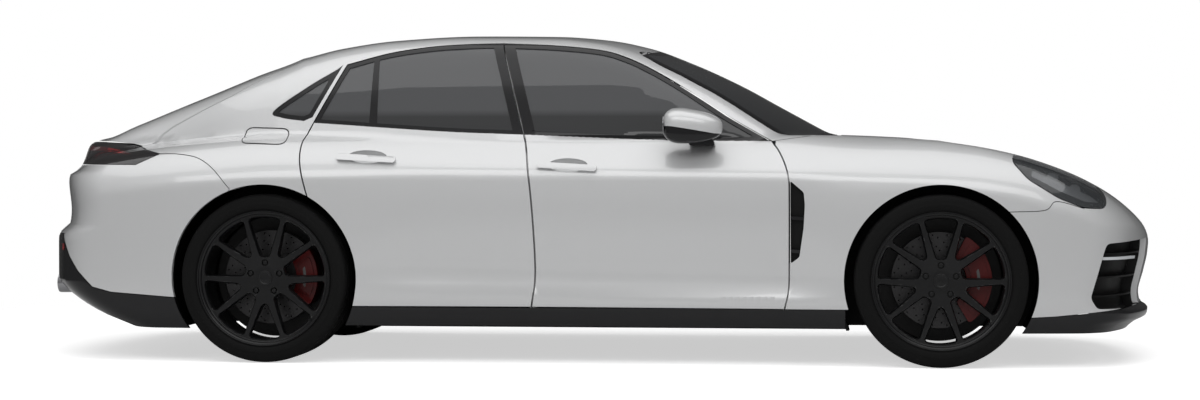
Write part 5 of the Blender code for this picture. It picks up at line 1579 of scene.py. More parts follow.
class Finishes:
    """Every finish of the car, made once."""

    def __init__(self) -> None:
        """Makes the materials."""
        listed = (
            Paint("body_paint", (0.66, 0.665, 0.67), 0.36, metallic=0.25, coat=1.0, spread=0.05, bump=0.01),
            Finish("gloss_black", (0.008, 0.008, 0.009), 0.16, coat=0.12, bump=0.01, shine=0.3),
            Finish("satin_black", (0.007, 0.007, 0.007), 0.5, Grain.CAST, spread=0.2, bump=0.12, shine=0.15),
            Finish(
                "wheel_black", (0.006, 0.006, 0.0065), 0.34, Grain.CAST, metallic=0.1, coat=0.10, bump=0.03,
                shine=0.3
            ),
            Finish("rubber", (0.006, 0.006, 0.006), 0.72, Grain.CAST, spread=0.2, bump=0.16, shine=0.12),
            Finish("disc_steel", (0.055, 0.054, 0.055), 0.36, Grain.RINGS, metallic=0.85, bump=0.10),
            Finish("cast_steel", (0.10, 0.10, 0.105), 0.55, Grain.CAST, metallic=0.7, bump=0.25),
            Finish("alloy", (0.42, 0.43, 0.44), 0.42, Grain.CAST, metallic=0.9, bump=0.15),
            Finish("caliper_red", (0.085, 0.001, 0.001), 0.4, coat=0.05, bump=0.02, shine=0.3),
            Finish("pale_stripe", (0.10, 0.10, 0.10), 0.4),
            Finish("chrome", (0.34, 0.34, 0.35), 0.14, metallic=1.0, bump=0.0),
            Finish("leather", (0.035, 0.034, 0.035), 0.55, Grain.HIDE, spread=0.15, bump=0.25),
            Finish("leather_pale", (0.17, 0.165, 0.16), 0.55, Grain.HIDE, spread=0.12, bump=0.25),
            Finish("trim_plastic", (0.030, 0.030, 0.031), 0.6, Grain.CAST, spread=0.2, bump=0.2),
            Finish("screen", (0.010, 0.011, 0.013), 0.08, coat=1.0),
            Finish("lamp_lens", (0.05, 0.055, 0.06), 0.02, coat=1.0, alpha=0.42, bump=0.0),
            Finish("lamp_shell", (0.030, 0.031, 0.033), 0.28, metallic=0.3),
            Finish("tail_shell", (0.045, 0.046, 0.048), 0.5),
            Finish("lamp_dark", (0.006, 0.006, 0.006), 0.5),
            Finish("lamp_bright", (0.60, 0.62, 0.65), 0.18, metallic=0.9, glow=0.10),
            Finish("light_bar", (0.60, 0.62, 0.64), 0.3, glow=0.12),
            Finish("tail_lens", (0.026, 0.024, 0.025), 0.05, coat=0.4, alpha=0.74, bump=0.0),
            Finish("tail_red", (0.50, 0.010, 0.015), 0.3, glow=0.7),
            Finish("reflector_red", (0.36, 0.010, 0.010), 0.2, Grain.HIDE, coat=0.8, bump=0.3),
            # Both glasses carry a painted reflection: a dark band at their lower edge
            GlassWithPaintedReflection("smoked_glass_painted_reflection", (0.082, 0.084, 0.088), 0.01, alpha=0.90, low=1.085, high=1.115),
            GlassWithPaintedReflection("screen_glass_painted_reflection", (0.045, 0.047, 0.050), 0.01, alpha=0.84),
        )
        self.known = {finish.name: finish.make() for finish in listed}

    def __getitem__(self, name: str) -> bpy.types.Material:
        """The material of a name."""
        return self.known[name]


@dataclass
class Assembly:
    """A group of pieces with one builder.

    Args:
        skin: the maker of body panels.
        finishes: the car's finishes.
    """

    skin: Skin
    finishes: Finishes

    def finish(
        self, piece: bpy.types.Object, name: str, body: str, slot: str, look: str, nodes: Sequence[str] = ()
    ) -> bpy.types.Object:
        """Names a piece, gives it its finish and hangs it on its body.

        Args:
            piece: the finished mesh.
            name: its plain name.
            body: the moving body that carries it.
            slot: the part's material slot; not used.
            look: the finish's name.
            nodes: the plain solids that it stands for.

        Returns:
            The piece.
        """
        piece.name = name
        piece.data.name = name
        if not any(piece.data.materials):
            piece.data.materials.clear()
            piece.data.materials.append(self.finishes[look])
        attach(piece, body)
        if nodes:
            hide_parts(*nodes)
        log.info("%s: %d faces", name, len(piece.data.polygons))
        return piece

    def pair(
        self, piece: bpy.types.Object, name: str, bodies: tuple[str, str], slot: str, look: str,
        nodes: bool = False
    ) -> None:
        """Finishes a right-hand piece and its left twin, whose nodes are named alike.

        Args:
            piece: the piece.
            name: their name without the side.
            bodies: the right and the left body.
            slot: the part's material slot.
            look: the finish's name.
            nodes: whether they stand for the solids of that name.
        """
        piece.data.materials.clear()
        piece.data.materials.append(self.finishes[look])
        twin = Shop.mirrored(piece, name + "_left_fine")
        right = [name + "_right"] if nodes else []
        left = [name + "_left"] if nodes else []
        self.finish(piece, name + "_right_fine", bodies[0], slot, look, right)
        self.finish(twin, name + "_left_fine", bodies[1], slot, look, left)


SHELL = ("body_shell", "body_shell")


@dataclass
class BodySides(Assembly):
    """Pillars, roof rails, rockers, rear quarters, the roof and the fuel flap."""

    def build(self) -> None:
        """Makes the pieces."""
        skin = self.skin
        side = skin.slab("side", place(-0.78), place(0.88), frame_depth, *side_rows)
        pocket = skin.slab(
            "pocket", place(-0.16), place(0.06), fuel_flap_pocket, *flap_rows, inset=-overrun,
            side=flap_outline, grow=0.0035
        )
        quarter = skin.slab(
            "quarter", place(-0.06), place(0.12), glass_thickness + 0.012, *glass_rows, inset=-overrun,
            side=quarter_outline, grow=seam
        )
        holes = [
            skin.side(front_opening, skin.gap / 2), skin.side(rear_opening, skin.gap / 2),
            skin.side(fender_region, skin.seam / 2), skin.side(rear_bumper_region, skin.seam),
            skin.side(tail_lamp_outline, skin.seam), skin.side(quarter_outline, -flange / 2),
            skin.side(Lines.box(rear_axle_x, 0, front_axle_x, sill_bottom + sheet)),
            skin.side(rear_valance_region, skin.seam),
            skin.plan(windshield_outline, -flange), skin.plan(roof_outline, -flange),
            skin.plan(hatch_outline, -flange), skin.plan(hood_outline, hood_side_gap),
            quarter, pocket, Arches.opening(rear_axle_x),
            self.seat(roof_outline, 0.0, 0.62, roof_depth, 5.0, 0.001),
            self.seat(windshield_outline, 0.50, 0.88, glass_thickness + 0.004, 5.0, 0.003),
            self.seat(hatch_outline, -0.97, 0.08, lid_depth + flange, 4.0, skin.gap),
            skin.slab(
                "skirt seat", place(-0.02), place(1.02), sheet + 0.001, *skirt_rows, inset=-overrun,
                side=Lines.box(rear_axle_x, 0, front_axle_x, sill_top)
            ),
            Arches.liner_room(),
        ]
        skin.cut(side, *holes)
        pillars = self.pillars()
        Shop.combine(side, pillars, "UNION")
        Shop.drop(*pillars)
        skin.shade(Shop.largest(side))
        self.pair(side, "body_side", SHELL, "paint", "body_paint", True)
        roof = skin.slab("roof", place(0.0), place(0.62), roof_depth, *roof_rows, plan=roof_outline)
        self.finish(skin.shade(roof), "roof_panel_fine", "body_shell", "paint", "body_paint", ["roof_panel"])
        flap = skin.slab(
            "flap", place(-0.16), place(0.05), sheet / 2, *flap_rows, side=flap_outline, grow=-0.0020
        )
        self.finish(skin.shade(flap), "fuel_flap_fine", "fuel_flap", "paint", "body_paint", ["fuel_flap"])

    def seat(
        self, outline: Outline, low: float, high: float, depth: float, start: float, grow: float
    ) -> bpy.types.Object:
        """The recess that a panel sits in."""
        slab = self.skin.slab("seat", place(low), place(high), depth, start, middle_row, inset=-overrun)
        return self.skin.keep(slab, self.skin.plan(outline, grow))

    def pillars(self) -> list[bpy.types.Object]:
        """The two pillars that the doors close on, and the rocker under them.

        Returns:
            The pillars and the rocker.
        """
        made = []
        for line, low, high, head in (
            (centre_cut, 0.30, 0.45, [(0.5, 1.0), (-0.5, 1.0)]),
            (front_cut, 0.70, 0.87, [(3.0, 1.0), (0.0, 2.0)]),
        ):
            pillar = self.skin.slab(
                "pillar", place(low), place(high), door_depth, *side_rows, inset=roof_depth + 0.008
            )
            half = pillar_width / 2
            foot = [(line[-1][0] - half, sill_bottom), (line[-1][0] + half, sill_bottom)]
            top = [(line[0][0] + u * pillar_width, line[0][1] + v * pillar_width) for u, v in head]
            outline = [*shifted(line, -half), *foot, *reversed(shifted(line, half)), *top]
            made.append(self.skin.keep(pillar, self.skin.side(outline)))
        rocker = Lines.box(
            rear_axle_x + liner_radius + liner_thickness, sill_bottom + sheet,
            front_cut[-1][0] + pillar_width, sill_top - 0.01
        )
        made.append(
            Shop.prism(
                "rocker", rocker, "side", 0.03 + frame_depth - half_width,
                frame_depth + rocker_depth - half_width
            )
        )
        return made


class Arches:
    """Round cutters about the axles."""

    @staticmethod
    def cutter(
        axle_x: float, radius: float, inner: float, outer: float = 1.02, side: int = -1
    ) -> bpy.types.Object:
        """A cylinder through a wheel arch of one side."""
        return Shop.cylinder(
            (axle_x, side * outer, tyre_radius), (axle_x, side * inner, tyre_radius), radius, 128
        )

    @staticmethod
    def opening(axle_x: float, side: int = -1) -> bpy.types.Object:
        """The cutter that opens a wheel arch in the skin."""
        return Arches.cutter(axle_x, arch_radius, well_inner_y, side=side)

    @staticmethod
    def liner_room() -> bpy.types.Object:
        """The cutter that leaves room round the right rear arch's liner.

        Returns:
            The cutter.
        """
        return Arches.cutter(
            rear_axle_x, liner_radius + liner_thickness + shut_gap, 0.0, liner_outer_y + shut_gap
        )


@dataclass
class Doors(Assembly):
    """Doors with their inner frames, handles and skirts."""

    outer_sheet: float = 0.004
    surface_reach: float = 0.0015
    handle_half: float = 0.118
    handle_radius: float = 0.0135
    handle_stand: float = 0.0185
    scoop_radii: tuple[float, float, float] = (0.086, 0.036, 0.041)

    def build(self) -> None:
        """Makes the pieces."""
        skin = self.skin
        for name, outline, low, high, handle in (
            ("door_front", front_door_outline, centre_cut[0][0], place(0.79), (-0.060, 0.866)),
            ("door_rear", rear_door_outline, rear_axle_x, place(0.45), (-0.945, 0.903)),
        ):
            door = skin.slab(name, low, high, self.outer_sheet, *door_rows, side=outline, grow=-shut_gap / 2)
            backing = skin.slab(
                "backing", low, high, sheet, *door_rows, inset=0.003, side=outline, grow=-0.0055
            )
            frame_part = skin.slab(
                "frame", low, high, door_depth, *door_rows, inset=sheet / 2, side=outline, grow=-door_flange
            )
            Shop.combine(door, [backing, frame_part], "UNION")
            Shop.drop(backing, frame_part)
            if name == "door_rear":
                skin.cut(door, Arches.opening(rear_axle_x), Arches.liner_room())
            where = (handle[0] + 0.004, handle[1] + 0.003)
            spot = reach(np.array([(where[0], 0.0, where[1])]), np.array([(0.0, -1.0, 0.0)]), half_length)[0]
            skin.cut(door, Shop.ball((spot[0], spot[1], spot[2] + 0.004), self.scoop_radii))
            skin.shade(Shop.largest(door), self.surface_reach)
            bodies = (name + "_right", name + "_left")
            self.pair(door, name, bodies, "paint", "body_paint", True)
            self.handle(handle, bodies, name)
        sill_back = rear_axle_x + tyre_radius * 0.9
        sill = Lines.box(sill_back, 0, place(0.862), sill_top - 0.0015)
        skirt = skin.slab("skirt", place(-0.02), place(1.02), sheet, *skirt_rows, side=sill)
        skin.cut(skirt, Arches.opening(rear_axle_x))
        self.pair(skin.shade(skirt), "skirt", SHELL, "gloss_black", "gloss_black", True)

    def handle(self, where: tuple[float, float], bodies: tuple[str, str], name: str) -> None:
        """A pull bar over its cup, on two feet, along the door's surface.

        Args:
            where: its middle, seen from the side.
            bodies: the right and the left body.
            name: the door's name.
        """
        skin = self.skin
        low, high = where[0] - self.handle_half, where[0] + self.handle_half
        bar = skin.slab(
            "bar", low - 0.02, high + 0.02, 0.001, *handle_rows, inset=-self.handle_stand,
            side=Lines.slot((low, where[1] + 0.005), (high, where[1] - 0.009), self.handle_radius)
        )
        under = skin.slab(
            "under", where[0] - 0.09, where[0] + 0.09, 0.03, *handle_rows, inset=-0.006,
            side=Lines.oval(where, 0.076, 0.034)
        )
        skin.cut(bar, under)
        Shop.bevel(bar, 0.0075, 5, 50)
        Shop.smooth(bar, 50)
        self.pair(bar, name + "_handle", bodies, "paint", "body_paint")


@dataclass
class Glasshouse(Assembly):
    """Side windows with black surrounds, windshield, rear window and cowl."""

    def build(self) -> None:
        """Makes the pieces."""
        skin = self.skin
        pillar = [*over_belt(centre_cut), (centre_cut[3][0], belt_height(centre_cut[3][0]) - 0.01)]
        wide = [*shifted(pillar, 0.052), *reversed(shifted(pillar, -0.045))]
        for name, outline, low, high, bodies in (
            ("door_glass_front", front_glass_outline, 0.33, 0.80, ("door_front_right", "door_front_left")),
            ("door_glass_rear", rear_glass_outline, 0.02, 0.40, ("door_rear_right", "door_rear_left")),
            ("quarter_glass", quarter_outline, -0.06, 0.12, SHELL),
        ):
            edge = skin.gap / 2 if name != "quarter_glass" else 0.001
            hole = skin.side(outline, -0.020)
            if name != "quarter_glass":
                skin.cut(hole, skin.side(wide))
            ring = skin.slab("ring", place(low), place(high), 0.012, *glass_rows, side=outline, grow=-edge)
            if name == "door_glass_rear":
                bar = [(-0.968, 1.36), (-0.945, 1.36), (-0.925, 1.0), (-0.962, 1.0)]
                skin.cut(hole, skin.side(bar))
            glass = skin.slab("glass", place(low), place(high), 0.0075, *glass_rows, inset=0.0035)
            Shop.combine(glass, [hole], "INTERSECT")
            skin.cut(ring, hole)
            self.pair(skin.shade(glass), name, bodies, "glass", "smoked_glass_painted_reflection", True)
            self.pair(skin.shade(ring), name + "_surround", bodies, "gloss_black", "gloss_black")
        for name, outline, low, high, start, body, edge in (
            ("windshield", windshield_outline, 0.50, 0.88, 5.0, "body_shell", 0.003),
            ("rear_window", rear_pane_outline, -0.52, 0.03, 4.0, "hatch", 0.0012),
        ):
            inner = skin.plan(outline, -0.045)
            rim = skin.slab(
                "rim", place(low), place(high), glass_thickness, start, middle_row, plan=outline, grow=-edge
            )
            glass = skin.slab(
                "pane", place(low), place(high), glass_thickness, start, middle_row, inset=0.0002
            )
            Shop.combine(glass, [inner], "INTERSECT")
            skin.cut(rim, inner)
            self.finish(skin.shade(glass), name + "_fine", body, "glass", "screen_glass_painted_reflection", [name])
            self.finish(skin.shade(rim), name + "_border", body, "gloss_black", "gloss_black")
        cowl = skin.slab(
            "cowl", place(0.78), place(0.88), 0.018, *hood_rows, inset=0.006, plan=cowl_outline, grow=-0.002
        )
        self.finish(skin.shade(cowl), "cowl_cover", "body_shell", "gloss_black", "satin_black")


@dataclass
class Lids(Assembly):
    """Hood, fenders with their vents, and the hatch."""

    def build(self) -> None:
        """Makes the pieces."""
        skin = self.skin
        hood = skin.slab(
            "hood", place(0.80), place(1.88), lid_depth, *hood_rows, plan=hood_outline, grow=-skin.gap / 2
        )
        self.finish(skin.shade(hood), "hood_fine", "hood", "paint", "body_paint", ["hood"])
        fender = skin.slab(
            "fender", place(0.76), place(1.78), sheet, 0.0, 7.0, side=fender_region, grow=-skin.seam / 2
        )
        vent = Lines.rounded(
            [(0.909, 0.801), (0.966, 0.752), (0.971, 0.700), (0.966, 0.600), (0.948, 0.473), (0.911, 0.445)],
            0.010
        )
        skin.cut(
            fender, skin.side(front_opening, skin.gap / 2), skin.plan(hood_outline, skin.gap / 2),
            skin.side(front_bumper_region, skin.seam), skin.side(headlamp_outline, 0.002),
            skin.side(front_valance_region, skin.seam), skin.plan(cowl_outline, 0.001),
            skin.side(Lines.box(front_cut[-1][0] - shut_gap, 0, front_axle_x, sill_top)),
            Arches.opening(front_axle_x), skin.side(vent),
        )
        self.pair(skin.shade(Shop.largest(fender)), "fender", SHELL, "paint", "body_paint", True)
        back = skin.slab("vent back", 0.895, 0.985, 0.040, *vent_rows, inset=0.022, side=vent, grow=0.008)
        self.pair(skin.shade(back), "vent_back", SHELL, "gloss_black", "satin_black")
        fins = []
        for height in (0.640, 0.497):
            line = [
                (0.900, height - 0.004), (0.985, height - 0.010), (0.985, height + 0.004),
                (0.900, height + 0.010)
            ]
            fin = skin.slab("fin", 0.895, 0.985, 0.030, *vent_rows, inset=0.003)
            fins.append(skin.keep(fin, skin.side(line), skin.side(vent, 0.004)))
        self.pair(Shop.smooth(Shop.join("fins", fins)), "vent_fins", SHELL, "gloss_black", "gloss_black")
        hatch = skin.slab(
            "hatch", place(-0.862), place(0.08), lid_depth, *hatch_rows, plan=hatch_outline,
            grow=-skin.gap / 2
        )
        glass_seat = skin.slab(
            "glass seat", place(-0.52), place(0.03), glass_thickness + 0.003, *hatch_rows, inset=-overrun,
            plan=rear_pane_outline, grow=0.001
        )
        skin.cut(
            hatch, glass_seat, skin.plan(rear_pane_outline, -flange),
            skin.side(hatch_under_region, skin.gap, True),
        )
        self.finish(skin.shade(Shop.largest(hatch)), "hatch_fine", "hatch", "paint", "body_paint", ["hatch"])


@dataclass
class Ends(Assembly):
    """Bumpers, valances, intakes, lamps and exhaust tips."""

    fine: int = 160
    plain: int = 120
    coarse: int = 96
    lamp_edge: float = -0.0015
    cover_edge: float = -0.002
    light_bar_z: float = 0.4690
    tip_hole: float = 0.047

    def build(self) -> None:
        """Makes the pieces."""
        self.front()
        self.rear()
        self.headlamps()

    def front(self) -> None:
        """Front bumper with its intakes, grille and splitter."""
        skin = self.skin
        bumper = skin.end_slab(
            "bumper", True, levels(0.12, 0.60, 40), bumper_angle, bumper_depth, columns=self.fine,
            side=front_bumper_region, grow=-skin.seam
        )
        centre = Lines.rounded(Lines.front(centre_intake_shares), 0.02)
        intakes = [Shop.prism("intake", centre, "front", front_axle_x, half_length + overrun)]
        outline = Lines.rounded([
            (2.256, 0.533), (2.620, 0.560), (2.620, 0.250), (2.214, 0.253), (2.184, 0.300), (2.214, 0.400),
            (2.244, 0.506),
        ], 0.018)
        for side in (-1, 1):
            intakes.append(Shop.prism("intake", outline, "side", *sorted((side * 0.50, side * 1.0))))
        skin.cut(
            bumper, skin.plan(hood_outline, skin.gap / 2), skin.side(headlamp_outline, 0.002, True),
            Arches.opening(front_axle_x), Arches.opening(front_axle_x, 1), *intakes,
        )
        self.finish(
            skin.shade(Shop.largest(bumper)), "front_bumper_fine", "body_shell", "paint", "body_paint",
            ["front_bumper"]
        )
        heights = levels(0.165, 0.38, 24)
        back = skin.end_slab("grille", True, heights, intake_angle, 0.085, inset=0.068, columns=self.coarse)
        blades = [back]
        for share, across in (
            (0.207, 1.0), (0.262, 1.0), (0.330, 1.0), (0.190, 0.45), (0.225, 0.45), (0.244, 0.45),
        ):
            rows = [share * overall_height + step for step in (-0.0035, 0.0, 0.0035)]
            blade = skin.end_slab("blade", True, rows, intake_angle, 0.072, inset=0.026, columns=self.coarse)
            width = across * half_width
            blades.append(skin.keep(blade, self.strip(-width, width)))
        for side in (-1, 1):
            wall = skin.end_slab(
                "wall", True, heights, intake_angle, 0.088, inset=0.0255, columns=self.coarse
            )
            blades.append(skin.keep(wall, self.strip(side * 0.484, side * 0.502)))
        grille = Shop.smooth(Shop.join("grille", blades), 40)
        self.finish(grille, "front_grille_fine", "body_shell", "gloss_black", "satin_black", ["front_grille"])
        bars = []
        for side in (-1, 1):
            rows = [self.light_bar_z + step for step in (-0.006, 0.006)]
            bar = skin.end_slab(
                "light bar", True, rows, intake_angle, 0.030, inset=0.012, columns=self.coarse
            )
            shares = Lines.box(side * 0.66, 0.25, side * 0.95, 0.40)
            bars.append(skin.keep(
                bar, Shop.prism("ends", Lines.front(shares), "front", front_axle_x, half_length + overrun),
                Shop.prism("reach", widened(outline, -0.003), "side", *sorted((side * 0.50, side * 1.0))),
            ))
        self.finish(
            Shop.smooth(Shop.join("bars", bars)), "front_light_bars", "body_shell", "headlamp", "light_bar"
        )
        self.valance("front_splitter", True, front_valance_region, 0.20, math.radians(70))

    @staticmethod
    def strip(right: float, left: float) -> bpy.types.Object:
        """A cutter through the nose between two distances from its middle."""
        return Shop.prism("strip", Lines.box(1.9, right, 2.6, left), "plan", 0.1, 0.7)

    def valance(self, node: str, forward: bool, region: Outline, top: float, angle: float) -> None:
        """The dark lower skin under a bumper.

        Args:
            node: the solid that it stands for.
            forward: the nose rather than the tail.
            region: its side outline.
            top: its height share.
            angle: half the angle that it spans, seen from above.
        """
        skin = self.skin
        heights = levels(0.10, top, 20)
        made = skin.end_slab(
            node, forward, heights, angle, bumper_depth, columns=self.plain, side=region, grow=-skin.seam
        )
        axle_x = front_axle_x if forward else rear_axle_x
        cutters = [Arches.opening(axle_x, side) for side in (-1, 1)]
        if not forward:
            for side in (-1, 1):
                y = side * tip_y
                cutters.append(
                    Shop.cylinder(
                        (-half_length - 0.1, y, tip_z), (-half_length + 0.4, y, tip_z), self.tip_hole
                    )
                )
        skin.cut(made, *cutters)
        self.finish(
            skin.shade(Shop.largest(made)), node + "_fine", "body_shell", "gloss_black", "gloss_black", [node]
        )

    def rear(self) -> None:
        """Rear bumper, diffuser, exhaust tips, reflectors and tail lamps."""
        skin = self.skin
        bumper = skin.end_slab(
            "bumper", False, levels(0.12, 0.66, 44), bumper_angle, bumper_depth, columns=self.fine,
            side=rear_bumper_region, grow=-skin.seam
        )
        skin.cut(bumper, Arches.opening(rear_axle_x), Arches.opening(rear_axle_x, 1))
        self.finish(
            skin.shade(Shop.largest(bumper)), "rear_bumper_fine", "body_shell", "paint", "body_paint",
            ["rear_bumper"]
        )
        self.valance("rear_diffuser", False, rear_valance_region, 0.40, math.radians(85))
        profile = [
            (0.0, 0.0455), (0.012, 0.0465), (0.10, 0.0455), (0.10, 0.0405), (0.006, 0.0410), (0.0, 0.0430),
        ]
        tips = []
        for side in (-1, 1):
            y = side * tip_y
            tip = Shop.spun("tip", profile, 96)
            tip.data.transform(Matrix.Rotation(-math.pi / 2, 4, "Z"))
            end = float(tail_x(y, tip_z)) - 0.006
            tip.data.transform(Matrix.Translation((end, y, tip_z)))
            plug = Shop.cylinder((end + 0.06, y, tip_z), (end + 0.10, y, tip_z), 0.0412)
            plug.data.materials.append(self.finishes["satin_black"])
            tip.data.materials.append(self.finishes["chrome"])
            tips.extend([tip, plug])
        self.finish(Shop.smooth(Shop.join("tips", tips)), "exhaust_tips", "body_shell", "steel", "chrome")
        strips = []
        for side in (-1, 1):
            strip = skin.end_slab(
                "strip", False, [0.489, 0.504, 0.518], math.radians(95), 0.01, inset=-0.0015,
                columns=self.fine
            )
            ends = Lines.box(-2.362, side * 0.70, -2.10, side * 0.98)
            strips.append(skin.keep(strip, Shop.prism("ends", ends, "plan", 0.4, 0.6)))
        line = Lines.box(-2.345, 0.0, -2.10, 1.0)
        strips = [skin.cut(strip, Shop.prism("window", line, "side", -1.0, 1.0)) for strip in strips]
        self.finish(
            skin.shade(Shop.join("reflectors", strips)), "rear_reflectors", "body_shell", "tail_lamp",
            "reflector_red"
        )
        heights = levels(0.57, 0.68, 24)
        lens = skin.end_slab(
            "tail", False, heights, tail_angle, 0.006, columns=self.fine, side=tail_lamp_outline,
            grow=self.lamp_edge
        )
        self.finish(
            skin.shade(lens), "tail_lamp_lens", "body_shell", "tail_lamp", "tail_lens", ["tail_lamps"]
        )
        shell = skin.end_slab(
            "tail", False, heights, tail_angle, lamp_depth, inset=0.020, columns=self.plain,
            side=tail_lamp_outline,
            grow=self.lamp_edge
        )
        self.finish(Shop.smooth(shell), "tail_lamp_shell", "body_shell", "tail_lamp", "tail_shell")
        glow = skin.end_slab(
            "glow", False, [0.916, 0.938, 0.962], lamp_angle, 0.026, inset=0.0085, columns=self.fine,
            side=[
                (-2.40, 0.9405), (-2.255, 0.9385), (-2.075, 0.9205), (-2.055, 0.9225), (-2.075, 0.9265),
                (-2.255, 0.9565), (-2.40, 0.9585),
            ]
        )
        self.finish(Shop.smooth(glow), "tail_lamp_strip", "body_shell", "tail_lamp", "tail_red")
        ribs = []
        for low, high in ((0.9660, 0.9700), (0.9000, 0.9035), (0.8845, 0.8880)):
            rib = skin.end_slab("rib", False, [low, high], lamp_angle, 0.010, inset=0.0062, columns=self.fine)
            ribs.append(skin.keep(rib, skin.side(tail_lamp_outline, -0.010, True)))
        self.finish(
            Shop.smooth(Shop.join("ribs", ribs)), "tail_lamp_ribs", "body_shell", "tail_lamp", "lamp_dark"
        )

    def headlamps(self) -> None:
        """Dark lamps under clear covers, each with a bright strip and two projectors."""
        skin = self.skin
        span = (place(1.26), place(1.80))
        cover = skin.slab("cover", *span, 0.005, *lamp_rows, side=headlamp_outline, grow=self.cover_edge)
        skin.cut(cover, skin.plan(hood_outline, skin.gap / 2))
        self.pair(skin.shade(cover), "headlamp", SHELL, "headlamp", "lamp_lens", True)
        shell = skin.slab(
            "shell", *span, lamp_depth, *lamp_rows, inset=0.040, side=headlamp_outline, grow=self.cover_edge
        )
        skin.cut(shell, skin.plan(hood_outline, 0.006))
        self.pair(skin.shade(shell), "headlamp_shell", SHELL, "headlamp", "lamp_shell")
        outline = Lines.rounded(
            [
                (1.935, 0.822), (2.060, 0.755), (2.165, 0.712), (2.228, 0.706), (2.19, 0.735), (2.07, 0.79),
                (1.945, 0.845),
            ], 0.006
        )
        strip = skin.slab("strip", *span, 0.036, *lamp_rows, inset=0.016, side=outline)
        self.pair(skin.shade(strip), "headlamp_strip", SHELL, "headlamp", "lamp_bright")
        units = []
        for x, z in ((2.03, 0.815), (2.125, 0.765)):
            unit = skin.slab("unit", *span, 0.038, *lamp_rows, inset=0.020)
            units.append(skin.keep(unit, skin.side(Lines.oval((x, z), 0.026, 0.020))))
        self.pair(Shop.smooth(Shop.join("units", units)), "headlamp_units", SHELL, "headlamp", "lamp_bright")


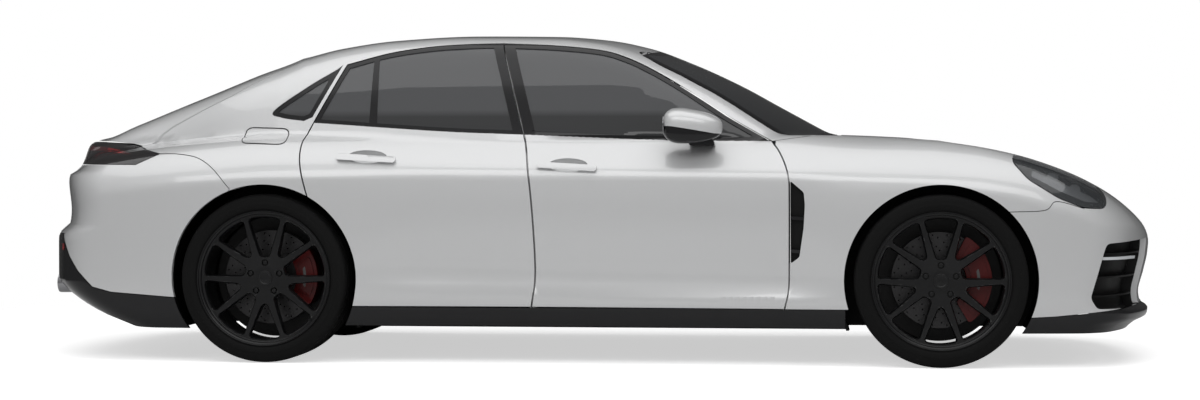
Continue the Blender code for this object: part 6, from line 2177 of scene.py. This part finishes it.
@dataclass
class Wheel(Assembly):
    """One road wheel: five double spokes, stepped rim, tyre and drilled disc, about its own centre."""

    end: str = "front"
    width: float = 0.262
    centre: tuple[float, float, float] = (0.0, 0.0, 0.0)
    corner: float = 0.014
    corner_share: float = 0.85
    nut_circle: float = 0.068
    window_radius: float = 0.2665

    def build(self) -> None:
        """Makes the wheel, its tyre and its disc for both sides."""
        rim_width = self.width - rim_inset
        face = -rim_width / 2 + face_inset
        wheel = Shop.join("wheel", [self.barrel(rim_width), self.spider(face), *self.fittings(face)])
        self.place(wheel, "wheel", "wheel", "wheel_black")
        self.place(self.disc(), "disc", "steel", "disc_steel")
        self.place(self.tyre(), "tyre", "tyre", "rubber")

    def place(self, piece: bpy.types.Object, kind: str, slot: str, look: str) -> None:
        """Moves a piece to its axle and finishes it and its twin.

        Args:
            piece: the piece.
            kind: what it is.
            slot: the part's material slot.
            look: the finish's name.
        """
        piece.data.transform(Matrix.Translation(self.centre))
        bodies = (f"wheel_{self.end}_right", f"wheel_{self.end}_left")
        self.pair(piece, f"{kind}_{self.end}", bodies, slot, look, kind != "disc")

    def barrel(self, width: float) -> bpy.types.Object:
        """The rim with its stepped lip, drop centre and rear flange.

        Args:
            width: its width.

        Returns:
            The piece.
        """
        half = width / 2
        profile = [
            (-half, 0.2965), (-half + 0.0015, 0.2980), (-half + 0.006, 0.2980), (-half + 0.010, 0.2935),
            (-half + 0.05, 0.2920), (-half + 0.07, 0.2850), (half - 0.05, 0.2850), (half - 0.03, 0.2920),
            (half - 0.006, 0.2935), (half - 0.003, 0.2980), (half, 0.2965), (half, 0.2900),
            (half - 0.012, 0.2850), (half - 0.04, 0.2780), (0.0, 0.2740), (-half + 0.06, 0.2720),
            (-half + 0.034, 0.2720), (-half + 0.026, 0.2745), (-half + 0.0215, 0.2810),
            (-half + 0.0130, 0.2822), (-half + 0.0100, 0.2845), (-half + 0.0070, 0.2905),
            (-half + 0.0015, 0.2920), (-half, 0.2935),
        ]
        rim = Shop.spun("rim", profile, 160)
        valve = Shop.cylinder((0.198, -half + 0.018, -0.176), (0.206, -half + 0.004, -0.183), 0.0042, 20)
        return Shop.smooth(Shop.join("rim", [rim, Shop.bevel(valve, 0.0012, 2)]), 24)

    @staticmethod
    def front(face: float, radius: float) -> float:
        """How far out the spokes' face lies at a radius."""
        rise = min(max((radius - 0.05) / 0.21, 0.0), 1.0)
        return face + 0.016 * (1 - rise) ** 1.6 + 0.004 * rise**6

    def spider(self, face: float) -> bpy.types.Object:
        """The disc of spokes, with ten rounded windows cut through and chamfered.

        Args:
            face: where the spokes' face lies along the axle.

        Returns:
            The piece.
        """
        radii = list(np.linspace(0.020, 0.2835, 34))
        profile = [(self.front(face, radius), radius) for radius in radii]
        for radius in reversed(radii):
            profile.append((self.front(face, radius) + 0.046 - 0.022 * radius / 0.28, radius))
        spider = Shop.spun("spider", profile, 240)
        windows = []
        for number in range(5):
            turn = math.radians(-90 + 72 * number)
            for outline, angle in ((self.crotch(), turn), (self.gap(), turn + math.radians(36))):
                windows.append(self.window(outline, angle, face))
        for number in range(5):
            turn = math.radians(-54 + 72 * number)
            x, z = self.nut_circle * math.cos(turn), self.nut_circle * math.sin(turn)
            depth = self.front(face, self.nut_circle) + 0.015
            windows.append(Shop.cylinder((x, face - 0.05, z), (x, depth, z), 0.0150, 40))
        Shop.combine(spider, [Shop.join("windows", windows[:1]), *windows[1:]], "DIFFERENCE")
        Shop.drop(*windows)
        Shop.bevel(spider, 0.0016, 2, 28)
        return Shop.smooth(spider, 24)

    @staticmethod
    def arm(u: float, outer: bool) -> float:
        """Distance of an arm's edge from the pair's middle line, at a distance along it.

        Args:
            u: the distance along the arm.
            outer: the edge away from the pair's middle.

        Returns:
            The distance.
        """
        middle = (u - 0.038) * 0.379
        half = (0.0232 - 0.0092 * min(max((u - 0.05) / 0.2, 0.0), 1.0)) / 0.935
        return middle + (half if outer else -half)

    def crotch(self) -> Outline:
        """The window between the two arms of a pair.

        Returns:
            The outline.
        """
        edge = [(u, self.arm(u, False)) for u in (0.250, 0.20, 0.15, 0.125)]
        reach_out = math.atan2(edge[0][1], edge[0][0])
        arc = [
            (self.window_radius * math.cos(t), self.window_radius * math.sin(t))
            for t in np.linspace(-reach_out, reach_out, 9)
        ]
        tip = [(0.112, 0.0)]
        points = [*arc, *edge[1:], *tip, *[(u, -v) for u, v in reversed(edge[1:])]]
        return Lines.softened(points, {0, len(arc) - 1, len(arc) + 3}, self.corner, self.corner_share)

    def gap(self) -> Outline:
        """The window between two pairs.

        Returns:
            The outline.
        """
        turn = math.radians(36)
        edge = []
        for u in (0.250, 0.20, 0.15, 0.10, 0.088):
            v = self.arm(u, True)
            edge.append((u * math.cos(turn) + v * math.sin(turn), u * math.sin(turn) - v * math.cos(turn)))
        reach_out = math.atan2(edge[0][1], edge[0][0])
        arc = [
            (self.window_radius * math.cos(t), self.window_radius * math.sin(t))
            for t in np.linspace(-reach_out, reach_out, 9)
        ]
        points = [*arc, *edge[1:], *[(u, -v) for u, v in reversed(edge[1:])]]
        corner = len(arc) + 3
        return Lines.softened(points, {0, len(arc) - 1, corner, corner + 1}, self.corner, self.corner_share)

    def window(self, outline: Outline, angle: float, face: float) -> bpy.types.Object:
        """A cutter through the spokes that is wider at their face, for the chamfer.

        Args:
            outline: the outline.
            angle: its turn about the axle.
            face: where the spokes' face lies along the axle.

        Returns:
            The piece.
        """
        layers = []
        for offset, grow in ((-0.03, 0.0088), (0.0, 0.0058), (0.005, 0.0024), (0.014, 0.0), (0.075, -0.001)):
            ring = np.array(self.grown(outline, grow))
            turned_ring = np.stack([
                ring[:, 0] * math.cos(angle) - ring[:, 1] * math.sin(angle),
                ring[:, 0] * math.sin(angle) + ring[:, 1] * math.cos(angle),
            ], 1)
            depth = [self.front(face, float(np.hypot(*point))) + offset for point in ring]
            layers.append(np.column_stack([turned_ring[:, 0], depth, turned_ring[:, 1]]))
        count = len(outline)
        faces = [
            tuple(range(count)), tuple(range(len(layers) * count - 1, (len(layers) - 1) * count - 1, -1))
        ]
        for layer in range(len(layers) - 1):
            for first in range(count):
                second = (first + 1) % count
                base = layer * count
                faces.append((base + second, base + first, base + first + count, base + second + count))
        return Shop.solid("window", np.concatenate(layers), faces, 3)

    @staticmethod
    def grown(outline: Outline, distance: float) -> Outline:
        """An outline moved outward point by point.

        Args:
            outline: the outline.
            distance: how far it moves.

        Returns:
            The new outline.
        """
        points = np.array(outline)
        run = np.roll(points, -1, axis=0) - np.roll(points, 1, axis=0)
        run /= np.linalg.norm(run, axis=1)[:, None]
        area = np.sum(points[:, 0] * np.roll(points[:, 1], -1) - np.roll(points[:, 0], -1) * points[:, 1])
        turn = 1 if area > 0 else -1
        return [tuple(point) for point in points + distance * turn * np.stack([run[:, 1], -run[:, 0]], 1)]

    def fittings(self, face: float) -> list[bpy.types.Object]:
        """The hub behind the spokes, the blank cap and the five nuts.

        Args:
            face: where the spokes' face lies along the axle.

        Returns:
            The pieces.
        """
        hub_face = self.front(face, 0.02)
        hub = Shop.spun("hub", [
            (hub_face + 0.02, 0.012), (hub_face + 0.02, 0.060), (hub_face + 0.03, 0.080), (0.040, 0.080),
            (0.040, 0.012),
        ], 96)
        cap = Shop.spun("cap", [
            (hub_face - 0.0035, 0.0004), (hub_face - 0.0030, 0.018), (hub_face - 0.0022, 0.0225),
            (hub_face - 0.0034, 0.0245), (hub_face - 0.0042, 0.0285), (hub_face - 0.0030, 0.0318),
            (hub_face + 0.004, 0.0330), (hub_face + 0.03, 0.0330), (hub_face + 0.03, 0.0004),
        ], 96)
        made = [Shop.smooth(hub), Shop.smooth(cap, 40)]
        for number in range(5):
            turn = math.radians(-54 + 72 * number)
            x, z = self.nut_circle * math.cos(turn), self.nut_circle * math.sin(turn)
            depth = self.front(face, self.nut_circle)
            nut = Shop.cylinder((x, depth + 0.001, z), (x, depth + 0.022, z), 0.0100, 6)
            made.append(Shop.bevel(nut, 0.0016, 2))
        return made

    def disc(self) -> bpy.types.Object:
        """A drilled, vented disc with its bell, and the radius of each point kept for its finish.

        Returns:
            The piece.
        """
        disc = Shop.spun("disc", [
            (0.011, 0.105), (0.011, 0.2080), (0.0125, 0.2095), (0.022, 0.2095), (0.0235, 0.2060),
            (0.0325, 0.2060), (0.034, 0.2095), (0.0435, 0.2095), (0.045, 0.2080), (0.045, 0.105),
        ], 160)
        holes = []
        for ring, (radius, shift) in enumerate(
            ((0.128, 0.0), (0.146, 0.33), (0.164, 0.66), (0.184, 0.15), (0.197, 0.5))
        ):
            for number in range(20):
                turn = math.tau * (number + shift) / 20
                x, z = radius * math.cos(turn), radius * math.sin(turn)
                holes.append(Shop.cylinder((x, 0.0, z), (x, 0.06, z), 0.0034, 12))
        Shop.combine(disc, [Shop.join("holes", holes)], "DIFFERENCE")
        Shop.drop(holes[0])
        bell = Shop.spun(
            "bell", [(0.012, 0.080), (0.012, 0.106), (0.044, 0.108), (0.044, 0.096), (0.020, 0.080)], 96
        )
        made = Shop.smooth(Shop.join("disc", [disc, bell]), 30)
        radius = made.data.attributes.new("radius", "FLOAT", "POINT")
        radius.data.foreach_set("value", [math.hypot(v.co.x, v.co.z) for v in made.data.vertices])
        return made

    def tyre(self) -> bpy.types.Object:
        """A low tyre with a rounded shoulder, soft rings on its wall and four grooves round its tread.

        Returns:
            The piece.
        """
        w = self.width
        half = [
            (0.455, 0.2905), (0.462, 0.2985), (0.474, 0.3035), (0.480, 0.3042), (0.4865, 0.3072),
            (0.4955, 0.3150), (0.5, 0.3250), (0.4995, 0.3310), (0.4975, 0.3322), (0.4965, 0.3338),
            (0.4935, 0.3435), (0.487, 0.3520), (0.4775, 0.3590), (0.464, 0.3642), (0.446, 0.3673),
            (0.420, 0.3692), (0.370, 0.3709), (0.330, 0.3715),
        ]
        tread = []
        for middle in (0.285, 0.095):
            edge = 0.3717 if middle > 0.2 else 0.37195
            groove = 0.018
            tread += [
                (middle + groove, edge), (middle + groove * 0.8, 0.3650), (middle - groove * 0.8, 0.3650),
                (middle - groove, edge + 0.0001)
            ]
        right = [(-u * w, r) for u, r in [*half, *tread]]
        profile = [
            *right, *[(-y, r) for y, r in reversed(right)], (0.44 * w, 0.2905), (0.43 * w, 0.330),
            (0.0, 0.352), (-0.43 * w, 0.330), (-0.44 * w, 0.2905)
        ]
        tyre = Shop.spun("tyre", profile, 240)
        return Shop.smooth(tyre, 38)


@dataclass
class Brakes(Assembly):
    """Red calipers over the discs, the cast carriers, and dark splash shields behind them that reach out near
    the rim, standing both for the real shields and for painted shade inside the wheels.
    """

    shield_radii: tuple[float, float] = (0.180, 0.271)
    shield_faces: tuple[float, float] = (0.112, 0.115)

    def build(self) -> None:
        """Makes the pieces."""
        for end, axle_x, wheel_y, bodies, node, spread, low, high in (
            (
                "front", front_axle_x, front_wheel_y, ("knuckle_right", "knuckle_left"), "knuckle", (-56, 60),
                0.112, 0.221
            ),
            ("rear", rear_axle_x, rear_wheel_y, SHELL, "rear_carrier", (-34, 36), 0.125, 0.219),
        ):
            caliper = self.caliper(spread, low, high)
            bracket = Shop.prism("bracket", Lines.rounded([
                (0.085, -0.05), (0.17, -0.075), (0.17, 0.075), (0.085, 0.05),
            ], 0.012), "side", 0.055, 0.080)
            upright = self.upright()
            for piece in (caliper, bracket, upright):
                piece.data.transform(Matrix.Translation((axle_x, -wheel_y, tyre_radius)))
            stripe = self.stripe(spread)
            stripe.data.transform(Matrix.Translation((axle_x, -wheel_y, tyre_radius)))
            self.pair(caliper, end + "_caliper", bodies, "caliper", "caliper_red")
            self.pair(stripe, end + "_caliper_stripe", bodies, "caliper", "pale_stripe")
            # Painted shade as well as a real part: the dark shield reaches almost to the rim so that the
            # inside of the wheel reads as shade
            (inner, outer), (near, far) = self.shield_radii, self.shield_faces
            shield = Shop.spun("shield", [(near, inner), (near, outer), (far, outer), (far, inner)], 96)
            shield.data.transform(Matrix.Translation((axle_x, -wheel_y, tyre_radius)))
            self.pair(Shop.smooth(shield), end + "_splash_shield", bodies, "caliper", "lamp_dark")
            carrier = Shop.join("carrier", [Shop.smooth(Shop.bevel(bracket, 0.003, 2)), upright])
            self.pair(carrier, node, bodies, "caliper", "cast_steel", True)

    @staticmethod
    def sector(spread: tuple[float, float], low: float, high: float, corner: float) -> Outline:
        """A piece of a ring between two angles, with its corners rounded.

        Args:
            spread: the two angles in degrees.
            low: the inner radius.
            high: the outer radius.
            corner: how far from a corner its rounding starts.

        Returns:
            The outline.
        """
        outer = [math.radians(a) for a in np.linspace(*spread, 15)]
        inner = [math.radians(a) for a in np.linspace(spread[1] - 3, spread[0] + 3, 15)]
        points = [(high * math.cos(a), high * math.sin(a)) for a in outer]
        points += [(low * math.cos(a), low * math.sin(a)) for a in inner]
        return Lines.softened(points, (0, 14, 15, 29), corner, 0.9, 5)

    def caliper(self, spread: tuple[float, float], low: float, high: float) -> bpy.types.Object:
        """A fixed caliper: two halves and the bridge over the disc, with a raised band on its outer face.

        Args:
            spread: the two angles in degrees.
            low: the inner radius.
            high: the outer radius.

        Returns:
            The piece.
        """
        body = Shop.prism("caliper", self.sector(spread, low, high, 0.016), "side", -0.036, 0.086)
        slot = Shop.spun("slot", [(0.0055, 0.06), (0.0055, 0.2135), (0.0505, 0.2135), (0.0505, 0.06)], 160)
        Shop.combine(body, [slot], "DIFFERENCE")
        Shop.drop(slot)
        Shop.bevel(body, 0.006, 3, 40)
        inner = (spread[0] + 9, spread[1] - 9)
        band = Shop.prism(
            "band", self.sector(inner, low + 0.020, high - 0.016, 0.010), "side", -0.0415, -0.030
        )
        Shop.bevel(band, 0.003, 3, 40)
        return Shop.smooth(Shop.join("caliper", [body, band]), 40)

    def stripe(self, spread: tuple[float, float]) -> bpy.types.Object:
        """The blank light stripe on a caliper's face.

        Args:
            spread: the two angles in degrees.

        Returns:
            The piece.
        """
        middle = (spread[0] + spread[1]) / 2
        stripe = Shop.prism(
            "stripe", self.sector((middle - 16, middle + 16), 0.158, 0.170, 0.003), "side", -0.0421, -0.040
        )
        return Shop.smooth(stripe)

    @staticmethod
    def upright() -> bpy.types.Object:
        """The hub carrier: a bearing housing with a post for its arms.

        Returns:
            The piece.
        """
        housing = Shop.spun("housing", [
            (0.048, 0.020), (0.048, 0.058), (0.072, 0.060), (0.082, 0.052), (0.118, 0.048), (0.118, 0.020),
        ], 64)
        post = Shop.prism(
            "post",
            Lines.rounded([(-0.026, -0.125), (0.026, -0.125), (0.022, 0.125), (-0.022, 0.125)], 0.014),
            "side", 0.078, 0.112
        )
        return Shop.smooth(Shop.join("upright", [housing, Shop.bevel(post, 0.005, 3)]))


@dataclass
class Mirrors(Assembly):
    """Door mirrors: a painted upper shell over a black base and foot, with the mirror glass behind."""

    middle: tuple[float, float, float] = (0.487, -0.909, 1.044)
    half: tuple[float, float, float] = (0.129, 0.086, 0.081)
    squareness: float = 3.1

    def build(self) -> None:
        """Makes the pieces."""
        shell = self.shell()
        upper = Shop.put(shell.data.copy(), "upper")
        split = [
            (0.30, 1.042), (0.40, 1.036), (0.50, 1.020), (0.58, 1.006), (0.70, 1.000), (0.70, 1.3),
            (0.30, 1.3),
        ]
        over = Shop.prism("over", split, "side", -1.1, -0.7)
        Shop.combine(upper, [over], "INTERSECT")
        lower = Shop.combine(shell, [over], "DIFFERENCE")
        Shop.drop(over)
        lower.data.transform(Matrix.Translation((0.0, 0.0015, -0.0005)))
        foot = Shop.prism("foot", Lines.rounded([
            (0.470, 0.955), (0.585, 0.952), (0.560, 1.005), (0.465, 1.012),
        ], 0.012), "side", -0.900, -0.790)
        Shop.bevel(foot, 0.006, 3)
        bodies = ("door_front_right", "door_front_left")
        self.pair(Shop.smooth(upper, 50), "mirror_shell", bodies, "paint", "body_paint")
        base = Shop.join("base", [Shop.smooth(lower, 50), Shop.smooth(foot, 40)])
        self.pair(base, "mirror", bodies, "gloss_black", "gloss_black", True)
        glass = Shop.prism("glass", Lines.oval((-0.905, 1.045), 0.062, 0.045), "front", 0.3612, 0.3640)
        self.pair(Shop.smooth(glass), "mirror_glass", bodies, "glass", "chrome")

    def shell(self) -> bpy.types.Object:
        """The housing as a rounded form that narrows to the front and outward.

        Returns:
            The piece.
        """
        def moved(x: float, y: float, z: float) -> Place:
            """Narrows the form to the front and leans it outward."""
            front = (x + 1) / 2
            flat = 1 - 0.42 * front**1.7
            return (
                self.middle[0] + self.half[0] * max(x, -0.97),
                self.middle[1] + y * self.half[1] * (1 - 0.30 * front**2) + 0.016 * front**2,
                self.middle[2] + z * self.half[2] * flat - 0.012 * front + 0.010 * y,
            )

        return Shop.block("mirror", 23, (3.2, 3.0, 3.0), self.squareness, moved)


@dataclass
class Cabin(Assembly):
    """Seats, steering wheel, dashboard details and the inner mirror."""

    seat_y: float = 0.359
    wheel_radius: float = 0.185
    wheel_grip: float = 0.0155
    wheel_axis: tuple[float, float, float] = (0.9135, 0.0, -0.4067)
    wheel_centre: tuple[float, float, float] = (0.5935, 0.3591, 0.8128)

    def build(self) -> None:
        """Makes the pieces."""
        seat = self.front_seat(-self.seat_y)
        self.soft(seat, "front_seat_right_fine", ["front_seat_right"])
        twin = Shop.mirrored(seat, "seat")
        self.soft(twin, "front_seat_left_fine", ["front_seat_left"])
        self.soft(self.rear_seat(), "rear_seat_fine", ["rear_seat"])
        self.wheel()
        self.dash()

    def soft(self, seat: bpy.types.Object, name: str, nodes: Sequence[str]) -> None:
        """Finishes a seat and hides the solids that it stands for."""
        self.finish(seat, name, "body_shell", "leather", "leather", nodes)

    @staticmethod
    def cushion(
        centre: Sequence[float], size: Sequence[float], lean: float = 0.0, power: float = 4.0,
        crown: float = 0.0
    ) -> bpy.types.Object:
        """A stuffed form: a rounded block with a crowned face and a seam line round its middle.

        Args:
            centre: its middle.
            size: its length, width and thickness.
            lean: its turn about Y.
            power: how square it is.
            crown: how far its face bulges.

        Returns:
            The piece.
        """
        def moved(x: float, y: float, z: float) -> Place:
            """Pinches the seam line, crowns the face and gives the form its size."""
            pinch = 1 - 0.035 * math.exp(-((z / 0.10) ** 2))
            z += crown * (1 - x * x) * (1 - y * y) * (1 if z > 0 else 0)
            return x * size[0] / 2 * pinch, y * size[1] / 2 * pinch, z * size[2] / 2

        piece = Shop.block("cushion", 15, (power, power, power), power, moved)
        piece.data.transform(Matrix.Translation(centre) @ Matrix.Rotation(lean, 4, "Y"))
        return Shop.smooth(piece, 60)

    def front_seat(self, y: float) -> bpy.types.Object:
        """A sports seat: cushion, bolsters, ribbed backrest and headrest.

        Args:
            y: the seat's place across the car.

        Returns:
            The piece.
        """
        back = math.radians(72)
        parts = [
            self.cushion((-0.085, y, 0.300), (0.50, 0.34, 0.17), 0.06, 5.0, 0.06),
            self.cushion((-0.350, y, 0.610), (0.54, 0.32, 0.13), -back, 5.0, 0.06),
            self.cushion((-0.432, y, 0.925), (0.155, 0.250, 0.085), -back, 3.2, 0.05),
            self.cushion((-0.405, y, 0.845), (0.10, 0.11, 0.03), -back, 3.0),
        ]
        for side in (-1, 1):
            parts.append(self.cushion((-0.085, y + side * 0.200, 0.325), (0.49, 0.10, 0.18), 0.06, 3.2))
            parts.append(self.cushion((-0.335, y + side * 0.195, 0.590), (0.48, 0.10, 0.16), -back, 3.2))
        return Shop.join("seat", parts)

    def rear_seat(self) -> bpy.types.Object:
        """The rear bench: two hollows, a middle place and two headrests.

        Returns:
            The piece.
        """
        back = math.radians(68)
        parts = []
        for side in (-1, 1):
            parts.append(self.cushion((-0.960, side * 0.235, 0.300), (0.50, 0.33, 0.18), 0.05, 5.0, 0.05))
            parts.append(self.cushion((-1.235, side * 0.235, 0.590), (0.52, 0.33, 0.13), -back, 5.0, 0.05))
            parts.append(self.cushion((-1.340, side * 0.235, 0.860), (0.11, 0.22, 0.08), -back, 3.2))
        parts.append(self.cushion((-0.965, 0.0, 0.305), (0.48, 0.15, 0.17), 0.05, 4.0))
        parts.append(self.cushion((-1.235, 0.0, 0.585), (0.50, 0.15, 0.13), -back, 4.0))
        return Shop.join("bench", parts)

    def wheel(self) -> None:
        """The steering wheel: padded ring, three spokes, boss and column."""
        axis = Vector(self.wheel_axis).normalized()
        bpy.ops.object.select_all(action="DESELECT")
        bpy.ops.mesh.primitive_torus_add(
            major_radius=self.wheel_radius, minor_radius=self.wheel_grip, major_segments=96, minor_segments=24
        )
        ring = bpy.context.object
        parts = [
            ring, self.cushion((0, 0, 0.0), (0.105, 0.115, 0.05), 0.0, 3.0),
            Shop.bevel(
                Shop.prism("spoke", Lines.box(-0.18, -0.013, 0.18, 0.013), "plan", -0.006, 0.006), 0.004, 2
            ),
            Shop.bevel(
                Shop.prism(
                    "low", [(-0.018, -0.18), (0.018, -0.18), (0.022, 0.0), (-0.022, 0.0)], "plan", -0.006,
                    0.006
                ), 0.004, 2
            ),
            Shop.cylinder((0, 0, 0.0), (0, 0, 0.215), 0.0155, 32),
        ]
        wheel = Shop.smooth(Shop.join("wheel", parts), 50)
        across = Vector((0, 1, 0))
        up = axis.cross(across) * -1
        if up.z < 0:
            up.negate()
        turn = Matrix((across, up, axis)).transposed().to_4x4()
        wheel.data.transform(Matrix.Translation(self.wheel_centre) @ turn)
        Shop.outward(wheel)
        self.finish(wheel, "steering_wheel_fine", "steering_wheel", "leather", "leather", ["steering_wheel"])

    def dash(self) -> None:
        """Screen and the mirror on the windshield."""
        face = Lines.box(-0.165, 0.80, 0.165, 0.90)
        screen = Shop.bevel(Shop.prism("screen", face, "front", 0.722, 0.736), 0.004, 3)
        self.finish(Shop.smooth(screen), "dash_screen", "body_shell", "dash", "screen")
        mirror = self.cushion((0.355, 0.0, 1.232), (0.030, 0.235, 0.062), 0.12, 4.0)
        stalk = Shop.cylinder((0.360, 0.0, 1.24), (0.415, 0.0, 1.300), 0.006, 20)
        made = Shop.join("mirror", [mirror, stalk])
        self.finish(made, "inner_mirror", "body_shell", "dash", "trim_plastic")


@dataclass
class Chassis(Assembly):
    """The plain solids that stay in view, and smooth liners inside the arches."""

    liner_width: float = 0.335
    liner_inner_y: float = 0.462

    def build(self, nodes: dict[str, bpy.types.Object]) -> None:
        """Gives kept solids their finish and adds the liners.

        Args:
            nodes: the part's solids by name.
        """
        for name, look in (
            ("floor_pan", "satin_black"), ("front_subframe", "cast_steel"), ("rear_subframe", "cast_steel"),
            ("engine_block", "alloy"), ("dashboard", "trim_plastic"),
        ):
            node = nodes[name]
            if not node.material_slots:
                node.data.materials.append(None)
            for slot in node.material_slots:
                slot.material = self.finishes[look]
        for axle_x, name in ((front_axle_x, "front"), (rear_axle_x, "rear")):
            inner, outer = liner_radius - 0.004, liner_radius - 0.001
            profile = [(0.0, inner), (0.0, outer), (-self.liner_width, outer), (-self.liner_width, inner)]
            liner = Shop.spun("liner", profile, 160)
            self.skin.cut(liner, Shop.prism("under", Lines.box(-0.6, -0.6, 0.6, -0.22), "side", -0.5, 0.1))
            liner.data.transform(Matrix.Translation((axle_x, -self.liner_inner_y, tyre_radius)))
            self.pair(Shop.smooth(liner), name + "_arch_liner", SHELL, "liner", "satin_black")


@dataclass
class Studio:
    """Pale seamless floor, soft light and the camera of the photo."""

    lens: float = 66.345
    eye: tuple[float, float, float] = (1.0255, -10.469, 0.833)
    yaw: float = 0.0981
    pitch: float = -0.0120

    def build(self) -> None:
        """Sets the stage."""
        scene = bpy.context.scene
        scene.view_settings.view_transform = "Standard"
        scene.view_settings.look = "None"
        bpy.ops.object.select_all(action="DESELECT")
        bpy.ops.mesh.primitive_plane_add(size=60)
        floor = bpy.context.object
        floor.name = "studio_floor"
        floor.data.materials.append(self.floor())
        floor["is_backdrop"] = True
        for name, where, aim, size, power in (
            ("top", (0.0, -1.2, 6.5), (0.0, -1.2, 0.0), (12.0, 6.0), 270.0),
            ("side", (0.0, -8.0, 6.0), (0.0, 0.0, 0.6), (12.0, 3.0), 210.0),
        ):
            light = bpy.data.lights.new(name, "AREA")
            light.shape = "RECTANGLE"
            light.size, light.size_y = size
            light.energy = power
            lamp = bpy.data.objects.new(name, light)
            scene.collection.objects.link(lamp)
            lamp.location = where
            lamp.rotation_euler = (Vector(aim) - Vector(where)).to_track_quat("-Z", "Y").to_euler()
        scene.world = self.sky()
        camera = bpy.data.cameras.new("camera")
        camera.sensor_width = 36.0
        camera.lens = self.lens
        camera.sensor_fit = "HORIZONTAL"
        camera.clip_end = 200.0
        view = bpy.data.objects.new("camera", camera)
        scene.collection.objects.link(view)
        view.location = self.eye
        yaw, pitch = self.yaw, self.pitch
        ahead = Vector((-math.sin(yaw) * math.cos(pitch), math.cos(yaw) * math.cos(pitch), math.sin(pitch)))
        view.rotation_euler = ahead.to_track_quat("-Z", "Y").to_euler()
        scene.camera = view

    @staticmethod
    def sky() -> bpy.types.World:
        """White behind the car, and a soft grey room, paler overhead, for its light and reflections.

        Returns:
            The world.
        """
        tree = Tree(bpy.data.worlds.new("studio"))
        where = tree.node("ShaderNodeTexCoord", out="Generated")
        along = tree.node("ShaderNodeSeparateXYZ", {0: where}, out="Y")
        up = tree.node("ShaderNodeSeparateXYZ", {0: where}, out="Z")
        far = tree.node("ShaderNodeMapRange", {
            "Value": along, "From Min": -0.6, "From Max": 0.6, "To Min": 1.0, "To Max": 0.15,
        })
        walls = tree.mixed(up, (0.33, 0.33, 0.33), (0.58, 0.58, 0.58), 0.8)
        room = tree.node("ShaderNodeBackground", {"Color": walls, "Strength": far})
        white = tree.node("ShaderNodeBackground", {"Color": (1, 1, 1, 1)})
        seen = tree.node("ShaderNodeLightPath", out="Is Camera Ray")
        return tree.close(tree.node("ShaderNodeMixShader", {0: seen, 1: room, 2: white}))

    @staticmethod
    def floor() -> bpy.types.Material:
        """A pale matte floor that meets the white background and throws back a softer light.

        Returns:
            The material.
        """
        tree = Tree(bpy.data.materials.new("studio_floor"))
        where = tree.node("ShaderNodeTexCoord", out="Object")
        noise = tree.node("ShaderNodeTexNoise", {"Vector": where, "Scale": 0.4})
        pale = tree.node("ShaderNodeBsdfPrincipled", {
            "Base Color": tree.mixed(noise, (0.96, 0.96, 0.96), (0.98, 0.98, 0.98)), "Roughness": 0.9,
            "Specular IOR Level": 0.0, "Emission Color": (1.0, 1.0, 1.0, 1.0), "Emission Strength": 0.58,
        })
        grey = tree.node("ShaderNodeBsdfPrincipled", {
            "Base Color": tree.mixed(noise, (0.74, 0.74, 0.74), (0.76, 0.76, 0.76)), "Roughness": 0.9,
            "Specular IOR Level": 0.0,
        })
        seen = tree.node("ShaderNodeLightPath", out="Is Camera Ray")
        lit = tree.node("ShaderNodeMixShader", {0: seen, 1: grey, 2: pale})
        radius = tree.node("ShaderNodeVectorMath", {0: where}, out="Value", operation="LENGTH")
        fade = tree.node("ShaderNodeMapRange", {"Value": radius, "From Min": 3.4, "From Max": 5.0})
        return tree.close(
            tree.node("ShaderNodeMixShader", {0: fade, 1: lit, 2: tree.node("ShaderNodeBsdfTransparent")})
        )


def size_note(kind: str, sizes: dict[str, list[list[float]]]) -> None:
    """Notes the shown object's corners.

    Args:
        kind: when they were taken.
        sizes: the notes so far.
    """
    sizes[kind] = [list(corner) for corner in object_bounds()]


def main() -> None:
    """Builds every assembly in order."""
    sizes: dict[str, list[list[float]]] = {}
    size_note("loaded", sizes)
    finishes = Finishes()
    skin = Skin()
    for assembly in (BodySides, Doors, Glasshouse, Lids, Ends, Mirrors, Brakes, Cabin):
        log.info("building %s", assembly.__name__)
        assembly(skin, finishes).build()
    for end, width, axle_x, wheel_y in (
        ("front", front_tyre_width, front_axle_x, front_wheel_y),
        ("rear", rear_tyre_width, rear_axle_x, rear_wheel_y),
    ):
        Wheel(skin, finishes, end, width, (axle_x, -wheel_y, tyre_radius)).build()
    Chassis(skin, finishes).build(frame["nodes"])
    Studio().build()
    size_note("finished", sizes)


if __name__ == "__main__":
    main()
